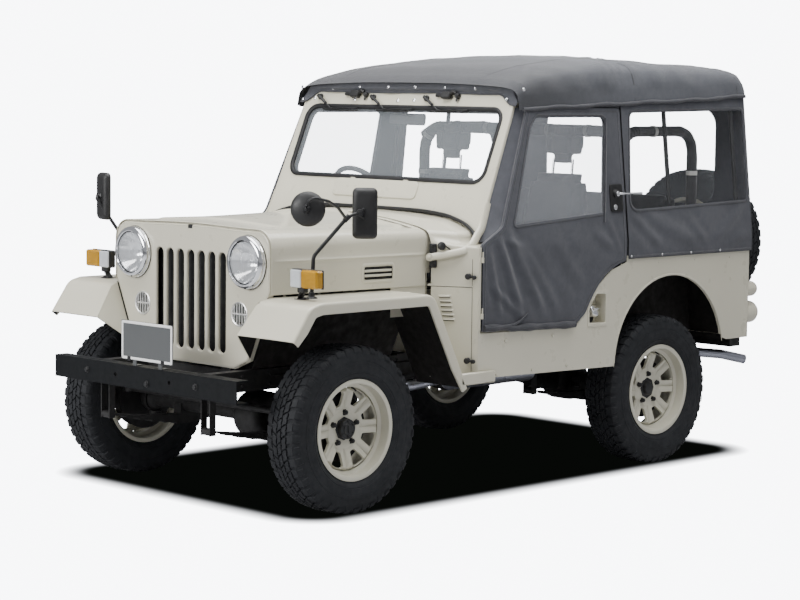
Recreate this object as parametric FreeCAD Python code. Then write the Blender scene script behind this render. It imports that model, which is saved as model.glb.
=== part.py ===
"""A light 4x4 field car with a soft top, built as separate pieces.

Millimetres. X runs to the car's left, Y to its rear and Z up. The origin lies on the ground,
midway between the front of the bumper and the back of the spare tyre.
"""
import FreeCAD, Part
import math
import os

V = FreeCAD.Vector

# Overall layout
WHEELBASE = 2030.0
FRONT_AXLE_Y = -1204.5
REAR_AXLE_Y = FRONT_AXLE_Y + WHEELBASE
WHEEL_X = 705.0
FIT_GAP = 0.3

# Tyres and wheels
TYRE_R = 362.0
TYRE_HALF_WIDTH = 97.0
TREAD_HALF_WIDTH = 72.0
SHOULDER_DROP = 9.0
BEAD_R = 203.0
FLANGE_R = 219.0
RIM_HALF_WIDTH = 85.0
RIM_WALL = 5.0
RIM_WELL_DEPTH = 20.0
DISC_FACE_OUT = 12.0
DISC_DISH = 26.0
DISC_OPENINGS = 8
OPENING_R_IN = 106.0
OPENING_R_OUT = 168.0
OPENING_W_IN = 24.0
OPENING_W_OUT = 74.0
LUG_COUNT = 5
LUG_CIRCLE_R = 69.85
LUG_R = 11.0
LUG_LENGTH = 16.0
HUB_R = 50.0
FRONT_HUB_OUT = 42.0
REAR_HUB_OUT = 30.0
HUB_BORE_R = 26.0
SPARE_HUB_IN = 14.0
SPINDLE_END_OUT = 22.0
DRUM_R = 145.0
DRUM_WALL = 8.0
DRUM_LENGTH = 58.0
AXLE_Z = TYRE_R

# Axles, steering and springs
KINGPIN_X = 565.0
BALL_R = 58.0
KNUCKLE_WALL = 9.0
AXLE_TUBE_R = 38.0
DIFF_X = 180.0
DIFF_R = 108.0
DIFF_HALF_WIDTH = 85.0
BACKPLATE_R = 152.0
BACKPLATE_THICK = 4.0
ARM_LENGTH = 150.0
ARM_THICK = 14.0
ARM_WIDTH = 36.0
TIE_ROD_R = 14.0
ROD_END_R = 20.0
STUD_R = 8.0
OPEN_PIVOT_PLAY = 1.5
RAIL_OUTER_X = 371.0
RAIL_WIDTH = 50.0
RAIL_BOTTOM = 505.0
RAIL_HEIGHT = 90.0
RAIL_WALL = 4.0
RAIL_FRONT_Y = -1662.0
RAIL_REAR_Y = REAR_AXLE_Y + 656.5
OUTRIGGER_X = 778.0
OUTRIGGER_DEPTH = 82.0
OUTRIGGER_BOTTOM = 527.0
OUTRIGGER_TOP = 571.0
SPRING_HALF_SPAN = 430.0
SPRING_RISE = 38.0
LEAF_THICK = 7.0
LEAF_COUNT = 5
SPRING_PAD = 10.0
SPRING_PAD_HALF = 45.0
SPRING_PLATE = 8.0
SPRING_PLATE_HALF = 70.0
SHOCK_X = 406.0
SHOCK_BODY_R = 27.0
SHOCK_ROD_R = 19.0
SHOCK_PIN_R = 9.0
SHOCK_TOP_Z = 560.0
SHOCK_LOW_OFFSET = 58.0
SHOCK_HIGH_OFFSET = 125.0
EYE_R = 17.0
EYE_PIN_R = 8.0
CHEEK_THICK = 6.0
CHEEK_HALF_LENGTH = 16.0
CROSS_MEMBER_WIDTH = 70.0
CROSS_MEMBER_YS = (-1405.0, 330.0, RAIL_REAR_Y - 35.0)
MOUNT_PAD_YS = (-520.0, 0.0, 500.0, REAR_AXLE_Y + 374.5)
MOUNT_PAD = 5.0

# Bumper and number plate
BUMPER_FRONT_Y = -1727.5
BUMPER_HALF_WIDTH = 625.0
BUMPER_Z = 499.0
BUMPER_HEIGHT = 98.0
BUMPER_DEPTH = -BUMPER_FRONT_Y + RAIL_FRONT_Y
BUMPER_WALL = 5.0
BUMPER_HOLE_R = 9.0
BUMPER_HOLE_PITCH = 370.0
PLATE_WIDTH = 350.0
PLATE_HEIGHT = 170.0
PLATE_Z = 622.0
PLATE_X = 26.0
PLATE_THICK = 3.0
PLATE_BRACKET_WIDTH = 24.0

# Drive line and exhaust
ENGINE_HALF_WIDTH = 170.0
ENGINE_FRONT_Y = -1290.0
ENGINE_REAR_Y = -700.0
ENGINE_BOTTOM = 500.0
ENGINE_TOP = 1080.0
GEARBOX_HALF_WIDTH = 95.0
GEARBOX_BOTTOM = 440.0
TRANSFER_FRONT_Y = -170.0
TRANSFER_REAR_Y = 110.0
PROP_R = 28.0
PROP_Z = 480.0
PIPE_R = 24.0
MUFFLER_R = 60.0
MUFFLER_X = 455.0

# Sheet metal
SHEET = 4.0
PANEL_SIDE_X = 810.0
FENDER_SIDE_X = 832.0
BODY_REAR_Y = REAR_AXLE_Y + 675.0
SILL_Z = 506.0
FLOOR_Z = RAIL_BOTTOM + RAIL_HEIGHT + MOUNT_PAD
TUB_TOP_Z = 1026.0
DOOR_FRONT_Y = -459.0
DOOR_REAR_Y = 534.0
DOOR_GAP = 8.0
ARCH_Y = REAR_AXLE_Y + 54.5
ARCH_Z = 500.0
ARCH_R = 418.0
WHEELHOUSE_INNER_X = 585.0
WHEELHOUSE_TOP = 952.0
FILLER_DEPTH = 62.0
FILLER_NECK_R = 24.0
FILLER_OUTLINE = ((272.0, 722.0), (390.0, 718.0), (390.0, 856.0), (322.0, 860.0), (283.0, 812.0),
                  (272.0, 786.0))
GATE_HINGE_X = -655.0
GATE_FREE_X = -22.0
GATE_BOTTOM = 640.0
GATE_THICK = 22.0
GATE_TOP = 996.0
GATE_GAP = 6.0

# Nose, hood and front fenders
GRILLE_Y = -1460.5
GRILLE_HALF_WIDTH = 524.0
GRILLE_SHOULDER_Z = 1196.0
GRILLE_TOP_Z = 1204.0
GRILLE_CORNER_R = 76.0
GRILLE_DEPTH = 34.0
GRILLE_FOOT_X = 190.0
SLOT_COUNT = 7
SLOT_PITCH = 71.0
SLOT_WIDTH = 44.0
SLOT_BOTTOM = 657.0
SLOT_TOP = 1092.0
LAMP_X = 388.0
LAMP_Z = 1062.0
LAMP_R = 117.0
LAMP_STAND = 33.0
LAMP_RING_WIDTH = 24.0
LAMP_HOLE_R = 104.0
VENT_X = 331.0
VENT_Z = 836.0
VENT_R = 45.0
HOOD_SIDE_Z = 931.0
HOOD_REAR_CREASE_Z = 1184.0
HOOD_REAR_HALF_WIDTH = 600.0
HOOD_REAR_CORNER_R = 46.0
HOOD_SET_BACK = 2.0
HOOD_REAR_Y = -597.0
HOOD_REAR_TOP_Z = 1240.0
HOOD_GAP = 6.0
FENDER_TOP_Z = 920.0
FENDER_LIP = 48.0
FENDER_INNER_X = 515.0
FENDER_NOSE_Y = -1602.0
GUSSET_FOOT = (400.0, -1462.0, 652.0)
FENDER_NOSE_FLARE = 35.0
TURN_LAMP_X = 620.0
TURN_LAMP_Y = -1436.0
TURN_LAMP_Z = 970.0
TURN_LAMP_WIDTH = 170.0
TURN_LAMP_DEPTH = 46.0
TURN_LAMP_HEIGHT = 80.0
MIRROR_FOOT_X = 655.0
MIRROR_FOOT_Y = -1340.0
MIRROR_CORNER_R = 22.0
MIRROR_HALF_HEIGHT = 109.0
MIRROR_HALF_WIDTH = 54.0
LEFT_MIRROR_TURN = 38.0
RIGHT_MIRROR_TURN = -13.0
ROUND_MIRROR_R = 74.0
STEP_REAR_Y = -382.0
STEP_BOTTOM = 503.0
STEP_TOP = 557.0
APRON_FOOT_X = 378.0
APRON_FOOT_Z = 602.0

# Cowl, windscreen and steering
COWL_WIDE_Y = -480.0
COWL_REAR_Y = -340.0
COWL_TOP_Z = 1240.0
COWL_RISER_X = 680.0
COWL_SHELF_X = 688.0
COWL_SHELF_Z = 1108.0
COWL_DECK_X = 784.0
COWL_DECK_LOW_Z = 1050.0
DASH_LOW_Z = 1000.0
FIREWALL_LOW_Z = 756.0
SCREEN_BASE_Y = -304.5
SCREEN_BASE_Z = 1373.0
SCREEN_LEAN = 0.3977
SCREEN_THICK = 42.0
SCREEN_HEADER = 80.0
SCREEN_FOOT_Z = 1116.0
SCREEN_TOP_HALF = 699.0
SCREEN_LOW_HALF = 722.0
OPENING_HALF = 648.0
OPENING_HEIGHT = 326.0
OPENING_LOW_Z = COWL_TOP_Z + 146.0
OPENING_TOP_Z = OPENING_LOW_Z + OPENING_HEIGHT
OPENING_CORNER_R = 60.0
SCREEN_TOP_Z = OPENING_TOP_Z + SCREEN_HEADER
GLASS_THICK = 6.0
STEER_X = -370.0
STEER_Y = -50.0
STEER_Z = 1265.0
STEER_R = 195.0
STEER_RIM_R = 13.0
COLUMN_ANGLE = 35.0
COLUMN_R = 22.0

# Hinges
HINGE_R = 5.0
HINGE_EYE = 24.0
HINGE_PIN_R = 3.0
HINGE_LEAF = 4.0
DOOR_HINGE_X = 819.0
DOOR_HINGE_Y = -463.5
DOOR_HINGE_ZS = (790.0, 1040.0)
GATE_AXIS_X = -659.0
GATE_AXIS_Y = BODY_REAR_Y + 9.0
GATE_HINGE_ZS = (700.0, 930.0)
HOOD_AXIS_Y = -600.0
HOOD_AXIS_Z = 1252.0
HOOD_HINGE_R = 7.0
HOOD_HINGE_XS = (-150.0, 150.0)
HOOD_HINGE_HALF = 14.0
HOOD_HINGE_LENGTH = 28.0

# Canvas, hoop and seats
CANVAS = 6.0
DOOR_THICK = 25.0
DOOR_OUT_X = 815.0
CANVAS_LOW_X = PANEL_SIDE_X + FIT_GAP + CANVAS
CANVAS_LOW_Z = 1008.0
CANVAS_HEM_X = 748.0
HEM_FRONT_Z = SCREEN_TOP_Z - 61.0
TOP_FRONT_Y = -160.0
TOP_RISES = ((TOP_FRONT_Y, 2.0, 101.0), (-110.0, 4.0, 133.0), (60.0, 10.0, 185.0), (480.0, 26.0, 237.0),
             (REAR_AXLE_Y - 5.5, 38.0, 237.0), (BODY_REAR_Y - 340.5, 50.0, 219.0),
             (BODY_REAR_Y - 30.5, 61.0, 193.0),
             (BODY_REAR_Y + 8, 62.0, 149.0), (BODY_REAR_Y + 18, 62.0, 81.0))
BACK_WINDOW_X = 570.0
BACK_WINDOW_LOW = 1230.0
BACK_WINDOW_TOP = HEM_FRONT_Z - 15.0
BACK_WINDOW_R = 90.0
DOOR_TOP_Z = HEM_FRONT_Z - 9.0
HOOP_Y = 655.0
HOOP_X = 660.0
HOOP_TOP_Z = 1608.0
HOOP_R = 26.0
HOOP_BEND_R = 150.0
STAY_Y = ARCH_Y + 330.0
BOW_R = 11.0
SEAT_X = 375.0
SEAT_HALF_WIDTH = 205.0
SEAT_TOP_Z = 950.0
CUSHION_THICK = 120.0
SEAT_FRONT_Y = 60.0
SEAT_DEPTH = 470.0
BACK_TOP_Z = 1425.0
BACK_THICK = 90.0
HEADREST_HEIGHT = 185.0
HEADREST_HALF_WIDTH = 120.0
BENCH_HALF_WIDTH = 560.0
BENCH_FRONT_Y = REAR_AXLE_Y - 5.5
BENCH_DEPTH = 400.0
SPARE_X = 371.0
SPARE_Z = 1041.0
SPARE_REAR_Y = BODY_REAR_Y + 227.0
SPARE_Y = SPARE_REAR_Y - TYRE_HALF_WIDTH
SPARE_PAD_HALF = 60.0
SPARE_PAD_Z = 800.0
SPARE_PAD_DEPTH = 30.0
SPARE_TUBE_R = 44.0


def box(x0, x1, y0, y1, z0, z1):
    """A block between two corners."""
    return Part.makeBox(x1 - x0, y1 - y0, z1 - z0, V(x0, y0, z0))


def polygon(points):
    """A closed wire through the given points."""
    return Part.makePolygon([V(*p) for p in points] + [V(*points[0])])


def prism_x(points, x0, x1):
    """An outline in (y, z) carried from x0 to x1."""
    face = Part.Face(polygon([(x0, y, z) for y, z in points]))
    return face.extrude(V(x1 - x0, 0, 0))


def prism_y(points, y0, y1):
    """An outline in (x, z) carried from y0 to y1."""
    face = Part.Face(polygon([(x, y0, z) for x, z in points]))
    return face.extrude(V(0, y1 - y0, 0))


def prism_z(points, z0, z1):
    """An outline in (x, y) carried from z0 to z1."""
    face = Part.Face(polygon([(x, y, z0) for x, y in points]))
    return face.extrude(V(0, 0, z1 - z0))


def rod(start, end, radius):
    """A straight round bar between two points."""
    a = V(*start)
    b = V(*end)
    return Part.makeCylinder(radius, (b - a).Length, a, b - a)


def ball(centre, radius):
    """A sphere whose poles lie on a line across the car."""
    return Part.makeSphere(radius, V(*centre), V(1, 0, 0))


def joined(shapes):
    """One solid out of touching shapes."""
    whole = shapes[0]
    if len(shapes) > 1:
        whole = whole.fuse(shapes[1:])
    return whole.removeSplitter()


def both_sides(shape):
    """The shape and its mirror image across the car's middle."""
    return Part.makeCompound([shape, shape.mirror(V(0, 0, 0), V(1, 0, 0))])


def mirrored(shape):
    """The mirror image across the car's middle."""
    return shape.mirror(V(0, 0, 0), V(1, 0, 0))


def turned(profile, side, centre_x, y, z):
    """A ring turned about a wheel's axis. The profile is (outward distance, radius)."""
    points = [(centre_x + side * out, y, z + radius) for out, radius in profile]
    face = Part.Face(polygon(points))
    return face.revolve(V(0, y, z), V(1, 0, 0), 360)


def loft(sections, ruled=True):
    """A solid through closed wires."""
    return Part.makeLoft(sections, True, ruled)


def swept_tube(points, bend_radii, radius):
    """A round tube along straight runs joined by tangent arcs."""
    corners = [V(*p) for p in points]
    edges = []
    last = corners[0]
    for before, corner, after, bend in zip(corners, corners[1:], corners[2:], bend_radii):
        into = (corner - before).normalize()
        out = (after - corner).normalize()
        turn = into.getAngle(out)
        cut = bend * math.tan(turn / 2)
        start = corner - into * cut
        end = corner + out * cut
        middle_way = (out - into).normalize()
        middle = corner + middle_way * (bend / math.cos(turn / 2) - bend)
        if (start - last).Length > 0.01:
            edges.append(Part.LineSegment(last, start).toShape())
        edges.append(Part.Arc(start, middle, end).toShape())
        last = end
    edges.append(Part.LineSegment(last, corners[-1]).toShape())
    path = Part.Wire(edges)
    first = (corners[1] - corners[0]).normalize()
    circle = Part.Wire(Part.makeCircle(radius, corners[0], first))
    return path.makePipeShell([circle], True, False)


def rounded_slot(x, z0, z1, width, y0, y1):
    """A slot with round ends, cut along Y."""
    r = width / 2
    middle = box(x - r, x + r, y0, y1, z0 + r, z1 - r)
    low = rod((x, y0, z0 + r), (x, y1, z0 + r), r)
    high = rod((x, y0, z1 - r), (x, y1, z1 - r), r)
    return joined([middle, low, high])


def save(name, shape):
    """Write one sub-part."""
    shape.exportStep("parts/" + name + ".step")


def tyre(side, centre_x, y, z):
    """A solid ring with the section of a bias of flat tread, round shoulders and bulged walls."""
    half = [
        (RIM_HALF_WIDTH - RIM_WALL - FIT_GAP, BEAD_R + FIT_GAP),
        (RIM_HALF_WIDTH - RIM_WALL - FIT_GAP, FLANGE_R + 3),
        (TYRE_HALF_WIDTH - 4, FLANGE_R + 26),
        (TYRE_HALF_WIDTH, (BEAD_R + TYRE_R) / 2 + 4),
        (TYRE_HALF_WIDTH - 6, TYRE_R - 32),
        (TREAD_HALF_WIDTH + 8, TYRE_R - SHOULDER_DROP),
        (TREAD_HALF_WIDTH - 16, TYRE_R - 1.5),
    ]
    profile = half + [(0, TYRE_R)] + [(-out, radius) for out, radius in reversed(half)]
    return turned(profile, side, centre_x, y, z)


def rim_profile():
    """The wheel rim: two flanges, bead seats and a dropped middle."""
    edge = RIM_HALF_WIDTH
    inner = BEAD_R - RIM_WALL
    well = BEAD_R - RIM_WELL_DEPTH
    outer_line = [
        (-edge, inner),
        (-edge, FLANGE_R),
        (-edge + RIM_WALL, FLANGE_R),
        (-edge + RIM_WALL, BEAD_R),
        (-30, BEAD_R),
        (-22, well),
        (30, well),
        (38, BEAD_R),
        (edge - RIM_WALL, BEAD_R),
        (edge - RIM_WALL, FLANGE_R),
        (edge, FLANGE_R),
        (edge, inner),
        (38, inner),
        (30, well - RIM_WALL),
        (-22, well - RIM_WALL),
        (-30, inner),
    ]
    return outer_line


def wheel(side, centre_x, y, z, hub_out, with_drum=True):
    """A pressed wheel with its hub and brake drum, all turning as one."""
    rim = turned(rim_profile(), side, centre_x, y, z)
    well = BEAD_R - RIM_WELL_DEPTH - RIM_WALL + 1
    face = DISC_FACE_OUT
    dish = DISC_FACE_OUT + DISC_DISH
    disc_profile = [
        (face - RIM_WALL, HUB_R - 4),
        (face, HUB_R - 4),
        (face, LUG_CIRCLE_R + 16),
        (dish, OPENING_R_OUT - 4),
        (dish - 4, well - 3),
        (20, well),
        (14, well),
        (dish - 12, OPENING_R_OUT - 4),
        (face - RIM_WALL, LUG_CIRCLE_R + 18),
    ]
    disc = turned(disc_profile, side, centre_x, y, z)
    for index in range(DISC_OPENINGS):
        angle = 360.0 * (index + 0.5) / DISC_OPENINGS
        cutter = prism_x(
            [(-OPENING_W_IN / 2, OPENING_R_IN), (OPENING_W_IN / 2, OPENING_R_IN),
             (OPENING_W_OUT / 2, OPENING_R_OUT - 6), (OPENING_W_OUT / 2 - 10, OPENING_R_OUT),
             (-OPENING_W_OUT / 2 + 10, OPENING_R_OUT), (-OPENING_W_OUT / 2, OPENING_R_OUT - 6)],
            -RIM_HALF_WIDTH, RIM_HALF_WIDTH)
        cutter.rotate(V(0, 0, 0), V(1, 0, 0), angle)
        cutter.translate(V(centre_x, y, z))
        disc = disc.cut(cutter)
    cap = hub_out - 6
    hub_profile = [
        (-DRUM_LENGTH - 8, HUB_BORE_R + FIT_GAP),
        (SPINDLE_END_OUT + FIT_GAP, HUB_BORE_R + FIT_GAP),
        (SPINDLE_END_OUT + FIT_GAP, 0),
        (hub_out, 0),
        (hub_out, HUB_R - 14),
        (cap, HUB_R - 6),
        (DISC_FACE_OUT + 2, HUB_R - 4),
        (DISC_FACE_OUT - 2, HUB_R),
        (-DRUM_LENGTH - 8, HUB_R),
    ]
    if not with_drum:
        hub_profile = [(-SPARE_HUB_IN, 0), (hub_out, 0), (hub_out, HUB_R - 14), (cap, HUB_R - 6),
                       (DISC_FACE_OUT, HUB_R - 3), (-SPARE_HUB_IN, HUB_R)]
    hub = turned(hub_profile, side, centre_x, y, z)
    pieces = [rim, disc, hub]
    if with_drum:
        drum_back = -DRUM_LENGTH - 12
        drum_profile = [
            (drum_back, DRUM_R - DRUM_WALL),
            (-18, DRUM_R - DRUM_WALL),
            (-18, HUB_R - 4),
            (DISC_FACE_OUT - RIM_WALL, HUB_R - 4),
            (DISC_FACE_OUT - RIM_WALL, LUG_CIRCLE_R + 14),
            (-10, LUG_CIRCLE_R + 18),
            (-10, DRUM_R),
            (drum_back, DRUM_R),
        ]
        pieces.append(turned(drum_profile, side, centre_x, y, z))
    for index in range(LUG_COUNT):
        angle = math.radians(90 + 360.0 * index / LUG_COUNT)
        ly = y + LUG_CIRCLE_R * math.cos(angle)
        lz = z + LUG_CIRCLE_R * math.sin(angle)
        x0 = centre_x + side * (DISC_FACE_OUT - 2)
        x1 = centre_x + side * (DISC_FACE_OUT + LUG_LENGTH)
        pieces.append(rod((x0, ly, lz), (x1, ly, lz), LUG_R))
    return joined(pieces)


def across(shape):
    """Stand a wheel's axis along the car, for the spare."""
    shape.rotate(V(0, 0, 0), V(0, 0, 1), 90)
    return shape


def spindle(side, x_start, y):
    """The stub that a wheel turns on, with the brake's backing plate."""
    plate_x = WHEEL_X - DRUM_LENGTH - 12 - 2 - BACKPLATE_THICK
    stub = rod((side * x_start, y, AXLE_Z), (side * (WHEEL_X + SPINDLE_END_OUT), y, AXLE_Z), HUB_BORE_R)
    plate = rod((side * plate_x, y, AXLE_Z), (side * (plate_x + BACKPLATE_THICK), y, AXLE_Z), BACKPLATE_R)
    return joined([stub, plate])


def front_axle():
    """Tube, gear housing and the ball ends that the knuckles swivel on."""
    y = FRONT_AXLE_Y
    tube = rod((-KINGPIN_X, y, AXLE_Z), (KINGPIN_X, y, AXLE_Z), AXLE_TUBE_R)
    balls = [ball((side * KINGPIN_X, y, AXLE_Z), BALL_R) for side in (-1, 1)]
    return joined([tube] + balls + diff_housing(y, 1) + spring_seats(y))


def rear_axle():
    """Tube, gear housing, and the stubs and backing plates of the rear wheels."""
    y = REAR_AXLE_Y
    tube = rod((-WHEEL_X + 90, y, AXLE_Z), (WHEEL_X - 90, y, AXLE_Z), AXLE_TUBE_R)
    ends = [spindle(side, WHEEL_X - 92, y) for side in (-1, 1)]
    return joined([tube] + ends + diff_housing(y, -1) + spring_seats(y))


def diff_housing(y, towards):
    """The round gear housing and the nose that meets the propeller shaft."""
    drum = rod((DIFF_X - DIFF_HALF_WIDTH, y, AXLE_Z), (DIFF_X + DIFF_HALF_WIDTH, y, AXLE_Z), DIFF_R)
    edges = [e for e in drum.Edges if e.Length > DIFF_R]
    housing = drum.makeFillet(40, edges)
    nose = Part.makeCone(70, 42, 120, V(DIFF_X, y + towards * (DIFF_R - 50), AXLE_Z), V(0, towards, 0))
    return [housing, nose]


def diff_nose_y(y, towards):
    """Where the nose of the gear housing ends."""
    return y + towards * (DIFF_R - 50 + 120)


def spring_seat_z():
    """Height of the axle's pads, under which the springs lie."""
    return AXLE_Z - AXLE_TUBE_R - SPRING_PAD


def spring_seats(y):
    """The two pads between the axle tube and its springs."""
    x0 = RAIL_OUTER_X - RAIL_WIDTH
    foot_z = spring_seat_z() + leaf_rise(SPRING_PAD_HALF)
    pads = []
    for side in (-1, 1):
        a, b = sorted((side * x0, side * RAIL_OUTER_X))
        pads.append(box(a, b, y - SPRING_PAD_HALF, y + SPRING_PAD_HALF, foot_z, AXLE_Z))
    return pads


def leaf_rise(distance):
    """How far a leaf has risen at a distance from its middle."""
    return SPRING_RISE * (distance / SPRING_HALF_SPAN) ** 2


def leaf_base(index):
    """Height of the underside of a leaf at its middle, counted from the shortest."""
    return spring_seat_z() - (LEAF_COUNT - index) * LEAF_THICK


def leaf_band(y, base_z, half):
    """One leaf as a bent band. Its ends rise with the square of their distance."""
    lower = [V(0, y + t, base_z + leaf_rise(t)) for t in (-half, 0, half)]
    upper = [p + V(0, 0, LEAF_THICK) for p in lower]
    low_arc = Part.Arc(*lower).toShape()
    high_arc = Part.Arc(*upper).toShape()
    ends = [Part.LineSegment(lower[i], upper[i]).toShape() for i in (0, 2)]
    face = Part.Face(Part.Wire([low_arc, ends[1], high_arc, ends[0]]))
    solid = face.extrude(V(RAIL_WIDTH - 2 * FIT_GAP, 0, 0))
    solid.translate(V(RAIL_OUTER_X - RAIL_WIDTH + FIT_GAP, 0, 0))
    return solid


def leaf_spring(y):
    """A stack of leaves that shorten downwards, with an eye at each end of the longest."""
    pieces = []
    for index in range(LEAF_COUNT):
        share = 1 - 0.17 * (LEAF_COUNT - 1 - index)
        pieces.append(leaf_band(y, leaf_base(index), SPRING_HALF_SPAN * share))
    x0 = RAIL_OUTER_X - RAIL_WIDTH
    plate_top = leaf_base(0)
    pieces.append(box(x0 + FIT_GAP, RAIL_OUTER_X - FIT_GAP, y - SPRING_PLATE_HALF, y + SPRING_PLATE_HALF,
                      plate_top - SPRING_PLATE, plate_top + 1))
    for end in (-1, 1):
        ey, ez = eye_centre(y, end)
        eye = rod((x0 + FIT_GAP, ey, ez), (RAIL_OUTER_X - FIT_GAP, ey, ez), EYE_R)
        pieces.append(eye)
    whole = joined(pieces)
    for end in (-1, 1):
        ey, ez = eye_centre(y, end)
        whole = whole.cut(rod((x0 - 1, ey, ez), (RAIL_OUTER_X + 1, ey, ez), EYE_PIN_R + FIT_GAP))
    return whole


def eye_centre(y, end):
    """Centre of a spring eye, just beyond the end of the main leaf."""
    top_leaf = leaf_base(LEAF_COUNT - 1) + SPRING_RISE
    return y + end * (SPRING_HALF_SPAN + EYE_R * 0.6), top_leaf + LEAF_THICK / 2


def spring_hangers(y):
    """Cheek plates under the rail with the pin of a spring eye between them."""
    x0 = RAIL_OUTER_X - RAIL_WIDTH
    pieces = []
    for end in (-1, 1):
        ey, ez = eye_centre(y, end)
        for inner in (x0 - CHEEK_THICK, RAIL_OUTER_X):
            cheek = box(inner, inner + CHEEK_THICK, ey - CHEEK_HALF_LENGTH, ey + CHEEK_HALF_LENGTH,
                        ez - CHEEK_HALF_LENGTH, RAIL_BOTTOM + 40)
            pieces.append(cheek)
        pin_start = x0 - CHEEK_THICK
        pin_end = RAIL_OUTER_X + CHEEK_THICK
        pieces.append(rod((pin_start, ey, ez), (pin_end, ey, ez), EYE_PIN_R))
    return pieces


def shock_absorber(y):
    """A telescopic damper beside the left rail, on pins from the spring plate and the rail."""
    low_z = leaf_base(0) - SPRING_PLATE / 2
    low = (SHOCK_X, y + SHOCK_LOW_OFFSET, low_z)
    high = (SHOCK_X, y + SHOCK_HIGH_OFFSET, SHOCK_TOP_Z)
    middle = tuple(a + (b - a) * 0.45 for a, b in zip(low, high))
    pieces = [rod(low, middle, SHOCK_ROD_R), rod(middle, high, SHOCK_BODY_R)]
    pieces.append(rod((RAIL_OUTER_X, low[1], low_z), (SHOCK_X, low[1], low_z), SHOCK_PIN_R))
    pieces.append(rod((RAIL_OUTER_X, high[1], high[2]), (SHOCK_X, high[1], high[2]), SHOCK_PIN_R))
    pieces.append(rod((SHOCK_X - 20, low[1], low_z), (SHOCK_X + 20, low[1], low_z), SHOCK_ROD_R))
    return joined(pieces)


def chassis_frame():
    """Two box rails, their cross members, the spring hangers and the body's mounting pads."""
    top = RAIL_BOTTOM + RAIL_HEIGHT
    x0 = RAIL_OUTER_X - RAIL_WIDTH
    pieces = []
    left = []
    outer = box(x0, RAIL_OUTER_X, RAIL_FRONT_Y, RAIL_REAR_Y, RAIL_BOTTOM, top)
    inner = box(x0 + RAIL_WALL, RAIL_OUTER_X - RAIL_WALL, RAIL_FRONT_Y + RAIL_WALL,
                RAIL_REAR_Y - RAIL_WALL, RAIL_BOTTOM + RAIL_WALL, top - RAIL_WALL)
    left.append(outer.cut(inner))
    for y in (FRONT_AXLE_Y, REAR_AXLE_Y):
        for piece in spring_hangers(y):
            left.append(piece.cut(inner))
    for y in MOUNT_PAD_YS:
        left.append(box(x0, RAIL_OUTER_X, y - 30, y + 30, top, top + MOUNT_PAD))
    for piece in left:
        pieces.append(piece)
        pieces.append(mirrored(piece))
    for side in (1, -1):
        outrigger = box(RAIL_OUTER_X - RAIL_WALL / 2, OUTRIGGER_X, RAIL_REAR_Y - OUTRIGGER_DEPTH, RAIL_REAR_Y,
                        OUTRIGGER_BOTTOM, OUTRIGGER_TOP)
        pieces.append(outrigger if side > 0 else mirrored(outrigger))
    half = CROSS_MEMBER_WIDTH / 2
    for y in CROSS_MEMBER_YS:
        pieces.append(box(-x0, x0, y - half, y + half, RAIL_BOTTOM + 10, top - 10))
    for side in (-1, 1):
        a, b = sorted((side * GRILLE_FOOT_X, side * (GRILLE_FOOT_X + 60)))
        pieces.append(box(a, b, CROSS_MEMBER_YS[0] - half, GRILLE_Y + GRILLE_DEPTH - 1, top - 10, FLOOR_Z))
    drop_y0 = -95.0
    drop_y1 = drop_y0 + CROSS_MEMBER_WIDTH
    pieces.append(box(-x0 - 20, x0 + 20, drop_y0, drop_y1, GEARBOX_BOTTOM - 22, GEARBOX_BOTTOM))
    for side in (-1, 1):
        a, b = sorted((side * x0, side * (x0 + 20)))
        pieces.append(box(a, b, drop_y0, drop_y1, GEARBOX_BOTTOM, RAIL_BOTTOM))
    return joined(pieces)


def front_bumper():
    """A channel with its open side to the rear, bolted to the rails' front ends."""
    y0 = BUMPER_FRONT_Y
    y1 = BUMPER_FRONT_Y + BUMPER_DEPTH
    z0 = BUMPER_Z
    z1 = BUMPER_Z + BUMPER_HEIGHT
    w = BUMPER_HALF_WIDTH
    outer = box(-w, w, y0, y1, z0, z1)
    hollow = box(-w - 1, w + 1, y0 + BUMPER_WALL, y1 + 1, z0 + BUMPER_WALL, z1 - BUMPER_WALL)
    channel = outer.cut(hollow)
    rail_x = RAIL_OUTER_X - RAIL_WIDTH / 2
    blocks = []
    for side in (-1, 1):
        a, b = sorted((side * (rail_x - 24), side * (rail_x + 24)))
        blocks.append(box(a, b, y0 + BUMPER_WALL, y1, RAIL_BOTTOM + 4, z1 - BUMPER_WALL))
    bumper = joined([channel] + blocks)
    for side in (-1, 1):
        x = side * BUMPER_HOLE_PITCH / 2
        hole_z = BUMPER_Z + BUMPER_HEIGHT / 2
        bumper = bumper.cut(rod((x, y0 - 1, hole_z), (x, y0 + BUMPER_WALL + 1, hole_z), BUMPER_HOLE_R))
    return bumper


def number_plate():
    """A blank plate on two brackets that stand on the bumper."""
    y = BUMPER_FRONT_Y + 6
    plate = box(PLATE_X - PLATE_WIDTH / 2, PLATE_X + PLATE_WIDTH / 2, y, y + PLATE_THICK,
                PLATE_Z, PLATE_Z + PLATE_HEIGHT)
    pieces = [plate]
    top = BUMPER_Z + BUMPER_HEIGHT
    for offset in (-PLATE_WIDTH / 4, PLATE_WIDTH / 4):
        x0 = PLATE_X + offset - PLATE_BRACKET_WIDTH / 2
        x1 = x0 + PLATE_BRACKET_WIDTH
        pieces.append(box(x0, x1, y + PLATE_THICK, y + PLATE_THICK + 4, top, PLATE_Z + 60))
        pieces.append(box(x0, x1, y + PLATE_THICK, y + PLATE_THICK + 34, top, top + 4))
    return joined(pieces)


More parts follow.
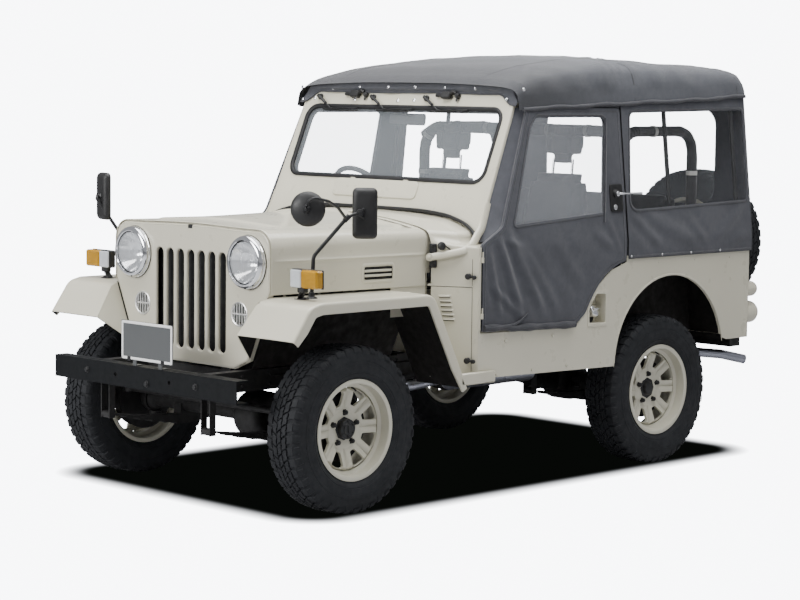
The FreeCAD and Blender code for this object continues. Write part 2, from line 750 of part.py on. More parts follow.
def knuckle(stud_play):
    """The left knuckle: a cup round the axle's ball, with the wheel's stub and the steering arm."""
    side = 1
    y = FRONT_AXLE_Y
    centre = (side * KINGPIN_X, y, AXLE_Z)
    cup = ball(centre, BALL_R + KNUCKLE_WALL).cut(ball(centre, BALL_R + FIT_GAP))
    a, b = sorted((side * (KINGPIN_X - 12), side * (KINGPIN_X - 12 - 2 * BALL_R)))
    cup = cup.cut(box(a, b, y - 2 * BALL_R, y + 2 * BALL_R, AXLE_Z - 2 * BALL_R, AXLE_Z + 2 * BALL_R))
    reach = BALL_R + KNUCKLE_WALL
    caps = [
        rod((side * KINGPIN_X, y, AXLE_Z + BALL_R + 4), (side * KINGPIN_X, y, AXLE_Z + reach + 12), 30),
        rod((side * KINGPIN_X, y, AXLE_Z - BALL_R - 4), (side * KINGPIN_X, y, AXLE_Z - reach - 8), 30),
    ]
    stub = spindle(side, KINGPIN_X + BALL_R + 3, y)
    arm_low = steering_arm_z()
    end = arm_end(side)
    across_dir = V(-(end[1] - y), end[0] - side * KINGPIN_X, 0).normalize() * (ARM_WIDTH / 2)
    outline = [
        (side * KINGPIN_X + across_dir.x, y + across_dir.y),
        (end[0] + across_dir.x, end[1] + across_dir.y),
        (end[0] - across_dir.x, end[1] - across_dir.y),
        (side * KINGPIN_X - across_dir.x, y - across_dir.y),
    ]
    arm = prism_z(outline, arm_low, arm_low + ARM_THICK)
    pad = Part.makeCylinder(ARM_WIDTH / 2 + 12, ARM_THICK, V(side * KINGPIN_X, y, arm_low))
    boss = Part.makeCylinder(ARM_WIDTH / 2, ARM_THICK, V(end[0], end[1], arm_low))
    body = joined([cup, stub, arm, pad, boss] + caps)
    hole = Part.makeCylinder(STUD_R + stud_play, ARM_THICK + 2, V(end[0], end[1], arm_low - 1))
    return body.cut(hole)


def steering_arm_z():
    """Height of the underside of the steering arms, on top of the knuckles."""
    return AXLE_Z + BALL_R + KNUCKLE_WALL + 8


def arm_end(side):
    """Where a steering arm meets the tie rod."""
    return side * KINGPIN_X, FRONT_AXLE_Y - ARM_LENGTH


def tie_rod():
    """The rod that joins the two steering arms, ahead of the axle."""
    arm_low = steering_arm_z()
    z = arm_low - ROD_END_R + 2
    left = arm_end(1)
    right = arm_end(-1)
    pieces = [rod((right[0], right[1], z), (left[0], left[1], z), TIE_ROD_R)]
    for x, y in (left, right):
        pieces.append(rod((x, y, arm_low - 1), (x, y, arm_low - 2 * ROD_END_R + 5), ROD_END_R))
        pieces.append(rod((x, y, arm_low - 2), (x, y, arm_low + ARM_THICK + 6), STUD_R))
    return joined(pieces)


def engine():
    """The engine as one plain block on two mounts that meet the rails."""
    block = box(-ENGINE_HALF_WIDTH, ENGINE_HALF_WIDTH, ENGINE_FRONT_Y, ENGINE_REAR_Y,
                ENGINE_BOTTOM, ENGINE_TOP)
    rail_inner = RAIL_OUTER_X - RAIL_WIDTH
    mounts = box(-rail_inner, rail_inner, -1010, -930, RAIL_BOTTOM + 20, RAIL_BOTTOM + 60)
    return joined([block, mounts])


def driveline():
    """Gearbox, transfer box and the two propeller shafts."""
    gearbox = prism_z([(-150, ENGINE_REAR_Y), (150, ENGINE_REAR_Y), (GEARBOX_HALF_WIDTH, -560),
                       (GEARBOX_HALF_WIDTH, TRANSFER_FRONT_Y), (-GEARBOX_HALF_WIDTH, TRANSFER_FRONT_Y),
                       (-GEARBOX_HALF_WIDTH, -560)], GEARBOX_BOTTOM, FLOOR_Z - 12)
    transfer = box(-GEARBOX_HALF_WIDTH, DIFF_X + 60, TRANSFER_FRONT_Y, TRANSFER_REAR_Y,
                   GEARBOX_BOTTOM, FLOOR_Z - 12)
    front_nose = diff_nose_y(FRONT_AXLE_Y, 1)
    rear_nose = diff_nose_y(REAR_AXLE_Y, -1)
    pieces = [gearbox, transfer]
    for y_from, y_to in ((TRANSFER_FRONT_Y, front_nose), (TRANSFER_REAR_Y, rear_nose)):
        way = 1 if y_to > y_from else -1
        start = (DIFF_X, y_from - way, PROP_Z)
        joint_1 = (DIFF_X, y_from + way * 60, PROP_Z)
        joint_2 = (DIFF_X, y_to - way * 45, AXLE_Z)
        pieces.append(rod(start, joint_1, 42))
        pieces.append(Part.makeSphere(44, V(*joint_1)))
        pieces.append(rod(joint_1, joint_2, PROP_R))
        pieces.append(Part.makeSphere(44, V(*joint_2)))
        pieces.append(rod(joint_2, (DIFF_X, y_to, AXLE_Z), 42))
    return joined(pieces)


def exhaust():
    """Front pipe, silencer beside the left rail and the tail pipe that shows behind the wheel."""
    z = 482.0
    front = [(ENGINE_HALF_WIDTH, -850.0, 640.0), (255.0, -850.0, 640.0), (275.0, -700.0, 470.0),
             (MUFFLER_X, -560.0, 462.0), (MUFFLER_X, -300.0, z)]
    axle = REAR_AXLE_Y
    rear = [(MUFFLER_X, 240.0, z), (MUFFLER_X, axle - 345.5, z), (470.0, axle - 185.5, 535.0),
            (480.0, axle + 194.5, 535.0), (540.0, axle + 414.5, 500.0), (690.0, axle + 614.5, 480.0),
            (745.0, axle + 739.5, 449.0)]
    pipe_1 = swept_tube(front, [40, 60, 80], PIPE_R)
    pipe_2 = swept_tube(rear, [90, 90, 120, 120, 120], PIPE_R)
    can = rod((MUFFLER_X, -310, z), (MUFFLER_X, 250, z), MUFFLER_R)
    strap = box(RAIL_OUTER_X, MUFFLER_X, -60, -20, z + MUFFLER_R - 14, z + MUFFLER_R)
    return joined([pipe_1, can, pipe_2, strap])


def radiator():
    """Core and tanks behind the grille, standing on the front cross member."""
    y0 = CROSS_MEMBER_YS[0] - 20
    core = box(-265, 265, y0, y0 + 56, RAIL_BOTTOM + RAIL_HEIGHT - 10, 1130)
    return core


def door_low_edge(shift):
    """The lower edge of the door opening, from its front corner to the rear post, in (y, z).

    A positive shift moves the edge down and back, which makes the opening larger.
    """
    base = [(DOOR_FRONT_Y, 733.0), (110.0, 719.0), (190.0, 736.0), (245.0, 786.0), (268.0, 832.0),
            (330.0, 905.0), (420.0, 968.0), (DOOR_REAR_Y, 1003.0)]
    moved = []
    for index, (y, z) in enumerate(base):
        slope_share = min(1.0, max(0.0, (z - 719.0) / 60.0)) if index > 1 else 0.0
        moved.append((y + shift * slope_share, z - shift * (1 - 0.35 * slope_share)))
    return moved


def tub_side():
    """The left body side with the door's opening and the wheel arch cut out."""
    low = door_low_edge(DOOR_GAP)
    front = DOOR_FRONT_Y - DOOR_GAP
    sheet = [(COWL_WIDE_Y, SILL_Z + 18), (COWL_WIDE_Y, COWL_SHELF_Z), (front, COWL_SHELF_Z),
             (front, low[0][1])]
    sheet += low[1:-1]
    sheet += [(DOOR_REAR_Y + DOOR_GAP, low[-1][1]), (DOOR_REAR_Y + DOOR_GAP, TUB_TOP_Z),
              (BODY_REAR_Y, TUB_TOP_Z - 4), (BODY_REAR_Y, 574.0), (ARCH_Y + ARCH_R + 30, 574.0),
              (ARCH_Y + ARCH_R * 0.985, 586.0), (ARCH_Y + ARCH_R, SILL_Z - 40),
              (ARCH_Y - ARCH_R, SILL_Z - 40), (ARCH_Y - ARCH_R, SILL_Z)]
    panel = prism_x(sheet, PANEL_SIDE_X - SHEET, PANEL_SIDE_X)
    arch = rod((PANEL_SIDE_X - 20, ARCH_Y, ARCH_Z), (PANEL_SIDE_X + 20, ARCH_Y, ARCH_Z), ARCH_R)
    below = box(PANEL_SIDE_X - 20, PANEL_SIDE_X + 20, ARCH_Y - ARCH_R, ARCH_Y + ARCH_R, 300, ARCH_Z)
    return panel.cut(arch).cut(below)


def grown(points, amount):
    """An outline moved outwards from its middle by about the given amount."""
    cy = sum(y for y, z in points) / len(points)
    cz = sum(z for y, z in points) / len(points)
    return [(y + math.copysign(amount, y - cy), z + math.copysign(amount, z - cz)) for y, z in points]


def filler_pocket():
    """The pressed pocket in the left side, with the fuel filler's neck at its foot."""
    x0 = PANEL_SIDE_X - FILLER_DEPTH
    pan = prism_x(grown(FILLER_OUTLINE, SHEET), x0 - SHEET, PANEL_SIDE_X - SHEET)
    pan = pan.cut(prism_x(list(FILLER_OUTLINE), x0, PANEL_SIDE_X + 1))
    neck = rod((x0 - 2, 330.0, 762.0), (x0 + 34, 338.0, 772.0), FILLER_NECK_R)
    return joined([pan, neck])


def hinge_lower(x, y, z):
    """The fixed eye of an upright hinge, with the pin that stands in it."""
    eye = rod((x, y, z), (x, y, z + HINGE_EYE), HINGE_R)
    pin = rod((x, y, z), (x, y, z + 2 * HINGE_EYE + FIT_GAP), HINGE_PIN_R)
    return joined([eye, pin])


def hinge_upper(x, y, z):
    """The moving eye, which turns on the pin above the fixed one."""
    low = z + HINGE_EYE + FIT_GAP
    eye = rod((x, y, low), (x, y, low + HINGE_EYE), HINGE_R)
    return eye.cut(rod((x, y, low - 1), (x, y, low + HINGE_EYE + 1), HINGE_PIN_R + FIT_GAP))


def door_hinges_on_body():
    """Fixed eyes at the front edge of the left door opening."""
    pieces = []
    for z in DOOR_HINGE_ZS:
        pieces.append(hinge_lower(DOOR_HINGE_X, DOOR_HINGE_Y, z))
        pieces.append(box(PANEL_SIDE_X - 1, PANEL_SIDE_X + HINGE_LEAF, DOOR_HINGE_Y - 16,
                          DOOR_HINGE_Y - HINGE_PIN_R,
                          z, z + HINGE_EYE))
        pieces.append(box(PANEL_SIDE_X, DOOR_HINGE_X, DOOR_HINGE_Y - HINGE_R, DOOR_HINGE_Y - HINGE_PIN_R, z,
                          z + HINGE_EYE))
    return pieces


def door_hinges_on_door():
    """Moving eyes on the left door's front edge."""
    pieces = []
    for z in DOOR_HINGE_ZS:
        low = z + HINGE_EYE + FIT_GAP
        leaf = box(DOOR_OUT_X - 2, DOOR_HINGE_X + HINGE_R - 1, DOOR_HINGE_Y, DOOR_HINGE_Y + 34, low,
                   low + HINGE_EYE)
        clear = rod((DOOR_HINGE_X, DOOR_HINGE_Y, low - 1), (DOOR_HINGE_X, DOOR_HINGE_Y,
                                                            low + HINGE_EYE + 1),
                    HINGE_PIN_R + FIT_GAP)
        pieces.append(leaf.cut(clear))
        pieces.append(hinge_upper(DOOR_HINGE_X, DOOR_HINGE_Y, z))
    return pieces


def gate_hinges_on_body():
    """Fixed eyes on the rear panel, beside the gate."""
    pieces = []
    for z in GATE_HINGE_ZS:
        pieces.append(hinge_lower(GATE_AXIS_X, GATE_AXIS_Y, z))
        pieces.append(box(GATE_AXIS_X - 34, GATE_AXIS_X - HINGE_PIN_R, BODY_REAR_Y - 1, GATE_AXIS_Y, z,
                          z + HINGE_EYE))
    return pieces


def gate_hinges_on_gate():
    """Moving eyes on the gate, with long leaves across it."""
    pieces = []
    for z in GATE_HINGE_ZS:
        low = z + HINGE_EYE + FIT_GAP
        leaf = box(GATE_AXIS_X, GATE_AXIS_X + 150, BODY_REAR_Y + 3, GATE_AXIS_Y, low, low + HINGE_EYE)
        clear = rod((GATE_AXIS_X, GATE_AXIS_Y, low - 1), (GATE_AXIS_X, GATE_AXIS_Y, low + HINGE_EYE + 1),
                    HINGE_PIN_R + FIT_GAP)
        pieces.append(leaf.cut(clear))
        pieces.append(hinge_upper(GATE_AXIS_X, GATE_AXIS_Y, z))
    return pieces


def hood_hinges_on_cowl():
    """Pairs of fixed barrels behind the hood's rear edge, with the pin between them."""
    pieces = []
    y = HOOD_AXIS_Y
    z = HOOD_AXIS_Z
    for x in HOOD_HINGE_XS:
        for side in (-1, 1):
            a, b = sorted((x + side * HOOD_HINGE_HALF, x + side * (HOOD_HINGE_HALF + HOOD_HINGE_LENGTH)))
            pieces.append(rod((a, y, z), (b, y, z), HOOD_HINGE_R))
            pieces.append(prism_x([(y, z), (y, z - HOOD_HINGE_R), (HOOD_REAR_Y + 4, z - 16),
                                   (HOOD_REAR_Y + 40, z - 20),
                                   (HOOD_REAR_Y + 40, z - 10)], a, b))
        pieces.append(rod((x - HOOD_HINGE_HALF - 1, y, z), (x + HOOD_HINGE_HALF + 1, y, z), HINGE_PIN_R))
    return pieces


def hood_hinges_on_hood():
    """The hood's own barrels, on the pins between the fixed ones."""
    pieces = []
    y = HOOD_AXIS_Y
    z = HOOD_AXIS_Z
    for x in HOOD_HINGE_XS:
        a = x - HOOD_HINGE_HALF + FIT_GAP
        b = x + HOOD_HINGE_HALF - FIT_GAP
        barrel = rod((a, y, z), (b, y, z), HOOD_HINGE_R)
        leaf = prism_x([(y, z), (y, z - HOOD_HINGE_R), (y - 8, z - 18), (y - 44, z - 19),
                        (y - 44, z - 10)], a, b)
        bore = rod((a - 1, y, z), (b + 1, y, z), HINGE_PIN_R + FIT_GAP)
        pieces.append(joined([barrel, leaf]).cut(bore))
    return pieces


def wheelhouse():
    """The inner box over a rear wheel, open below and outwards, standing on the floor."""
    outer_x = PANEL_SIDE_X - SHEET
    y0 = ARCH_Y - ARCH_R - 16
    y1 = ARCH_Y + ARCH_R + 16
    foot = FLOOR_Z + SHEET
    shape = [(y0, foot), (y0 + 20, WHEELHOUSE_TOP - 80), (y0 + 80, WHEELHOUSE_TOP),
             (y1 - 80, WHEELHOUSE_TOP), (y1 - 20, WHEELHOUSE_TOP - 80), (y1, foot)]
    outer = prism_x(shape, WHEELHOUSE_INNER_X, outer_x)
    t = SHEET
    hollow_shape = [(y0 + t, foot - 5), (y0 + 20 + t, WHEELHOUSE_TOP - 80 - 1.5),
                    (y0 + 80 + 2, WHEELHOUSE_TOP - t), (y1 - 80 - 2, WHEELHOUSE_TOP - t),
                    (y1 - 20 - t, WHEELHOUSE_TOP - 80 - 1.5), (y1 - t, foot - 5)]
    return outer.cut(prism_x(hollow_shape, WHEELHOUSE_INNER_X + t, outer_x + 5))


def tub_floor():
    """The floor with its toe board, cut out over the rear wheels."""
    inner_x = PANEL_SIDE_X - SHEET
    floor = box(-inner_x, inner_x, COWL_WIDE_Y, BODY_REAR_Y - SHEET, FLOOR_Z, FLOOR_Z + SHEET)
    y0 = ARCH_Y - ARCH_R - 16
    y1 = ARCH_Y + ARCH_R + 16
    for sign in (-1, 1):
        a, b = sorted((sign * (WHEELHOUSE_INNER_X + SHEET), sign * (inner_x + 5)))
        floor = floor.cut(box(a, b, y0 + SHEET, y1 - SHEET, FLOOR_Z - 5, FLOOR_Z + SHEET + 5))
    toe = prism_x([(COWL_WIDE_Y, FLOOR_Z), (COWL_WIDE_Y, FLOOR_Z + SHEET), (HOOD_REAR_Y + 20, 760.0),
                   (HOOD_REAR_Y + 16, 756.0)], -560, 560)
    return joined([floor, toe])


def side_panels():
    """Both body sides with their top rails and door hinges. The left one has the filler's pocket."""
    inner_x = PANEL_SIDE_X - SHEET
    side = tub_side()
    rail = box(inner_x - 30, inner_x, DOOR_REAR_Y + DOOR_GAP, BODY_REAR_Y - SHEET, TUB_TOP_Z - 12,
               TUB_TOP_Z - 4)
    filler_hole = prism_x(list(FILLER_OUTLINE), PANEL_SIDE_X - SHEET - 1, PANEL_SIDE_X + 1)
    fittings = [rail] + door_hinges_on_body()
    left = joined([side.cut(filler_hole), filler_pocket()] + fittings)
    right = mirrored(joined([side] + fittings))
    return Part.makeCompound([left, right])


def rear_panel():
    """The upright sheet behind the load space, with the gate's opening and the pad of the spare wheel."""
    inner_x = PANEL_SIDE_X - SHEET
    rear = box(-inner_x, inner_x, BODY_REAR_Y - SHEET, BODY_REAR_Y, 574.0, TUB_TOP_Z - 4)
    gate_cut = box(GATE_HINGE_X - GATE_GAP, GATE_FREE_X + GATE_GAP, BODY_REAR_Y - 40, BODY_REAR_Y + 40,
                   GATE_BOTTOM - GATE_GAP, TUB_TOP_Z + 40)
    pad_top = CANVAS_LOW_Z - 4 * FIT_GAP
    pad = box(SPARE_X - SPARE_PAD_HALF, SPARE_X + SPARE_PAD_HALF, BODY_REAR_Y,
              BODY_REAR_Y + SPARE_PAD_DEPTH,
              SPARE_PAD_Z, pad_top)
    return joined([rear.cut(gate_cut), pad] + gate_hinges_on_body())


def spare_bracket():
    """The post that carries the spare wheel on the left half of the rear panel."""
    y0 = BODY_REAR_Y + SPARE_PAD_DEPTH
    y1 = y0 + 6
    base = box(SPARE_X - SPARE_PAD_HALF, SPARE_X + SPARE_PAD_HALF, y0, y1, SPARE_PAD_Z,
               SPARE_Z + SPARE_PAD_HALF)
    tube = rod((SPARE_X, y1, SPARE_Z), (SPARE_X, SPARE_Y - SPARE_HUB_IN, SPARE_Z), SPARE_TUBE_R)
    return joined([base, tube])


def section_wire(points, y):
    """A closed section across the car, from the points of its left half."""
    half = [(x, y, z) for x, z in points]
    other = [(-x, y, z) for x, z in reversed(points) if x > 0.01]
    return polygon(half + other)


def hood_points(half_width, shoulder_z, corner_r, top_z, bottom_z, inset=0.0):
    """Left half of a hood section, from its lower edge round the shoulder to the middle."""
    w = half_width - inset
    r = corner_r - inset
    shoulder = shoulder_z - inset
    top = top_z - inset
    points = [(w, bottom_z)]
    for step in range(5):
        angle = math.radians(90.0 * step / 4)
        points.append((w - r + r * math.cos(angle), shoulder - r + r * math.sin(angle)))
    points.append((w * 0.66, shoulder + (top - shoulder) * 0.60))
    points.append((w * 0.33, shoulder + (top - shoulder) * 0.92))
    points.append((0.0, top))
    return points


def hood():
    """The lid over the engine. Its front edge lies round the nose panel, and it is open at both ends."""
    front_y = GRILLE_Y + HOOD_SET_BACK
    rear_y = HOOD_REAR_Y - HOOD_GAP
    around = HOOD_GAP + SHEET
    front = (GRILLE_HALF_WIDTH + around, GRILLE_SHOULDER_Z + around, GRILLE_CORNER_R + around,
             GRILLE_TOP_Z + around)
    rear = (HOOD_REAR_HALF_WIDTH, HOOD_REAR_CREASE_Z, HOOD_REAR_CORNER_R, HOOD_REAR_TOP_Z)
    outer = loft([section_wire(hood_points(*front, HOOD_SIDE_Z), front_y),
                  section_wire(hood_points(*rear, HOOD_SIDE_Z), rear_y)])
    over = 40.0
    front_in = hood_points(*front, HOOD_SIDE_Z - 30, SHEET)
    rear_in = hood_points(*rear, HOOD_SIDE_Z - 30, SHEET)
    inner = loft([section_wire(front_in, front_y), section_wire(rear_in, rear_y)])
    front_plug = Part.Face(section_wire(front_in, front_y + 0.01)).extrude(V(0, -over, 0))
    rear_plug = Part.Face(section_wire(rear_in, rear_y - 0.01)).extrude(V(0, over, 0))
    lid = outer.cut(inner).cut(front_plug).cut(rear_plug)
    return joined([lid] + hood_hinges_on_hood())


def grille_points(inset):
    """Left half of the nose panel's outline."""
    w = GRILLE_HALF_WIDTH - inset
    top = GRILLE_TOP_Z - inset
    shoulder = GRILLE_SHOULDER_Z - inset
    r = GRILLE_CORNER_R
    corner = []
    for step in range(5):
        angle = math.radians(90.0 * step / 4)
        corner.append((w - r + r * math.cos(angle), shoulder - r + r * math.sin(angle)))
    low = [(0.0, FLOOR_Z + inset), (295.0 - inset * 0.3, FLOOR_Z + inset),
           (388.0 - inset * 0.8, 640.0 + inset * 0.8),
           (w, 944.0 - inset * 0.5)]
    return low + corner + [(0.0, top)]


def grille_panel():
    """The nose panel with its upright slots, lamp holes, vents and a flange all round."""
    outer = Part.Face(section_wire_open(grille_points(0), GRILLE_Y)).extrude(V(0, GRILLE_DEPTH, 0))
    inner = Part.Face(section_wire_open(grille_points(SHEET), GRILLE_Y + SHEET)).extrude(V(0,
                                                                                           GRILLE_DEPTH, 0))
    panel = outer.cut(inner)
    y0 = GRILLE_Y - 5
    y1 = GRILLE_Y + GRILLE_DEPTH + 5
    for index in range(SLOT_COUNT):
        x = SLOT_PITCH * (index - (SLOT_COUNT - 1) / 2)
        panel = panel.cut(rounded_slot(x, SLOT_BOTTOM, SLOT_TOP, SLOT_WIDTH, y0, y1 + 20))
    for side in (-1, 1):
        panel = panel.cut(rod((side * LAMP_X, y0, LAMP_Z), (side * LAMP_X, y1, LAMP_Z), LAMP_HOLE_R))
        panel = panel.cut(rod((side * VENT_X, y0, VENT_Z), (side * VENT_X, y1, VENT_Z), VENT_R))
    open_edge = box(-GRILLE_HALF_WIDTH - 1, GRILLE_HALF_WIDTH + 1, GRILLE_Y + SHEET + 1, y1,
                    HOOD_SIDE_Z - 5,
                    GRILLE_TOP_Z + 1)
    return panel.cut(open_edge)


def section_wire_open(points, y):
    """A closed outline whose half runs from the middle low point round to the middle top point."""
    half = [(x, y, z) for x, z in points]
    other = [(-x, y, z) for x, z in reversed(points) if x > 0.01]
    return polygon(half + other)


def headlamps():
    """Ring and bowl of each head lamp, seated in the nose panel's holes."""
    glass_r = LAMP_R - LAMP_RING_WIDTH
    profile = [(-LAMP_STAND, glass_r), (-LAMP_STAND, LAMP_R - 6), (-LAMP_STAND + 8, LAMP_R),
               (0, LAMP_R), (0, LAMP_HOLE_R - FIT_GAP), (70, LAMP_HOLE_R - FIT_GAP), (95, 45), (95, 0),
               (91, 0), (91, 43), (66, glass_r), (-LAMP_STAND + 10, glass_r)]
    points = [(LAMP_X + r, GRILLE_Y + d, LAMP_Z) for d, r in profile]
    face = Part.Face(polygon(points))
    lamp = face.revolve(V(LAMP_X, 0, LAMP_Z), V(0, 1, 0), 360)
    return both_sides(lamp)


def headlamp_lenses():
    """A domed glass in front of each lamp bowl."""
    rim = LAMP_R - LAMP_RING_WIDTH - FIT_GAP
    y0 = GRILLE_Y - LAMP_STAND + 4
    points = [V(LAMP_X, y0 - 16, LAMP_Z), V(LAMP_X + rim * 0.7, y0 - 9, LAMP_Z),
              V(LAMP_X + rim, y0, LAMP_Z)]
    arc = Part.Arc(*points).toShape()
    lines = [Part.LineSegment(points[2], V(LAMP_X + rim, y0 + 5, LAMP_Z)).toShape(),
             Part.LineSegment(V(LAMP_X + rim, y0 + 5, LAMP_Z), V(LAMP_X, y0 + 5, LAMP_Z)).toShape(),
             Part.LineSegment(V(LAMP_X, y0 + 5, LAMP_Z), points[0]).toShape()]
    lens = Part.Face(Part.Wire([arc] + lines)).revolve(V(LAMP_X, 0, LAMP_Z), V(0, 1, 0), 360)
    return both_sides(lens)


def fender_line(drop):
    """The fender's side outline in (y, z), from its front tip to its rear foot."""
    return [(FENDER_NOSE_Y, 768.0 - drop), (-1504.0, 905.0 - drop), (-1440.0, FENDER_TOP_Z - drop),
            (-780.0, FENDER_TOP_Z - drop), (-562.0, 493.0)]


def fender_gusset():
    """The sheet that closes the corner between the fender's nose and the nose panel's side edge."""
    tip = V(FENDER_INNER_X - FENDER_NOSE_FLARE + 1.5, FENDER_NOSE_Y + 3, 765.0)
    bend = V(FENDER_INNER_X - 10.5, -1504.0, 902.0)
    top = V(FENDER_INNER_X + 0.5, GRILLE_Y - 1.5, FENDER_TOP_Z - 5)
    foot = V(*GUSSET_FOOT)
    halves = []
    for corners in ((tip, bend, foot), (bend, top, foot)):
        face = Part.Face(Part.makePolygon(list(corners) + [corners[0]]))
        halves.append(face.extrude(V(SHEET + 0.5, 0, 0)))
    return halves


def front_fender():
    """A flat-topped fender: its top sheet follows the side outline, with a lip along the outer edge."""
    t = SHEET
    top_line = fender_line(0)
    under = [(-1596.0, 764.0), (-1501.0, 900.0), (-1439.0, FENDER_TOP_Z - t), (-782.0, FENDER_TOP_Z - t),
             (-567.0, 493.0)]
    nose_x = FENDER_INNER_X - FENDER_NOSE_FLARE
    sheet = prism_x(top_line + list(reversed(under)), nose_x, FENDER_SIDE_X)
    trim = prism_z([(nose_x - 5, GRILLE_Y), (FENDER_INNER_X, GRILLE_Y), (FENDER_INNER_X, HOOD_REAR_Y + 60),
                    (nose_x - 5, HOOD_REAR_Y + 60)], 400, 1000)
    flare = prism_z([(nose_x - 5, FENDER_NOSE_Y - 5), (nose_x, FENDER_NOSE_Y - 5),
                     (FENDER_INNER_X, GRILLE_Y),
                     (nose_x - 5, GRILLE_Y)], 400, 1000)
    sheet = sheet.cut(trim).cut(flare)
    lip_low = [(-1545.0, 768.0), (-1502.0, 800.0), (-1440.0, 856.0), (-1395.0, FENDER_TOP_Z - FENDER_LIP),
               (-800.0, FENDER_TOP_Z - FENDER_LIP), (-600.0, 493.0)]
    lip = prism_x(top_line + list(reversed(lip_low)), FENDER_SIDE_X - t, FENDER_SIDE_X)
    apron = prism_y([(FENDER_INNER_X, FENDER_TOP_Z), (FENDER_INNER_X + t, FENDER_TOP_Z),
                     (APRON_FOOT_X + t, APRON_FOOT_Z), (APRON_FOOT_X, APRON_FOOT_Z)],
                     GRILLE_Y + GRILLE_DEPTH, HOOD_REAR_Y)
    step = box(PANEL_SIDE_X + FIT_GAP, FENDER_SIDE_X, -604.0, STEP_REAR_Y, STEP_BOTTOM, STEP_TOP)
    return joined([sheet, lip, apron, step] + fender_gusset()).cut(cowl_outer())


def cowl_outline_front(inset=0.0, low_z=SILL_Z + 18):
    """Left half of the cowl's section where it meets the hood."""
    w = HOOD_REAR_HALF_WIDTH - inset
    return [(w, low_z), (w, 1040.0), (w, 1130.0), (w - 7, HOOD_REAR_CREASE_Z - 8 - inset),
            (w * 0.78, COWL_TOP_Z - 38.0 - inset), (w * 0.5, COWL_TOP_Z - 14.0 - inset),
            (0.0, COWL_TOP_Z - inset)]


def cowl_outline_wide(inset=0.0, low_z=SILL_Z + 18):
    """Left half of the cowl's section where it is as wide as the body."""
    w = PANEL_SIDE_X - inset
    return [(w, low_z), (w, 1040.0), (w, COWL_SHELF_Z - inset),
            (COWL_SHELF_X - inset, COWL_SHELF_Z + 12.0 - inset),
            (COWL_RISER_X - inset, COWL_TOP_Z - 73.0 - inset), (518.0, COWL_TOP_Z - 23.0 - inset),
            (0.0, COWL_TOP_Z - inset)]


def cowl_outer():
    """The solid block under the cowl's outer skin."""
    front = section_wire(cowl_outline_front(), HOOD_REAR_Y)
    wide = section_wire(cowl_outline_wide(), COWL_WIDE_Y)
    return loft([front, wide])


def cowl_hollow():
    """The space inside the cowl's skin, behind its firewall."""
    front = section_wire(cowl_outline_front(SHEET, SILL_Z), HOOD_REAR_Y)
    wide = section_wire(cowl_outline_wide(SHEET, SILL_Z), COWL_WIDE_Y)
    space = loft([front, wide])
    behind = COWL_WIDE_Y - HOOD_REAR_Y
    return space.cut(box(-900, 900, HOOD_REAR_Y - behind, HOOD_REAR_Y + SHEET, SILL_Z - 50,
                         COWL_TOP_Z + 50))


def cowl_deck(inset):
    """The block under the deck behind the widest section, as wide as fits between the doors."""
    start = COWL_WIDE_Y - inset * 2
    length = COWL_REAR_Y - start + inset * 2
    block = Part.Face(section_wire(cowl_outline_wide(inset), start)).extrude(V(0, length, 0))
    side = COWL_DECK_X - inset
    low = COWL_DECK_LOW_Z - inset * 5
    return block.common(box(-side, side, start - 1, start + length + 1, low, COWL_TOP_Z + 10))


def cowl():
    """The scuttle between hood and windscreen with its side panels, firewall and dashboard."""
    shell = cowl_outer().cut(cowl_hollow())
    foot = HOOD_REAR_HALF_WIDTH - 2.5 * SHEET
    shell = shell.cut(box(-foot, foot, HOOD_REAR_Y - 10, HOOD_REAR_Y + SHEET + 2, SILL_Z, FIREWALL_LOW_Z))
    deck = cowl_deck(0).cut(cowl_deck(SHEET))
    dash = Part.Face(section_wire(dash_points(), COWL_REAR_Y)).extrude(V(0, SHEET, 0))
    whole = joined([shell, deck, dash] + hood_hinges_on_cowl())
    return whole.cut(column_axis_rod(COLUMN_R + 6))


def dash_points():
    """Left half of the dashboard's outline."""
    side = COWL_DECK_X
    corner_z = COWL_SHELF_Z + 12.0 * (PANEL_SIDE_X - side) / (PANEL_SIDE_X - COWL_SHELF_X)
    return [(side, DASH_LOW_Z), (side, corner_z), (COWL_SHELF_X, COWL_SHELF_Z + 12.0),
            (COWL_RISER_X, COWL_TOP_Z - 73.0), (518.0, COWL_TOP_Z - 23.0), (0.0, COWL_TOP_Z)]


def column_axis_rod(radius):
    """A rod on the steering column's axis, from the wheel down to the floor."""
    angle = math.radians(COLUMN_ANGLE)
    way = V(0, -math.cos(angle), -math.sin(angle))
    start = V(STEER_X, STEER_Y, STEER_Z) + way * 30
    return Part.makeCylinder(radius, 640, start, way)


def steering_wheel():
    """Rim, three spokes and hub, square to the column."""
    centre = V(0, 0, 0)
    rim = Part.makeTorus(STEER_R - STEER_RIM_R, STEER_RIM_R)
    hub = Part.makeCylinder(34, 52, V(0, 0, -40))
    spokes = []
    for angle in (90, 210, 330):
        spoke = box(20, STEER_R - STEER_RIM_R, -14, 14, -8, 2)
        spoke.rotate(centre, V(0, 0, 1), angle)
        spokes.append(spoke)
    wheel_shape = joined([rim, hub] + spokes)
    wheel_shape.rotate(centre, V(1, 0, 0), -(90 - COLUMN_ANGLE))
    wheel_shape.translate(V(STEER_X, STEER_Y, STEER_Z))
    return wheel_shape


def steering_column():
    """The tube that the steering wheel turns in."""
    angle = math.radians(COLUMN_ANGLE)
    way = V(0, -math.cos(angle), -math.sin(angle))
    start = V(STEER_X, STEER_Y, STEER_Z) + way * (40 + FIT_GAP)
    length = (STEER_Y + way.y * 40 - HOOD_REAR_Y - SHEET - 2) / math.cos(angle)
    column = Part.makeCylinder(COLUMN_R, length, start, way)
    hang = box(STEER_X - 30, STEER_X + 30, COWL_REAR_Y + SHEET, COWL_REAR_Y + SHEET + 5, 1010, 1170)
    return joined([column, hang])


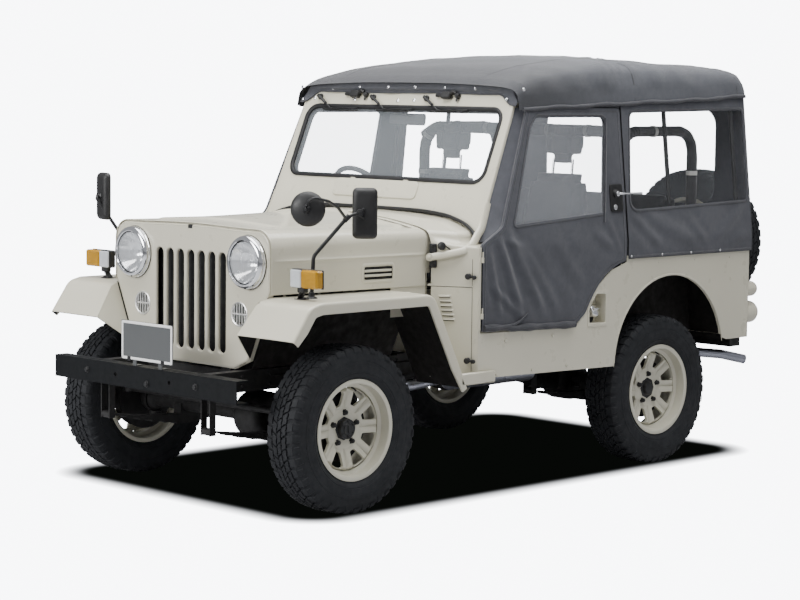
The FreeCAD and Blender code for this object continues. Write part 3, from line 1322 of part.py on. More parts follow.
def screen_point(z):
    """Y of the windscreen's front plane at a height."""
    return SCREEN_BASE_Y + (z - SCREEN_BASE_Z) * SCREEN_LEAN


def screen_slab(points, front, thick):
    """An outline in (x, z) on the windscreen's plane, given a thickness along its normal."""
    lean = math.atan(SCREEN_LEAN)
    normal = V(0, math.cos(lean), -math.sin(lean))
    corners = [V(x, screen_point(z), z) + normal * front for x, z in points]
    wire = Part.makePolygon(corners + [corners[0]])
    return Part.Face(wire).extrude(normal * thick)


def rounded_rectangle(half_width, low, high, radius, steps=5):
    """Points round a rectangle with round corners."""
    points = []
    corners = [(half_width - radius, high - radius, 0), (-half_width + radius, high - radius, 90),
               (-half_width + radius, low + radius, 180), (half_width - radius, low + radius, 270)]
    for cx, cz, start in corners:
        for step in range(steps + 1):
            angle = math.radians(start + 90.0 * step / steps)
            points.append((cx + radius * math.cos(angle), cz + radius * math.sin(angle)))
    return points


def windscreen_frame():
    """The sheet frame round the windscreen, cut to stand on the cowl."""
    outline = [(-SCREEN_LOW_HALF, SCREEN_FOOT_Z), (SCREEN_LOW_HALF, SCREEN_FOOT_Z),
               (SCREEN_TOP_HALF, SCREEN_TOP_Z),
               (-SCREEN_TOP_HALF, SCREEN_TOP_Z)]
    slab = screen_slab(outline, 0, SCREEN_THICK)
    hole = screen_slab(rounded_rectangle(OPENING_HALF, OPENING_LOW_Z, OPENING_TOP_Z, OPENING_CORNER_R),
                       -5, SCREEN_THICK + 10)
    frame = slab.cut(hole)
    deck = Part.Face(section_wire(cowl_outline_wide(), COWL_WIDE_Y - 60)).extrude(
        V(0, COWL_REAR_Y - COWL_WIDE_Y + 160, 0))
    return frame.cut(deck)


def windscreen_glass():
    """One flat pane in the frame's opening."""
    gap = FIT_GAP
    points = rounded_rectangle(OPENING_HALF - gap, OPENING_LOW_Z + gap, OPENING_TOP_Z - gap,
                               OPENING_CORNER_R)
    return screen_slab(points, SCREEN_THICK / 2 - GLASS_THICK / 2, GLASS_THICK)


def side_skin(outer_low, outer_hem, thick, inner_shift=0.0):
    """A leaning side wall as a prism along the car, from below the doors up to the hem."""
    lean_from = 1100.0
    top = DOOR_TOP_Z + 90
    share = (top - lean_from) / (HEM_FRONT_Z - lean_from)
    x_top = outer_low + (outer_hem - outer_low) * share
    points = [(outer_low - inner_shift, 600.0), (outer_low - inner_shift, lean_from),
              (x_top - inner_shift, top),
              (x_top - inner_shift - thick, top), (outer_low - inner_shift - thick, lean_from),
              (outer_low - inner_shift - thick, 600.0)]
    return prism_y(points, -700, 1700)


def door_outline():
    """The door seen from the side, in (y, z)."""
    low = door_low_edge(0)
    screen_gap = 10.0
    back = SCREEN_THICK / math.cos(math.atan(SCREEN_LEAN)) + screen_gap
    return low[:-1] + [(DOOR_REAR_Y, low[-1][1]), (DOOR_REAR_Y, DOOR_TOP_Z),
                       (screen_point(DOOR_TOP_Z) + back, DOOR_TOP_Z), (screen_point(1190.0) + back, 1190.0),
                       (DOOR_FRONT_Y, 1120.0)]


def door_window_outline(grow=0.0):
    """The clear window of the door, in (y, z)."""
    return [(-242.0 - grow, 1198.0 - grow), (375.0 + grow, 1236.0 - grow),
            (425.0 + grow, DOOR_TOP_Z - 42.0 + grow),
            (-57.0 - grow, DOOR_TOP_Z - 42.0 + grow), (-98.0 - grow, DOOR_TOP_Z - 90.0 + grow)]


def door_left():
    """The canvas door on its frame, with its window cut out."""
    body = prism_x(door_outline(), 650, 900).common(side_skin(DOOR_OUT_X, CANVAS_HEM_X + 1, DOOR_THICK))
    return joined([body.cut(prism_x(door_window_outline(), 600, 900))] + door_hinges_on_door())


def door_window_left():
    """The clear sheet sewn into the door."""
    skin = side_skin(DOOR_OUT_X, CANVAS_HEM_X + 1, 3.0, DOOR_THICK / 2)
    return prism_x(door_window_outline(-0.5), 600, 900).common(skin)


def canvas_points(hem_z, top_z, inset=0.0, low_z=None):
    """Left half of a section through the soft top."""
    low = CANVAS_LOW_Z if low_z is None else low_z
    return [
        (CANVAS_LOW_X - inset, low),
        (CANVAS_LOW_X - inset, 1100.0),
        (CANVAS_HEM_X - inset, hem_z),
        (CANVAS_HEM_X - 14 - inset, hem_z + (top_z - hem_z) * 0.45),
        (CANVAS_HEM_X - 58 - inset * 0.6, hem_z + (top_z - hem_z) * 0.74 - inset * 0.6),
        (560.0, hem_z + (top_z - hem_z) * 0.88 - inset),
        (280.0, hem_z + (top_z - hem_z) * 0.98 - inset),
        (0.0, top_z - inset),
    ]


def top_stations():
    """The soft top's height along the car: (y, hem height, middle height)."""
    stations = []
    for y, hem_rise, rise in TOP_RISES:
        stations.append((y, HEM_FRONT_Z + hem_rise, HEM_FRONT_Z + rise))
    return stations


def soft_top():
    """The fitted canvas: roof, quarter panels and rear curtain, with openings for doors and windows."""
    stations = top_stations()
    outer = loft([section_wire(canvas_points(hem, top), y) for y, hem, top in stations])
    inner_list = []
    for index, (y, hem, top) in enumerate(stations):
        if index == 0:
            y = y - 4
        if index == len(stations) - 1:
            y = y - CANVAS
        inner_list.append(section_wire(canvas_points(hem - 1, top, CANVAS, 960.0), y))
    inner = loft(inner_list)
    shell = outer.cut(inner)
    door_hole = prism_x([(-600, 900), (DOOR_REAR_Y + 10, 900), (DOOR_REAR_Y + 10, DOOR_TOP_Z + 9),
                         (screen_point(DOOR_TOP_Z) + 40, DOOR_TOP_Z + 9),
                         (screen_point(DOOR_TOP_Z) - 120, DOOR_TOP_Z + 9),
                         (-600, DOOR_TOP_Z + 9)], -900, 900)
    shell = shell.cut(door_hole)
    windows = prism_x(quarter_window_outline(), -900, 900)
    shell = shell.cut(windows)
    return shell.cut(prism_y(back_window_outline(0), BODY_REAR_Y - 60, BODY_REAR_Y + 60))


def back_window_outline(inset):
    """The clear window of the rear curtain, in (x, z)."""
    return rounded_rectangle(BACK_WINDOW_X - inset, BACK_WINDOW_LOW + inset, BACK_WINDOW_TOP - inset,
                             BACK_WINDOW_R - inset)


def quarter_window_outline(grow=0.0):
    """The clear window behind the door, in (y, z)."""
    front = DOOR_REAR_Y + 65.5
    rear = BODY_REAR_Y - 36.5
    return [(front + 1.5 - grow, 1243.0 - grow), (rear - 2.0 + grow, 1267.0 - grow),
            (rear + 2.0 + grow, HEM_FRONT_Z - 23.0 + grow), (front - 1.5 - grow, HEM_FRONT_Z - 33.0 + grow)]


def top_windows():
    """The clear sheets of both quarter panels and of the rear curtain."""
    skin = side_skin(CANVAS_LOW_X, CANVAS_HEM_X, 2.0, 2.0)
    side = prism_x(quarter_window_outline(-0.5), 600, 900).common(skin)
    rear_y = BODY_REAR_Y + 10
    rear = prism_y(back_window_outline(0.5), rear_y, rear_y + 2)
    return Part.makeCompound([side, mirrored(side), rear])


def roll_bar():
    """A padded hoop behind the front seats with a stay down to each rear corner."""
    x = HOOP_X
    top = HOOP_TOP_Z
    foot = WHEELHOUSE_TOP
    hoop = swept_tube([(x, HOOP_Y, foot), (x, HOOP_Y, top), (-x, HOOP_Y, top), (-x, HOOP_Y, foot)],
                      [HOOP_BEND_R, HOOP_BEND_R], HOOP_R)
    stay_top = top - HOOP_BEND_R * 0.3
    stay = swept_tube([(x, HOOP_Y, stay_top), (x, HOOP_Y + 90, top), (x, STAY_Y, top), (x, STAY_Y, foot)],
                      [90, HOOP_BEND_R + 30], HOOP_R - 2)
    return joined([hoop, stay, mirrored(stay)])


def top_bows():
    """Two thin bows that stand on the tub's rails and hold the canvas up."""
    bows = []
    for y, hem_rise, rise in ((REAR_AXLE_Y + 74.5, 41.0, 233.0), (BODY_REAR_Y - 70.5, 59.0, 195.0)):
        hem = HEM_FRONT_Z + hem_rise
        top = HEM_FRONT_Z + rise
        corner_z = hem + (top - hem) * 0.36
        ridge_z = hem + (top - hem) * 0.76 - BOW_R
        low_x = PANEL_SIDE_X - 22
        high_x = CANVAS_HEM_X - 42
        half = [(low_x, y, TUB_TOP_Z - 4), (low_x, y, 1110), (high_x, y, corner_z), (540, y, ridge_z)]
        path = half + [(-x, y, z) for x, y, z in reversed(half)]
        bows.append(swept_tube(path, [200, 70, 200, 200, 70, 200], BOW_R))
    return Part.makeCompound(bows)


def front_seat():
    """A bucket seat: cushion on its frame, leaning back and headrest on two posts."""
    y0 = SEAT_FRONT_Y
    y1 = SEAT_FRONT_Y + SEAT_DEPTH
    low = SEAT_TOP_Z - CUSHION_THICK
    cushion = box(SEAT_X - SEAT_HALF_WIDTH, SEAT_X + SEAT_HALF_WIDTH, y0, y1, low, SEAT_TOP_Z)
    base = box(SEAT_X - SEAT_HALF_WIDTH + 45, SEAT_X + SEAT_HALF_WIDTH - 45, y0 + 40, y1 - 20,
               FLOOR_Z + SHEET, low)
    lean = 75.0
    back = prism_x([(y1 - BACK_THICK - 20, SEAT_TOP_Z), (y1, SEAT_TOP_Z), (y1 + lean, BACK_TOP_Z),
                    (y1 + lean - BACK_THICK + 20, BACK_TOP_Z)], SEAT_X - SEAT_HALF_WIDTH,
                   SEAT_X + SEAT_HALF_WIDTH)
    rest_y = y1 + lean - BACK_THICK / 2 + 10
    rest_z = BACK_TOP_Z + 22
    rest = box(SEAT_X - HEADREST_HALF_WIDTH, SEAT_X + HEADREST_HALF_WIDTH, rest_y - 34, rest_y + 34,
               rest_z, rest_z + HEADREST_HEIGHT)
    posts = [rod((SEAT_X + dx, rest_y, BACK_TOP_Z - 30), (SEAT_X + dx, rest_y, rest_z + 30),
                 7) for dx in (-60, 60)]
    return joined([cushion, base, back, rest] + posts)


def rear_bench():
    """The bench between the wheel houses."""
    y0 = BENCH_FRONT_Y
    y1 = BENCH_FRONT_Y + BENCH_DEPTH
    w = BENCH_HALF_WIDTH
    low = SEAT_TOP_Z - CUSHION_THICK + 20
    cushion = box(-w, w, y0, y1, low, SEAT_TOP_Z)
    base = box(-w + 40, w - 40, y0 + 30, y1 - 30, FLOOR_Z + SHEET, low)
    back = prism_x([(y1 - 60, SEAT_TOP_Z), (y1, SEAT_TOP_Z), (y1 + 40, 1300), (y1 - 20, 1300)], -w, w)
    return joined([cushion, base, back])


def mirror_back(place, turn, depth):
    """The point a depth behind a mirror's glass, for a head turned about the upright."""
    angle = math.radians(turn)
    return (place[0] + depth * math.sin(angle), place[1] - depth * math.cos(angle), place[2])


def mirror_head(x, y, z, turn):
    """An upright mirror: its glass faces the rear and its back is rounded off."""
    half_width = MIRROR_HALF_WIDTH
    half_height = MIRROR_HALF_HEIGHT
    sections = []
    for offset, shrink in ((0.0, 5.0), (6.0, 0.0), (18.0, 0.0), (28.0, 7.0), (34.0, 20.0)):
        points = rounded_rectangle(half_width - shrink, -half_height + shrink, half_height - shrink,
                                   MIRROR_CORNER_R)
        sections.append(polygon([(x + px, y - offset, z + pz) for px, pz in points]))
    head = loft(sections)
    head.rotate(V(x, y, z), V(0, 0, 1), turn)
    return head


def round_mirror(x, y, z, turn):
    """A round mirror with a domed back."""
    r = ROUND_MIRROR_R
    profile = [(0.0, 0.0), (r - 4, 0.0), (r, -6.0), (r - 4, -16.0), (r * 0.8, -27.0), (r * 0.45, -36.0),
               (0.0, -40.0)]
    face = Part.Face(polygon([(x + out, y + along, z) for out, along in profile]))
    head = face.revolve(V(x, y, z), V(0, 1, 0), 360)
    head.rotate(V(x, y, z), V(0, 0, 1), turn)
    return head


def mirror_foot(side):
    """The round foot of a mirror's arm on the fender."""
    x = side * MIRROR_FOOT_X
    return rod((x, MIRROR_FOOT_Y, FENDER_TOP_Z), (x, MIRROR_FOOT_Y, FENDER_TOP_Z + 8), 26)


def arm_through(points, radius):
    """A bent round arm, with a ball at each bend."""
    pieces = [rod(a, b, radius) for a, b in zip(points, points[1:])]
    pieces += [Part.makeSphere(radius, V(*p)) for p in points[1:-1]]
    return pieces


def mirrors_left():
    """A forked arm on the fender with an upright mirror and a round one."""
    foot = (MIRROR_FOOT_X, MIRROR_FOOT_Y, FENDER_TOP_Z + 4)
    fork = (722.0, -1202.0, 1260.0)
    head = (730.0, -1104.0, 1276.0)
    small = (701.0, -1405.0, 1302.0)
    behind_small = mirror_back(small, LEFT_MIRROR_TURN, 34)
    over_small = mirror_back((712.0, -1410.0, 1350.0), LEFT_MIRROR_TURN, 45)
    pieces = arm_through([foot, (665.0, -1340.0, 1099.0), fork, mirror_back(head, LEFT_MIRROR_TURN, 30)], 8)
    pieces += arm_through([fork, (712.0, -1325.0, 1338.0), over_small, behind_small], 6)
    pieces += [mirror_head(*head, LEFT_MIRROR_TURN), round_mirror(*small, LEFT_MIRROR_TURN), mirror_foot(1)]
    return joined(pieces)


def mirror_right():
    """One upright mirror on a single arm."""
    foot = (-MIRROR_FOOT_X, MIRROR_FOOT_Y, FENDER_TOP_Z + 4)
    head = (-711.0, -1374.0, 1295.0)
    behind = mirror_back(head, RIGHT_MIRROR_TURN, 30)
    pieces = arm_through([foot, (-640.0, -1345.0, 1120.0), (-712.0, -1432.0, 1290.0), behind], 8)
    pieces += [mirror_head(*head, RIGHT_MIRROR_TURN), mirror_foot(-1)]
    return joined(pieces)


def turn_signals():
    """A lamp that wraps round to the side, on a bracket on each front fender."""
    z = TURN_LAMP_Z
    lamp = box(TURN_LAMP_X, TURN_LAMP_X + TURN_LAMP_WIDTH, TURN_LAMP_Y, TURN_LAMP_Y + TURN_LAMP_DEPTH,
               z, z + TURN_LAMP_HEIGHT)
    foot = box(TURN_LAMP_X + 22, TURN_LAMP_X + 72, TURN_LAMP_Y + 10, TURN_LAMP_Y + TURN_LAMP_DEPTH,
               FENDER_TOP_Z, z + 2)
    return both_sides(joined([lamp, foot]))


def tail_lamps():
    """Two deep round lamps one above the other at each rear corner."""
    pieces = []
    for x, z, radius, depth in ((766.0, 812.0, 38.0, 99.0), (752.0, 693.0, 55.0, 112.0)):
        drum = rod((x, BODY_REAR_Y, z), (x, BODY_REAR_Y + depth, z), radius)
        rim = [e for e in drum.Edges if abs(e.CenterOfMass.y - BODY_REAR_Y - depth) < 1 and e.Length > radius]
        pieces.append(drum.makeFillet(radius * 0.35, rim))
    lamps = Part.makeCompound(pieces)
    return Part.makeCompound([lamps, mirrored(lamps)])


def tailgate():
    """The narrow side-hung gate on the right half of the rear panel."""
    y0 = BODY_REAR_Y - GATE_THICK + 4
    y1 = BODY_REAR_Y + 4
    panel = box(GATE_HINGE_X, GATE_FREE_X, y0, y1, GATE_BOTTOM, GATE_TOP)
    hollow = box(GATE_HINGE_X + SHEET, GATE_FREE_X - SHEET, y0 - 1, y1 - SHEET, GATE_BOTTOM + SHEET,
                 GATE_TOP - SHEET)
    return joined([panel.cut(hollow)] + gate_hinges_on_gate())


def main():
    os.makedirs("parts", exist_ok=True)
    save("chassis_frame", chassis_frame())
    save("front_bumper", front_bumper())
    save("number_plate", number_plate())
    save("front_axle", front_axle())
    save("rear_axle", rear_axle())
    springs = [leaf_spring(y) for y in (FRONT_AXLE_Y, REAR_AXLE_Y)]
    save("leaf_springs", Part.makeCompound(springs + [mirrored(s) for s in springs]))
    shocks = [shock_absorber(y) for y in (FRONT_AXLE_Y, REAR_AXLE_Y)]
    save("shock_absorbers", Part.makeCompound(shocks + [mirrored(s) for s in shocks]))
    save("knuckle_left", knuckle(FIT_GAP))
    save("knuckle_right", mirrored(knuckle(OPEN_PIVOT_PLAY)))
    save("tie_rod", tie_rod())
    corners = (("front_left", 1, FRONT_AXLE_Y, FRONT_HUB_OUT),
               ("front_right", -1, FRONT_AXLE_Y, FRONT_HUB_OUT),
               ("rear_left", 1, REAR_AXLE_Y, REAR_HUB_OUT), ("rear_right", -1, REAR_AXLE_Y, REAR_HUB_OUT))
    for name, side, y, hub_out in corners:
        save("wheel_" + name, wheel(side, side * WHEEL_X, y, AXLE_Z, hub_out))
        save("tyre_" + name, tyre(side, side * WHEEL_X, y, AXLE_Z))
    spare = across(wheel(1, 0, 0, 0, REAR_HUB_OUT, with_drum=False))
    spare.translate(V(SPARE_X, SPARE_Y, SPARE_Z))
    save("spare_wheel", spare)
    spare_tyre = across(tyre(1, 0, 0, 0))
    spare_tyre.translate(V(SPARE_X, SPARE_Y, SPARE_Z))
    save("spare_tyre", spare_tyre)
    save("spare_bracket", spare_bracket())
    save("engine", engine())
    save("driveline", driveline())
    save("exhaust", exhaust())
    save("radiator", radiator())
    save("tub_floor", tub_floor())
    save("side_panels", side_panels())
    save("wheel_houses", both_sides(wheelhouse()))
    save("rear_panel", rear_panel())
    save("cowl", cowl())
    save("hood", hood())
    save("grille", grille_panel())
    save("headlamps", headlamps())
    save("headlamp_lenses", headlamp_lenses())
    save("front_fenders", both_sides(front_fender()))
    save("windscreen_frame", windscreen_frame())
    save("windscreen_glass", windscreen_glass())
    save("steering_column", steering_column())
    save("steering_wheel", steering_wheel())
    save("door_left", door_left())
    save("door_right", mirrored(door_left()))
    save("door_window_left", door_window_left())
    save("door_window_right", mirrored(door_window_left()))
    save("soft_top", soft_top())
    save("top_windows", top_windows())
    save("roll_bar", roll_bar())
    save("top_bows", top_bows())
    save("seats", Part.makeCompound([both_sides(front_seat()), rear_bench()]))
    save("mirrors", Part.makeCompound([mirrors_left(), mirror_right()]))
    save("turn_signals", turn_signals())
    save("tail_lamps", tail_lamps())
    save("tailgate", tailgate())


main()
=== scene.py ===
"""Looks of a light 4x4 field car with a soft top, built around its construction model.

Metres, in the construction model's frame: X runs to the car's left, Y to its rear and Z up.
"""
import math

import bmesh
import bpy
import numpy as np
from mathutils import Matrix, Vector
from mathutils.geometry import delaunay_2d_cdt


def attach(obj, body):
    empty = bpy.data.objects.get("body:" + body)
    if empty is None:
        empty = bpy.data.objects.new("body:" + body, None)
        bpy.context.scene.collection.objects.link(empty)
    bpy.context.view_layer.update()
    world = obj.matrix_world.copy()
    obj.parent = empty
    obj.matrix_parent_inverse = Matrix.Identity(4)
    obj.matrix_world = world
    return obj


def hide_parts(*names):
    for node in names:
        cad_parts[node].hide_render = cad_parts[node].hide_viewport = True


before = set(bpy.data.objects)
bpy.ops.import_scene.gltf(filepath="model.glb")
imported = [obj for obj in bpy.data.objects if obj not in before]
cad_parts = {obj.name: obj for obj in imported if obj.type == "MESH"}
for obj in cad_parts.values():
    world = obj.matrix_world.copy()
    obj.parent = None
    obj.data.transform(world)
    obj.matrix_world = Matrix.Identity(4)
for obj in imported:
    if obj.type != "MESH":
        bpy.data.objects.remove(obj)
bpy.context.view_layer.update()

# Where the photograph was taken from
IMAGE_WIDTH = 800
CAMERA_PLACE = (7.7035, -7.8001, 1.8212)
CAMERA_YAW = math.radians(45.262)
CAMERA_PITCH = math.radians(5.397)
CAMERA_ROLL = math.radians(0.641)
FOCAL_PIXELS = 2279.63
SENSOR_WIDTH = 36.0

# Sizes shared with the construction model
FRONT_AXLE_Y = -1.2045
REAR_AXLE_Y = 0.8255
WHEEL_X = 0.705
AXLE_Z = 0.362
TYRE_R = 0.362
PANEL_X = 0.810
FENDER_X = 0.832
BODY_REAR_Y = 1.5005
GRILLE_Y = -1.4605
HOOD_REAR_Y = -0.597
COWL_WIDE_Y = -0.480
COWL_REAR_Y = -0.340
SCREEN_BASE_Y = -0.3045
SCREEN_BASE_Z = 1.373
SCREEN_LEAN = 0.3977
SPARE = (0.371, 1.6305, 1.041)

# The car's two sides, as the sign of X and a name
SIDES = ((1, "left"), (-1, "right"))


def mesh_of(points, faces):
    """A mesh from points and faces."""
    mesh = bpy.data.meshes.new("mesh")
    mesh.from_pydata([tuple(p) for p in points], [], [tuple(int(i) for i in f) for f in faces])
    return mesh


def soften(mesh, angle=35.0):
    """Smooth shading that keeps edges sharper than the angle."""
    mesh.shade_smooth()
    mesh.set_sharp_from_angle(angle=math.radians(angle))


def outward(mesh):
    """Turn every face of a closed mesh outwards and drop doubled points."""
    bm = bmesh.new()
    bm.from_mesh(mesh)
    bmesh.ops.remove_doubles(bm, verts=bm.verts, dist=1e-5)
    bmesh.ops.dissolve_degenerate(bm, edges=bm.edges, dist=1e-6)
    bmesh.ops.recalc_face_normals(bm, faces=bm.faces)
    bm.to_mesh(mesh)
    bm.free()


def piece(name, shape, material, body="chassis", angle=35.0, closed=True, replaces=()):
    """A named piece of the car from (points, faces), with its finish, riding on a body."""
    mesh = shape if isinstance(shape, bpy.types.Mesh) else mesh_of(*shape)
    if closed:
        outward(mesh)
    soften(mesh, angle)
    mesh.materials.clear()
    mesh.materials.append(material)
    item = bpy.data.objects.new(name, mesh)
    bpy.context.scene.collection.objects.link(item)
    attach(item, body)
    if replaces:
        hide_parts(*([replaces] if isinstance(replaces, str) else replaces))
    return item


def merge(*shapes):
    """Several (points, faces) as one."""
    points = []
    faces = []
    for part_points, part_faces in shapes:
        start = len(points)
        points.extend(tuple(p) for p in part_points)
        faces.extend(tuple(i + start for i in f) for f in part_faces)
    return points, faces


def moved(shape, matrix):
    """A shape under a matrix."""
    return [tuple(matrix @ Vector(p)) for p in shape[0]], shape[1]


def shifted(shape, x=0.0, y=0.0, z=0.0):
    """A shape moved along the axes."""
    return moved(shape, Matrix.Translation((x, y, z)))


def reversed_faces(shape):
    """A shape whose faces look the other way."""
    return shape[0], [tuple(reversed(f)) for f in shape[1]]


def flipped(shape):
    """The other side's twin of a shape."""
    return reversed_faces(([(-p[0], p[1], p[2]) for p in shape[0]], shape[1]))


def mirrored_row(half):
    """A row of points from the left edge to the middle, carried on to the right edge."""
    return half + [(-p[0], *p[1:]) for p in reversed(half[:-1])]


def both(shape):
    """A shape together with its twin on the other side of the car."""
    return merge(shape, flipped(shape))


def block(x0, x1, y0, y1, z0, z1, soft=0.002):
    """A box whose edges are cut by a small chamfer."""
    x0, x1 = sorted((x0, x1))
    y0, y1 = sorted((y0, y1))
    z0, z1 = sorted((z0, z1))
    s = min(soft, (x1 - x0) / 3, (y1 - y0) / 3, (z1 - z0) / 3)
    levels = []
    for z, i in ((z0, s), (z0 + s, 0.0), (z1 - s, 0.0), (z1, s)):
        levels.append([(x0 + s, y0 + i, z), (x1 - s, y0 + i, z), (x1 - i, y0 + s, z), (x1 - i, y1 - s, z),
                       (x1 - s, y1 - i, z), (x0 + s, y1 - i, z), (x0 + i, y1 - s, z), (x0 + i, y0 + s, z)])
    return rings(levels, caps=True)


def rings(sections, caps=False, loop=True):
    """Faces between rows of points. Each row is a closed ring, or an open line if loop is False."""
    count = len(sections[0])
    points = [tuple(p) for row in sections for p in row]
    faces = []
    last = count if loop else count - 1
    for row in range(len(sections) - 1):
        for i in range(last):
            a = row * count + i
            b = row * count + (i + 1) % count
            faces.append((a, b, b + count, a + count))
    if caps:
        faces.append(tuple(reversed(range(count))))
        faces.append(tuple(range((len(sections) - 1) * count, len(sections) * count)))
    return points, faces


def turned(profile, steps=48, closed=False):
    """A profile of (along, radius) turned about the X axis."""
    rows = []
    for along, radius in profile:
        row = []
        for i in range(steps):
            angle = 2 * math.pi * i / steps
            row.append((along, radius * math.cos(angle), radius * math.sin(angle)))
        rows.append(row)
    if closed:
        rows.append(rows[0])
    return rings(rows)


def frame_along(way):
    """A turn that brings +X onto a direction."""
    way = Vector(way).normalized()
    helper = Vector((0, 0, 1)) if abs(way.z) < 0.9 else Vector((0, 1, 0))
    side = helper.cross(way).normalized()
    up = way.cross(side)
    return Matrix((way, side, up)).transposed().to_4x4()


def disc_on(start, way, profile, steps=32):
    """A turned profile that starts at a point and runs along a direction."""
    return moved(turned(profile, steps), Matrix.Translation(start) @ frame_along(way))


def bolt(start, way, across=0.014, height=0.007, washer=True):
    """A hexagon head on a washer."""
    r = across / 2 / math.cos(math.pi / 6)
    head = turned([(0.0, 0.0), (0.0, r), (height * 0.8, r), (height, r * 0.86), (height, 0.0)], 6)
    shapes = [head]
    if washer:
        shapes.append(turned([(0.0, 0.0), (0.0, r * 1.35), (height * 0.22, r * 1.3), (height * 0.22, 0.0)],
                             16))
    return moved(merge(*shapes), Matrix.Translation(start) @ frame_along(way))


def smooth_line(points, steps=6):
    """Points along a smooth curve through the given ones."""
    pts = [Vector(p) for p in points]
    out = []
    for i in range(len(pts) - 1):
        p0 = pts[i - 1] if i else pts[i] * 2 - pts[i + 1]
        p1 = pts[i]
        p2 = pts[i + 1]
        p3 = pts[i + 2] if i + 2 < len(pts) else pts[i + 1] * 2 - pts[i]
        for s in range(steps):
            t = s / steps
            out.append(0.5 * ((2 * p1) + (p2 - p0) * t + (2 * p0 - 5 * p1 + 4 * p2 - p3) * t * t
                              + (3 * p1 - p0 - 3 * p2 + p3) * t ** 3))
    out.append(pts[-1])
    return out


def bent_line(points, radius, steps=5):
    """A path with an arc of the given radius at each inner point."""
    pts = [Vector(p) for p in points]
    out = [pts[0]]
    for i in range(1, len(pts) - 1):
        before = (pts[i - 1] - pts[i])
        after = (pts[i + 1] - pts[i])
        room = min(before.length, after.length) * 0.49
        angle = before.angle(after)
        reach = min(room, radius / max(math.tan(angle / 2), 1e-3))
        a = pts[i] + before.normalized() * reach
        b = pts[i] + after.normalized() * reach
        for s in range(steps + 1):
            t = s / steps
            out.append(a * (1 - t) ** 2 + pts[i] * 2 * t * (1 - t) + b * t * t)
    out.append(pts[-1])
    return out


def tube(path, radius, sides=12, flat=1.0, caps=True, up=(0, 0, 1)):
    """A round or flattened tube along a path. radius may be a function of the share along it."""
    pts = [Vector(p) for p in path]
    sections = []
    normal = None
    for i, p in enumerate(pts):
        way = (pts[min(i + 1, len(pts) - 1)] - pts[max(i - 1, 0)]).normalized()
        if normal is None:
            helper = Vector(up) if abs(way.dot(Vector(up))) < 0.95 else Vector((1, 0, 0))
            normal = (helper - way * helper.dot(way)).normalized()
        else:
            normal = (normal - way * normal.dot(way)).normalized()
        side = way.cross(normal)
        r = radius(i / (len(pts) - 1)) if callable(radius) else radius
        row = []
        for k in range(sides):
            angle = 2 * math.pi * k / sides
            row.append(p + side * (r * math.cos(angle)) + normal * (r * flat * math.sin(angle)))
        sections.append(row)
    return rings(sections, caps=caps)


def rounded(points, radius, steps=4):
    """A closed 2D outline with each corner replaced by an arc. radius may be a list."""
    out = []
    count = len(points)
    for i in range(count):
        r = radius[i] if isinstance(radius, (list, tuple)) else radius
        p = Vector(points[i])
        before = Vector(points[i - 1]) - p
        after = Vector(points[(i + 1) % count]) - p
        if r <= 0:
            out.append(tuple(p))
            continue
        angle = before.angle(after)
        reach = min(r / math.tan(angle / 2), before.length * 0.48, after.length * 0.48)
        a = p + before.normalized() * reach
        b = p + after.normalized() * reach
        for s in range(steps + 1):
            t = s / steps
            out.append(tuple(a * (1 - t) ** 2 + p * 2 * t * (1 - t) + b * t * t))
    return out


def plate(loops, thick, edge=0.0015, segments=2):
    """A flat plate in XY from 2D outlines, the first outside and the rest holes, with soft edges.

    It lies between z = -thick and z = 0.
    """
    curve = bpy.data.curves.new("outline", "CURVE")
    curve.dimensions = "2D"
    curve.fill_mode = "BOTH"
    for loop in loops:
        spline = curve.splines.new("POLY")
        spline.points.add(len(loop) - 1)
        for point, at in zip(spline.points, loop):
            point.co = (at[0], at[1], 0.0, 1.0)
        spline.use_cyclic_u = True
    edge = min(edge, thick * 0.45)
    curve.extrude = thick / 2 - edge
    curve.bevel_depth = edge
    curve.bevel_resolution = segments
    curve.offset = -edge
    holder = bpy.data.objects.new("outline", curve)
    bpy.context.scene.collection.objects.link(holder)
    bpy.context.view_layer.update()
    mesh = bpy.data.meshes.new_from_object(holder.evaluated_get(bpy.context.evaluated_depsgraph_get()))
    bpy.data.objects.remove(holder)
    bpy.data.curves.remove(curve)
    points = [(v.co.x, v.co.y, v.co.z - thick / 2) for v in mesh.vertices]
    faces = [tuple(f.vertices) for f in mesh.polygons]
    bpy.data.meshes.remove(mesh)
    return points, faces


def facing_y(y):
    """Brings a plate's (x, y) onto (X, Z) of the car, with its face towards the front at y."""
    return Matrix(((1, 0, 0, 0), (0, 0, -1, y), (0, 1, 0, 0), (0, 0, 0, 1)))


def facing_x(x):
    """Brings a plate's (x, y) onto (Y, Z) of the car, with its face towards the left at x."""
    return Matrix(((0, 0, 1, x), (1, 0, 0, 0), (0, 1, 0, 0), (0, 0, 0, 1)))


def spread(a, b, count, *through):
    """Sorted numbers from a to b, with the given ones among them."""
    values = set(np.linspace(a, b, count).round(5)) | set(through)
    return sorted(v for v in values if min(a, b) <= v <= max(a, b))


def sheet_of(rows, thick=0.0):
    """A curved sheet from rows of points, with its back face thick behind it along its normals."""
    shape = rings(rows, loop=False)
    if not thick:
        return shape
    mesh = mesh_of(*shape)
    points = [v.co.copy() for v in mesh.vertices]
    normals = [v.normal.copy() for v in mesh.vertices]
    bpy.data.meshes.remove(mesh)
    count = len(points)
    across = len(rows[0])
    down = len(rows)
    back = [p - n * thick for p, n in zip(points, normals)]
    faces = list(shape[1]) + [tuple(i + count for i in reversed(f)) for f in shape[1]]
    rim = [i for i in range(across)]
    rim += [(r + 1) * across - 1 for r in range(1, down)]
    rim += [down * across - 1 - i for i in range(1, across)]
    rim += [(down - 1 - r) * across for r in range(1, down - 1)]
    for i, a in enumerate(rim):
        b = rim[(i + 1) % len(rim)]
        faces.append((b, a, a + count, b + count))
    return points + back, faces


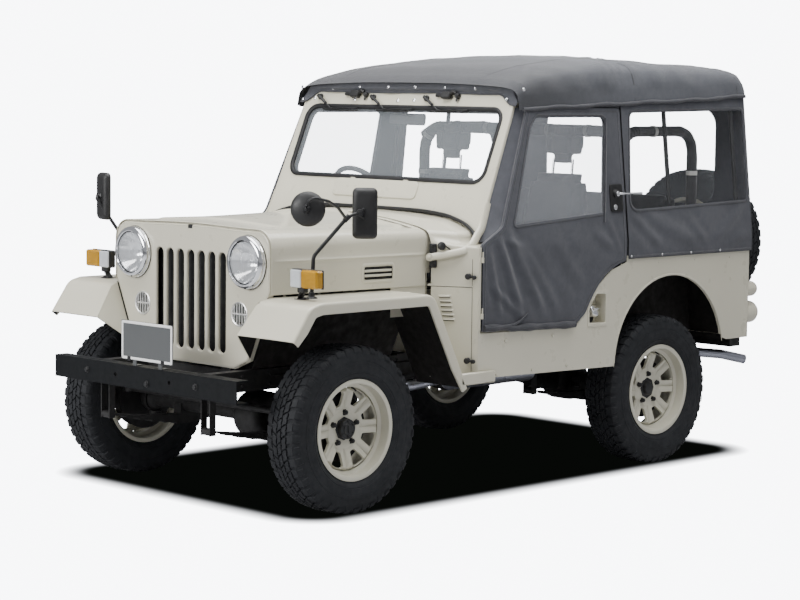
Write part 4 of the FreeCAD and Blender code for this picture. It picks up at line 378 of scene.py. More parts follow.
def bump(x, centre, width):
    """A smooth hump of height one."""
    return math.exp(-((x - centre) / width) ** 2)


def ramp(x, a, b):
    """A smooth step from 0 at a to 1 at b."""
    t = min(1.0, max(0.0, (x - a) / (b - a)))
    return t * t * (3 - 2 * t)


class Nodes:
    """A material being built, with short ways to add and join its nodes."""

    def __init__(self, name):
        self.material = bpy.data.materials.new(name)
        self.material.use_nodes = True
        self.tree = self.material.node_tree
        self.tree.nodes.clear()
        self.out = self.add("ShaderNodeOutputMaterial")
        self.shader = self.add("ShaderNodeBsdfPrincipled")
        self.join(self.shader.outputs[0], self.out.inputs[0])
        self.place = self.add("ShaderNodeTexCoord").outputs["Object"]

    def add(self, kind, **settings):
        node = self.tree.nodes.new(kind)
        for key, value in settings.items():
            setattr(node, key, value)
        return node

    def join(self, source, target):
        self.tree.links.new(source, target)

    def put(self, target, value):
        """Joins a socket, or sets a plain value."""
        if isinstance(value, bpy.types.NodeSocket):
            self.join(value, target)
        else:
            target.default_value = value

    def noise(self, scale, detail=3.0, rough=0.55, stretch=None, distortion=0.0):
        node = self.add("ShaderNodeTexNoise")
        node.inputs["Scale"].default_value = scale
        node.inputs["Detail"].default_value = detail
        node.inputs["Roughness"].default_value = rough
        node.inputs["Distortion"].default_value = distortion
        self.join(self.stretched(stretch), node.inputs["Vector"])
        return node.outputs["Fac"]

    def stretched(self, stretch, turn=(0, 0, 0)):
        if not stretch:
            return self.place
        mapping = self.add("ShaderNodeMapping")
        mapping.inputs["Scale"].default_value = stretch
        mapping.inputs["Rotation"].default_value = turn
        self.join(self.place, mapping.inputs["Vector"])
        return mapping.outputs[0]

    def wave(self, scale, direction="X", distortion=0.0, stretch=None, turn=(0, 0, 0)):
        node = self.add("ShaderNodeTexWave", bands_direction=direction)
        node.inputs["Scale"].default_value = scale
        node.inputs["Distortion"].default_value = distortion
        self.join(self.stretched(stretch or (1, 1, 1), turn), node.inputs["Vector"])
        return node.outputs["Fac"]

    def spread(self, value, low, high, to_low=0.0, to_high=1.0):
        node = self.add("ShaderNodeMapRange")
        for key, number in (("From Min", low), ("From Max", high), ("To Min", to_low), ("To Max", to_high)):
            node.inputs[key].default_value = number
        self.join(value, node.inputs["Value"])
        return node.outputs[0]

    def math(self, operation, a, b=0.0):
        node = self.add("ShaderNodeMath", operation=operation)
        self.put(node.inputs[0], a)
        self.put(node.inputs[1], b)
        return node.outputs[0]

    def blend(self, share, a, b):
        """A colour between a and b."""
        node = self.add("ShaderNodeMix", data_type="RGBA")
        self.put(node.inputs["Factor"], share)
        for socket, value in ((node.inputs[6], a), (node.inputs[7], b)):
            self.put(socket, (*value, 1.0) if isinstance(value, tuple) else value)
        return node.outputs[2]

    def finish(self, colour=None, height=None, strength=0.2, distance=0.001, edge=0.0, **values):
        """Sets the shader's colour, numbers, bump and rounded edges."""
        if colour is not None:
            self.put(self.shader.inputs["Base Color"], (*colour, 1.0) if isinstance(colour, tuple)
                     else colour)
        for key, value in values.items():
            self.put(self.shader.inputs[key.replace("_", " ").title().replace("Ior", "IOR")], value)
        normal = None
        if edge:
            round_edge = self.add("ShaderNodeBevel", samples=4)
            round_edge.inputs["Radius"].default_value = edge
            normal = round_edge.outputs[0]
        if height is not None:
            node = self.add("ShaderNodeBump")
            node.inputs["Strength"].default_value = strength
            node.inputs["Distance"].default_value = distance
            self.join(height, node.inputs["Height"])
            if normal:
                self.join(normal, node.inputs["Normal"])
            normal = node.outputs[0]
        if normal:
            self.join(normal, self.shader.inputs["Normal"])
        return self.material


def paint(name, colour, roughness=0.3, coat=0.5, edge=0.003, shade=0.94, dust=0.0):
    """Sprayed paint: a little colour drift, orange peel under a clear coat, and a softened edge."""
    n = Nodes(name)
    drift = n.spread(n.noise(2.2, 4.0), 0.3, 0.7)
    darker = tuple(c * shade for c in colour)
    tone = n.blend(drift, darker, colour)
    if dust:
        low = n.add("ShaderNodeSeparateXYZ")
        n.join(n.place, low.inputs[0])
        grime = n.math("MULTIPLY", n.spread(low.outputs["Z"], 0.75, 0.35, 0.0, dust),
                       n.spread(n.noise(9, 6), 0.3, 0.75))
        tone = n.blend(grime, tone, (0.16, 0.14, 0.11))
    peel = n.noise(420.0, 2.0)
    rough = n.spread(n.noise(14.0, 5.0), 0.3, 0.75, roughness * 0.88, roughness * 1.15)
    return n.finish(tone, peel, 0.035, 0.0006, edge, roughness=rough, coat_weight=coat, coat_roughness=0.09)


def iron(name, colour, roughness=0.55, metallic=0.0, grain=160.0, strength=0.25, edge=0.002, worn=None,
         specular=0.5):
    """Painted or bare castings and pressings with a fine grain and rubbed high spots."""
    n = Nodes(name)
    grit = n.noise(grain, 4.0)
    tone = n.blend(n.spread(n.noise(11.0, 6.0), 0.35, 0.7), tuple(c * 0.7 for c in colour), colour)
    if worn:
        tone = n.blend(n.spread(n.noise(38.0, 8.0, 0.7), 0.62, 0.78, 0.0, 0.6), tone, worn)
    rough = n.spread(n.noise(25.0, 5.0), 0.3, 0.7, roughness * 0.8, min(1.0, roughness * 1.25))
    return n.finish(tone, grit, strength, 0.0008, edge, roughness=rough, metallic=metallic,
                    specular_ior_level=specular)


def rubber(name, colour, roughness=0.72):
    """Moulded rubber, faintly greyed and matt."""
    n = Nodes(name)
    bloom = n.spread(n.noise(7.0, 6.0), 0.35, 0.75)
    tone = n.blend(bloom, colour, tuple(min(1.0, c * 1.55 + 0.003) for c in colour))
    grit = n.noise(260.0, 3.0)
    rough = n.spread(n.noise(30.0, 4.0), 0.3, 0.7, roughness * 0.85, roughness * 1.12)
    return n.finish(tone, grit, 0.12, 0.0006, roughness=rough, specular_ior_level=0.35)


def cloth(name, colour, light, thread=900.0, strength=0.35, roughness=0.78, sheen=0.35, wrinkle=0.0,
          front=None):
    """Woven cloth: crossing threads, soft mottling and a dusty sheen. Given front, painted shade darkens it
    towards the front.
    """
    n = Nodes(name)
    warp = n.wave(thread, "Z")
    weft = n.wave(thread, "Y")
    third = n.wave(thread, "X")
    weave = n.math("ADD", n.math("MULTIPLY", warp, weft), n.math("MULTIPLY", third, 0.5))
    fine = n.noise(30.0, 8.0, 0.65)
    broad = n.noise(3.2, 5.0, 0.6, distortion=0.4)
    tone = n.blend(n.spread(broad, 0.32, 0.68), colour, light)
    tone = n.blend(n.spread(fine, 0.35, 0.8, 0.0, 0.35), tone, tuple(c * 0.72 for c in colour))
    # painted shade: the colour blends into the darker front tone towards low Y, for the less lit front of the
    # roof
    if front:
        along = n.add("ShaderNodeSeparateXYZ")
        n.join(n.place, along.inputs[0])
        tone = n.blend(n.spread(along.outputs["Y"], -0.05, 0.62, 1.0, 0.0), tone, front)
    height = n.math("ADD", n.math("MULTIPLY", weave, 0.5), n.math("MULTIPLY", n.noise(55.0, 6.0), 1.2))
    if wrinkle:
        crease = n.noise(10.0, 5.0, 0.55, stretch=(1.0, 0.55, 1.0), distortion=0.7)
        height = n.math("ADD", height, n.math("MULTIPLY", crease, wrinkle))
    rough = n.spread(fine, 0.3, 0.8, roughness * 0.9, min(1.0, roughness * 1.12))
    return n.finish(tone, height, strength, 0.0012, roughness=rough, sheen_weight=sheen, sheen_roughness=0.45)


def clear(name, colour, alpha, roughness=0.04, wavy=0.0, specular=0.5):
    """A clear sheet, seen by its reflections and a faint tint."""
    n = Nodes(name)
    height = n.noise(5.0, 3.0, stretch=(1.0, 0.6, 1.0), distortion=0.5) if wavy else None
    n.material.surface_render_method = "BLENDED"
    return n.finish(colour, height, wavy, 0.02, roughness=roughness, alpha=alpha, specular_ior_level=specular)


def metal(name, colour, roughness=0.06, grain=0.0):
    """Bright plate or polished steel, a little uneven."""
    n = Nodes(name)
    rough = n.spread(n.noise(40.0, 5.0), 0.3, 0.75, roughness * 0.7, roughness * 1.5)
    height = n.noise(90.0, 4.0) if grain else None
    return n.finish(colour, height, grain, 0.0005, 0.001, roughness=rough, metallic=1.0)


def ribbed_glass(name):
    """Lamp glass with upright flutes."""
    n = Nodes(name)
    flutes = n.wave(34.0, "X")
    bars = n.wave(11.0, "Z")
    height = n.math("ADD", flutes, n.math("MULTIPLY", bars, 0.4))
    n.material.surface_render_method = "BLENDED"
    return n.finish((0.93, 0.96, 1.0), height, 0.8, 0.004, roughness=0.03, alpha=0.32, specular_ior_level=1.0)


def lens(name, colour, glow=0.0, gloss=0.8):
    """A moulded lamp lens with fine prisms."""
    n = Nodes(name)
    prisms = n.math("MULTIPLY", n.wave(55.0, "Y"), n.wave(55.0, "Z"))
    tone = n.blend(n.spread(n.noise(20.0, 3.0), 0.3, 0.7), tuple(c * 0.85 for c in colour), colour)
    return n.finish(tone, prisms, 0.5, 0.002, roughness=0.12, coat_weight=gloss, coat_roughness=0.04,
                    emission_color=(*colour, 1.0), emission_strength=glow)


CREAM = (0.62, 0.592, 0.478)
MAT = {
    "cream": paint("cream_paint", CREAM, 0.3, 0.55),
    "cream_low": paint("cream_paint_low", CREAM, 0.32, 0.5, dust=0.25),
    "cream_inside": paint("cream_paint_inside", tuple(c * 0.9 for c in CREAM), 0.45, 0.15),
    "wheel": paint("wheel_paint", (0.6, 0.58, 0.475), 0.34, 0.3, edge=0.002, dust=0.12),
    "bumper": iron("bumper_black", (0.0050, 0.0060, 0.0072), 0.50, grain=300.0, strength=0.15, edge=0.003,
                   specular=0.16),
    "black": iron("satin_black", (0.009, 0.0095, 0.0105), 0.42),
    "under": iron("chassis_black", (0.010, 0.0095, 0.0095), 0.62, strength=0.35, worn=(0.03, 0.022, 0.016)),
    "under_fender": iron("fender_underside", (0.0085, 0.0065, 0.0050), 0.8, strength=0.3,
                         worn=(0.02, 0.017, 0.015)),
    "engine": iron("engine_iron", (0.035, 0.034, 0.033), 0.7, 0.3, 90.0, 0.4),
    "core": iron("radiator_core", (0.006, 0.006, 0.007), 0.6),
    "pipe": metal("exhaust_steel", (0.34, 0.35, 0.40), 0.34, 0.3),
    "chrome": metal("chrome", (0.82, 0.83, 0.85), 0.05),
    "bowl": metal("lamp_bowl", (0.88, 0.89, 0.90), 0.12),
    "vent": metal("vent_bright", (0.86, 0.86, 0.84), 0.34),
    "mirror": metal("mirror_glass", (0.75, 0.78, 0.8), 0.02),
    "tyre": rubber("tyre_rubber", (0.0085, 0.0095, 0.0115)),
    "seal": rubber("rubber_seal", (0.008, 0.008, 0.009), 0.55),
    "plastic": iron("black_plastic", (0.012, 0.012, 0.0125), 0.5, grain=420.0, strength=0.3),
    # painted shade: a near-black finish for the shade in gaps, holes and recesses
    "dark": iron("painted_shade_dark", (0.002, 0.002, 0.002), 0.9),
    "canvas": cloth("canvas", (0.040, 0.042, 0.053), (0.058, 0.061, 0.074), wrinkle=1.8),
    # painted shade: the roof canvas darkens towards its front
    "canvas_roof_painted_shade": cloth("canvas_roof_painted_shade", (0.052, 0.056, 0.068), (0.074, 0.079, 0.093), wrinkle=1.4,
                         front=(0.017, 0.0185, 0.024)),
    "piping": cloth("canvas_piping", (0.026, 0.027, 0.034), (0.038, 0.040, 0.049), 1400.0),
    "seat": cloth("seat_cloth", (0.028, 0.029, 0.033), (0.050, 0.052, 0.058), 700.0, 0.5),
    "pad": cloth("roll_bar_pad", (0.012, 0.012, 0.014), (0.020, 0.020, 0.022), 800.0, 0.3),
    "strap": cloth("strap", (0.42, 0.42, 0.40), (0.55, 0.55, 0.52), 1200.0),
    "vinyl": clear("clear_vinyl", (0.70, 0.74, 0.80), 0.085, 0.10, wavy=0.35, specular=0.8),
    "vinyl_door": clear("door_vinyl", (0.66, 0.69, 0.74), 0.17, 0.12, wavy=0.35, specular=0.8),
    "vinyl_quarter": clear("quarter_vinyl", (0.60, 0.62, 0.66), 0.022, 0.06, wavy=0.2, specular=0.35),
    "glass": clear("window_glass", (0.70, 0.76, 0.82), 0.10, 0.02, specular=0.8),
    "lamp_glass": ribbed_glass("lamp_glass"),
    "amber": lens("amber_lens", (0.47, 0.235, 0.003), 0.0, 0.35),
    "clear_lens": lens("clear_lens", (0.62, 0.65, 0.68), 0.0),
    "red": lens("red_lens", (0.45, 0.012, 0.008), 0.0),
    "plate": paint("plate_grey", (0.085, 0.090, 0.092), 0.4, 0.2, edge=0.001),
    "plate_border": paint("plate_border", (0.90, 0.90, 0.89), 0.4, 0.2, edge=0.001),
    "dial": paint("dial_face", (0.012, 0.013, 0.014), 0.4, 0.1, edge=0.001),
    "mat": rubber("floor_mat", (0.018, 0.018, 0.019), 0.85),
}


# Tyres and wheels
PITCHES = 44
GROOVE_R = 0.3525
WALL_STEPS = 176
DISC_HOLES = 8
HOLE_R = (0.104, 0.170)
HOLE_W = (0.026, 0.080)
LUG_CIRCLE_R = 0.06985


def crown(x):
    """The tread's radius across its width."""
    return TYRE_R - 0.0005 - 0.0042 * (abs(x) / 0.072) ** 2.2


def on_tread(x, turn, depth=0.0):
    """A point of the tread at a distance across and a share of one turn."""
    angle = 2 * math.pi * turn
    r = crown(x) - depth
    return (x, r * math.cos(angle), r * math.sin(angle))


def lug(outline, depth=0.0098, draft=0.0012):
    """One tread block: its top follows the crown and its sides widen towards the groove."""
    cx = sum(p[0] for p in outline) / len(outline)
    ct = sum(p[1] for p in outline) / len(outline)
    unit = 1 / (2 * math.pi * TYRE_R)

    def scaled(by):
        row = []
        for x, t in outline:
            dx = x - cx
            dt = (t - ct) / unit
            length = math.hypot(dx, dt) or 1.0
            row.append((x + dx / length * by, t + dt / length * by * unit))
        return row

    rows = [[on_tread(x, t, depth) for x, t in scaled(draft)],
            [on_tread(x, t, 0.0009) for x, t in outline],
            [on_tread(x, t) for x, t in scaled(-0.0010)]]
    points, faces = rings(rows)
    count = len(outline)
    points.append(on_tread(cx, ct))
    top = len(points) - 1
    faces += [(2 * count + i, 2 * count + (i + 1) % count, top) for i in range(count)]
    return points, faces


def zigzag_block(x_in, x_out, start, end, lean, notch):
    """A centre block with slanted ends and a notch in each side."""
    mid = (start + end) / 2
    width = x_out - x_in
    outline = [(x_in, start + lean), (x_in + width * 0.5, start + lean * 0.35), (x_out, start),
               (x_out, mid - notch), (x_out - width * 0.16, mid), (x_out, mid + notch),
               (x_out, end), (x_in + width * 0.5, end + lean * 0.35), (x_in, end + lean),
               (x_in, mid + notch + lean), (x_in + width * 0.16, mid + lean), (x_in, mid - notch + lean)]
    return outline


def tread():
    """All the blocks of one tyre, in five rows."""
    shapes = []
    pitch = 1.0 / PITCHES
    rows = [(-0.0105, 0.0105, 0.0, 0.30, 0.86), (0.0155, 0.0400, 0.5, 0.28, 0.84),
            (-0.0400, -0.0155, 0.5, -0.28, 0.84)]
    for index in range(PITCHES):
        wobble = 1.0 + 0.06 * math.sin(index * 2.4)
        for x_in, x_out, phase, lean, fill in rows:
            start = (index + phase) * pitch
            end = start + pitch * fill * wobble
            shapes.append(lug(zigzag_block(x_in, x_out, start, end, lean * pitch, 0.10 * pitch)))
        for side in (-1, 1):
            start = (index + (0.22 if side > 0 else 0.72)) * pitch
            deep = 0.0795 if index % 2 else 0.0765
            outline = [(side * 0.0450, start + 0.12 * pitch), (side * 0.0600, start + 0.04 * pitch),
                       (side * deep, start), (side * deep, start + 0.70 * pitch),
                       (side * 0.0600, start + 0.74 * pitch), (side * 0.0450, start + 0.82 * pitch),
                       (side * 0.0485, start + 0.47 * pitch)]
            shapes.append(lug(outline, 0.0088))
            shapes.append(shoulder_lug(side, start, pitch, index % 2))
    return merge(*shapes)


def shoulder_lug(side, start, pitch, long):
    """The part of a shoulder block that runs down the wall."""
    low = 0.322 if long else 0.334
    profile = [(0.0790, 0.3565), (0.0865, 0.3490), (0.0925, 0.3380), (0.0938, low)]
    rows = []
    for out, radius in profile:
        row = []
        for share, drop in ((0.0, 0.004), (0.08, 0.0), (0.62, 0.0), (0.70, 0.004)):
            angle = 2 * math.pi * (start + share * pitch)
            r = radius - drop * 0.5
            x = side * (out - drop)
            row.append((x, r * math.cos(angle), r * math.sin(angle)))
        rows.append(row)
    return rings(rows, loop=False)


def tyre_profile():
    """Section of the carcass from the inner bead round to the outer one, as (across, radius)."""
    half = [(0.0795, 0.2035), (0.0797, 0.2170), (0.0815, 0.2235), (0.0860, 0.2290), (0.0905, 0.2360),
            (0.0938, 0.2440), (0.0928, 0.2455), (0.0928, 0.2475), (0.0950, 0.2500), (0.0962, 0.2700),
            (0.0966, 0.2850), (0.0962, 0.2930), (0.0949, 0.2938), (0.0949, 0.2958), (0.0958, 0.2966),
            (0.0946, 0.3100), (0.0930, 0.3200), (0.0905, 0.3320), (0.0862, 0.3420), (0.0800, 0.3490),
            (0.0740, 0.3515), (0.0600, GROOVE_R), (0.0300, GROOVE_R + 0.0002)]
    return [(-x, r) for x, r in half] + [(0.0, GROOVE_R + 0.0004)] + half[::-1]


def hole_outline(steps=7):
    """A rounded opening of the wheel disc, as (out along the radius, across)."""
    r0, r1 = HOLE_R
    w0, w1 = HOLE_W
    corners = [(r0, -w0 / 2), (r1 - 0.004, -w1 / 2), (r1 + 0.003, 0.0), (r1 - 0.004, w1 / 2), (r0, w0 / 2)]
    return rounded(corners, [0.009, 0.014, 0.2, 0.014, 0.009], steps)


def disc_height(r):
    """How far out the wheel disc's face stands at a radius."""
    base = 0.012
    dome = 0.027 * ramp(r, 0.080, 0.150)
    fall = 0.022 * ramp(r, 0.165, 0.183)
    nut_ring = 0.004 * bump(r, LUG_CIRCLE_R, 0.012)
    return base + dome - fall + nut_ring


def wheel_disc():
    """The pressed disc: eight openings with turned-in lips between spokes."""
    sector = 2 * math.pi / DISC_HOLES
    r_in = 0.046
    r_out = 0.1835
    hole = hole_outline()
    centre = Vector(((HOLE_R[0] + HOLE_R[1]) / 2, 0.0))
    shapes = []
    border = []
    for r, a in hole:
        way = (Vector((r, a)) - centre).normalized()
        border.append(sector_edge(centre, way, sector, r_in, r_out))
    layers = 7
    rows = []
    for layer in range(layers + 1):
        t = layer / layers
        rows.append([tuple(Vector(h).lerp(Vector(b), t ** 1.3)) for h, b in zip(hole, border)])
    lip = [(tuple(Vector(h) + (centre - Vector(h)) * 0.045), -0.004) for h in hole]
    lip_low = [(tuple(Vector(h) + (centre - Vector(h)) * 0.055), -0.014) for h in hole]
    for index in range(DISC_HOLES):
        turn = sector * (index + 0.5)
        sections = []
        for row in (lip_low, lip):
            sections.append([disc_point(r, a, turn, drop) for (r, a), drop in row])
        for row in rows:
            sections.append([disc_point(r, a, turn, 0.0) for r, a in row])
        shapes.append(rings(sections))
    return merge(*shapes)


def disc_point(r, a, turn, drop):
    """A point of the disc from its place in a sector."""
    radius = math.hypot(r, a)
    angle = turn + math.atan2(a, r)
    return (disc_height(radius) + drop, radius * math.cos(angle), radius * math.sin(angle))


def sector_edge(centre, way, sector, r_in, r_out):
    """Where a ray from the hole's middle meets the edge of its sector."""
    best = None
    for s in np.linspace(0.002, 0.2, 400):
        p = centre + way * s
        radius = p.length
        angle = math.atan2(p.y, p.x)
        if radius > r_out or radius < r_in or abs(angle) > sector / 2:
            break
        best = p
    radius = min(max(best.length, r_in), r_out)
    angle = math.atan2(best.y, best.x)
    if abs(abs(angle) - sector / 2) < 0.012:
        angle = math.copysign(sector / 2, angle)
    if radius > r_out - 0.0012:
        radius = r_out
    if radius < r_in + 0.0012:
        radius = r_in
    return Vector((radius * math.cos(angle), radius * math.sin(angle)))


def rim():
    """The rolled rim with its flanges and dropped middle."""
    profile = [(0.0500, 0.1975), (0.0830, 0.1985), (0.0846, 0.2010), (0.0850, 0.2070), (0.0850, 0.2150),
               (0.0842, 0.2180), (0.0825, 0.2190), (0.0808, 0.2178), (0.0803, 0.2120), (0.0802, 0.2030),
               (0.0380, 0.2030), (0.0300, 0.1850), (-0.0220, 0.1850), (-0.0300, 0.2030), (-0.0802, 0.2030),
               (-0.0803, 0.2120), (-0.0808, 0.2178), (-0.0825, 0.2190), (-0.0842, 0.2180), (-0.0850, 0.2150),
               (-0.0850, 0.2010), (-0.0830, 0.1985), (-0.0300, 0.1980), (-0.0220, 0.1805), (0.0300, 0.1805),
               (0.0380, 0.1960)]
    return turned(profile, 96, closed=True)


def lug_nut():
    """A cone-seated nut on its stud."""
    r = 0.0112
    hexagon = turned([(0.0, 0.0), (0.0, 0.0145), (0.003, 0.0145), (0.0032, r), (0.0150, r),
                      (0.0168, r * 0.84), (0.0168, 0.0058), (0.0205, 0.0056), (0.0210, 0.0)], 6)
    return hexagon


def hub(out, locking):
    """Hub with its cap. The front one is larger, with a ring of screws."""
    if locking:
        profile = [(-0.01, 0.0), (-0.01, 0.0500), (0.010, 0.0500), (0.012, 0.0465), (0.014, 0.0455),
                   (0.0155, 0.0405), (out - 0.016, 0.0395), (out - 0.013, 0.0425), (out - 0.005, 0.0425),
                   (out - 0.0035, 0.040), (out - 0.0035, 0.0270), (out, 0.0245), (out, 0.0)]
    else:
        profile = [(-0.01, 0.0), (-0.01, 0.0500), (0.010, 0.0500), (0.0125, 0.0455), (0.0135, 0.0340),
                   (out - 0.008, 0.0320), (out - 0.002, 0.0285), (out, 0.0220), (out, 0.0)]
    shapes = [turned(profile, 48)]
    if locking:
        for k in range(6):
            angle = math.radians(60 * k + 30)
            at = (out - 0.0035, 0.0335 * math.cos(angle), 0.0335 * math.sin(angle))
            shapes.append(bolt(at, (1, 0, 0), 0.0085, 0.0042, washer=False))
        shapes.append(block(out - 0.001, out + 0.0035, -0.004, 0.004, -0.016, 0.016, 0.001))
    for k in range(5):
        angle = math.radians(90 + 72 * k)
        at = Matrix.Translation((0.0125, LUG_CIRCLE_R * math.cos(angle), LUG_CIRCLE_R * math.sin(angle)))
        shapes.append(moved(lug_nut(), at))
    return merge(*shapes)


def drum():
    """The brake drum behind the disc, with its cooling rib."""
    profile = [(-0.070, 0.137), (-0.018, 0.137), (-0.018, 0.046), (0.004, 0.046), (0.004, 0.084),
               (-0.010, 0.090), (-0.010, 0.140), (-0.014, 0.145), (-0.050, 0.145), (-0.052, 0.148),
               (-0.060, 0.148), (-0.062, 0.145), (-0.070, 0.145)]
    return turned(profile, 64, closed=True)


def wheel_at(name, centre, side, body, front, upright=True):
    """A tyre, its wheel, hub and drum, placed with the outer face to one side of the car, or to the rear."""
    place = Matrix.Translation(centre)
    if not upright:
        place = place @ Matrix.Rotation(math.pi / 2, 4, "Z")
    elif side < 0:
        place = place @ Matrix.Rotation(math.pi, 4, "Z")
    carcass = turned(tyre_profile(), WALL_STEPS)
    ribs = [turned([(0.0958, 0.2755), (0.0968, 0.2762), (0.0968, 0.2778), (0.0958, 0.2785)], WALL_STEPS)]
    tyre_node = "tyre_" + name if upright else "spare_tyre"
    wheel_node = "wheel_" + name if upright else "spare_wheel"
    label = name + "_" if upright else "spare_"
    rubber_piece = merge(carcass, *ribs, tread())
    spin = Matrix.Rotation(0.37 * (1 + len(name)), 4, "X")
    piece(label + "tyre", moved(rubber_piece, place @ spin), MAT["tyre"], body, 28, False, tyre_node)
    piece(label + "rim", moved(merge(rim(), wheel_disc()), place), MAT["wheel"], body, 40,
          True, wheel_node)
    out = 0.042 if front else 0.030
    piece(label + "hub", moved(hub(out, front), place), MAT["black"], body, 30)
    if upright:
        piece(label + "drum", moved(drum(), place), MAT["under"], body, 30)
    piece(label + "valve", moved(tube([(0.058, 0.0, 0.180), (0.072, 0.0, 0.176), (0.084, 0.0, 0.170)], 0.004,
                                      8), place), MAT["seal"], body)


def wheels():
    """The four wheels on their bodies, and the spare on the carrier."""
    for name, side, y in (("front_left", 1, FRONT_AXLE_Y), ("front_right", -1, FRONT_AXLE_Y),
                          ("rear_left", 1, REAR_AXLE_Y), ("rear_right", -1, REAR_AXLE_Y)):
        wheel_at(name, (side * WHEEL_X, y, AXLE_Z), side, name + "_wheel", name.startswith("front"))
    wheel_at("spare", SPARE, 1, "chassis", False, upright=False)


def looped(points):
    """A 2D loop turned anticlockwise."""
    area = sum(a[0] * b[1] - b[0] * a[1] for a, b in zip(points, points[1:] + points[:1]))
    return list(points) if area > 0 else list(reversed(points))


def inset_loop(points, amount):
    """A closed 2D loop moved inwards, corner by corner."""
    count = len(points)
    out = []
    for i in range(count):
        before = (Vector(points[i]) - Vector(points[i - 1])).normalized()
        after = (Vector(points[(i + 1) % count]) - Vector(points[i])).normalized()
        n1 = Vector((-before.y, before.x))
        n2 = Vector((-after.y, after.x))
        middle = (n1 + n2).normalized()
        reach = amount / max(0.35, middle.dot(n1))
        out.append(tuple(Vector(points[i]) + middle * reach))
    return out


def pressed(loop, profile):
    """A band round a 2D loop from (inset, height) pairs, lying in XY with height along Z."""
    loop = looped(loop)
    rows = [[(x, y, height) for x, y in inset_loop(loop, inset)] for inset, height in profile]
    return rings(rows)


def dish(loop, profile):
    """As pressed, with the last row filled."""
    points, faces = pressed(loop, profile)
    count = len(loop)
    return points, faces + [tuple(range(len(points) - count, len(points)))]


def oval(half_width, half_height, radius, steps=6, centre=(0.0, 0.0)):
    """A rectangle with round corners as a 2D loop."""
    out = []
    for sx, sy, start in ((1, 1, 0), (-1, 1, 90), (-1, -1, 180), (1, -1, 270)):
        for step in range(steps + 1):
            angle = math.radians(start + 90 * step / steps)
            out.append((centre[0] + sx * (half_width - radius) + radius * math.cos(angle),
                        centre[1] + sy * (half_height - radius) + radius * math.sin(angle)))
    return out


def circle(radius, steps=32, centre=(0.0, 0.0)):
    """A round 2D loop."""
    return [(centre[0] + radius * math.cos(2 * math.pi * i / steps),
             centre[1] + radius * math.sin(2 * math.pi * i / steps)) for i in range(steps)]


def filled(outline, holes, spacing, lift):
    """Small triangles that fill a 2D outline with holes, lifted into space by a function of both numbers."""
    outline = looped(outline)
    points = [Vector(p) for p in outline]
    edges = [(i, (i + 1) % len(outline)) for i in range(len(outline))]
    for hole in holes:
        start = len(points)
        points += [Vector(p) for p in hole]
        edges += [(start + i, start + (i + 1) % len(hole)) for i in range(len(hole))]
    xs = [p.x for p in points]
    ys = [p.y for p in points]
    rows = int((max(ys) - min(ys)) / (spacing * 0.87)) + 1
    columns = int((max(xs) - min(xs)) / spacing) + 1
    loops = [outline] + [list(h) for h in holes]
    for row in range(rows + 1):
        for column in range(columns + 1):
            x = min(xs) + (column + 0.5 * (row % 2)) * spacing
            y = min(ys) + row * spacing * 0.87
            if inside(outline, x, y) and not any(inside(h, x, y) for h in holes):
                if loop_distance(loops, x, y) > spacing * 0.45:
                    points.append(Vector((x, y)))
    done = delaunay_2d_cdt(points, edges, [], 1, 1e-6)
    out_points = [lift(p.x, p.y) for p in done[0]]
    out_faces = []
    for face in done[2]:
        cx = sum(done[0][i].x for i in face) / 3
        cy = sum(done[0][i].y for i in face) / 3
        if not any(inside(h, cx, cy) for h in holes):
            out_faces.append(tuple(face))
    return out_points, out_faces


def inside(loop, x, y):
    """Whether a point lies inside a 2D loop."""
    hit = False
    for (x0, y0), (x1, y1) in zip(loop, loop[1:] + loop[:1]):
        if (y0 > y) != (y1 > y) and x < (x1 - x0) * (y - y0) / (y1 - y0) + x0:
            hit = not hit
    return hit


def loop_distance(loops, x, y):
    """How far a point is from the nearest of several 2D loops."""
    best = 9.0
    for loop in loops:
        a = np.asarray(loop, dtype=float)[:, :2]
        way = np.roll(a, -1, axis=0) - a
        rel = np.array((x, y)) - a
        share = np.clip((rel * way).sum(1) / np.maximum((way * way).sum(1), 1e-12), 0.0, 1.0)
        best = min(best, float(np.sqrt((((rel - way * share[:, None])) ** 2).sum(1).min())))
    return best


def divided(loop, step):
    """A 2D loop with points no further apart than the step."""
    out = []
    for a, b in zip(loop, loop[1:] + loop[:1]):
        count = max(1, int(math.ceil((Vector(b) - Vector(a)).length / step)))
        for i in range(count):
            share = i / count
            out.append((a[0] + (b[0] - a[0]) * share, a[1] + (b[1] - a[1]) * share))
    return out


def thickened(shape, thick):
    """A sheet given a back face, thick behind it along its normals."""
    mesh = mesh_of(*shape)
    bm = bmesh.new()
    bm.from_mesh(mesh)
    bmesh.ops.remove_doubles(bm, verts=bm.verts, dist=1e-6)
    bm.normal_update()
    bmesh.ops.solidify(bm, geom=bm.faces[:], thickness=thick)
    bm.to_mesh(mesh)
    bm.free()
    points = [v.co.copy() for v in mesh.vertices]
    faces = [tuple(f.vertices) for f in mesh.polygons]
    bpy.data.meshes.remove(mesh)
    return points, faces


def ridge_on(line, width, height, up, sides=8):
    """A low rounded bead along a line of points, standing on the surface that faces up."""
    up = Vector(up).normalized()
    rows = []
    pts = [Vector(p) for p in line]
    for i, p in enumerate(pts):
        way = (pts[min(i + 1, len(pts) - 1)] - pts[max(i - 1, 0)]).normalized()
        side = way.cross(up).normalized()
        row = []
        for k in range(sides + 1):
            t = -1 + 2 * k / sides
            row.append(p + side * (t * width / 2) + up * (height * math.cos(t * math.pi / 2) - 0.0006))
        rows.append(row)
    return rings(rows, loop=False)


def seam_line(line, width, up):
    """A thin dark strip along a line, just above the surface: painted shade for a shut gap between two
    sheets.
    """
    up = Vector(up).normalized()
    pts = [Vector(p) for p in line]
    rows = []
    for i, p in enumerate(pts):
        way = (pts[min(i + 1, len(pts) - 1)] - pts[max(i - 1, 0)]).normalized()
        side = way.cross(up).normalized()
        rows.append([p - side * width / 2 + up * 0.0004, p + side * width / 2 + up * 0.0004])
    return rings(rows, loop=False)


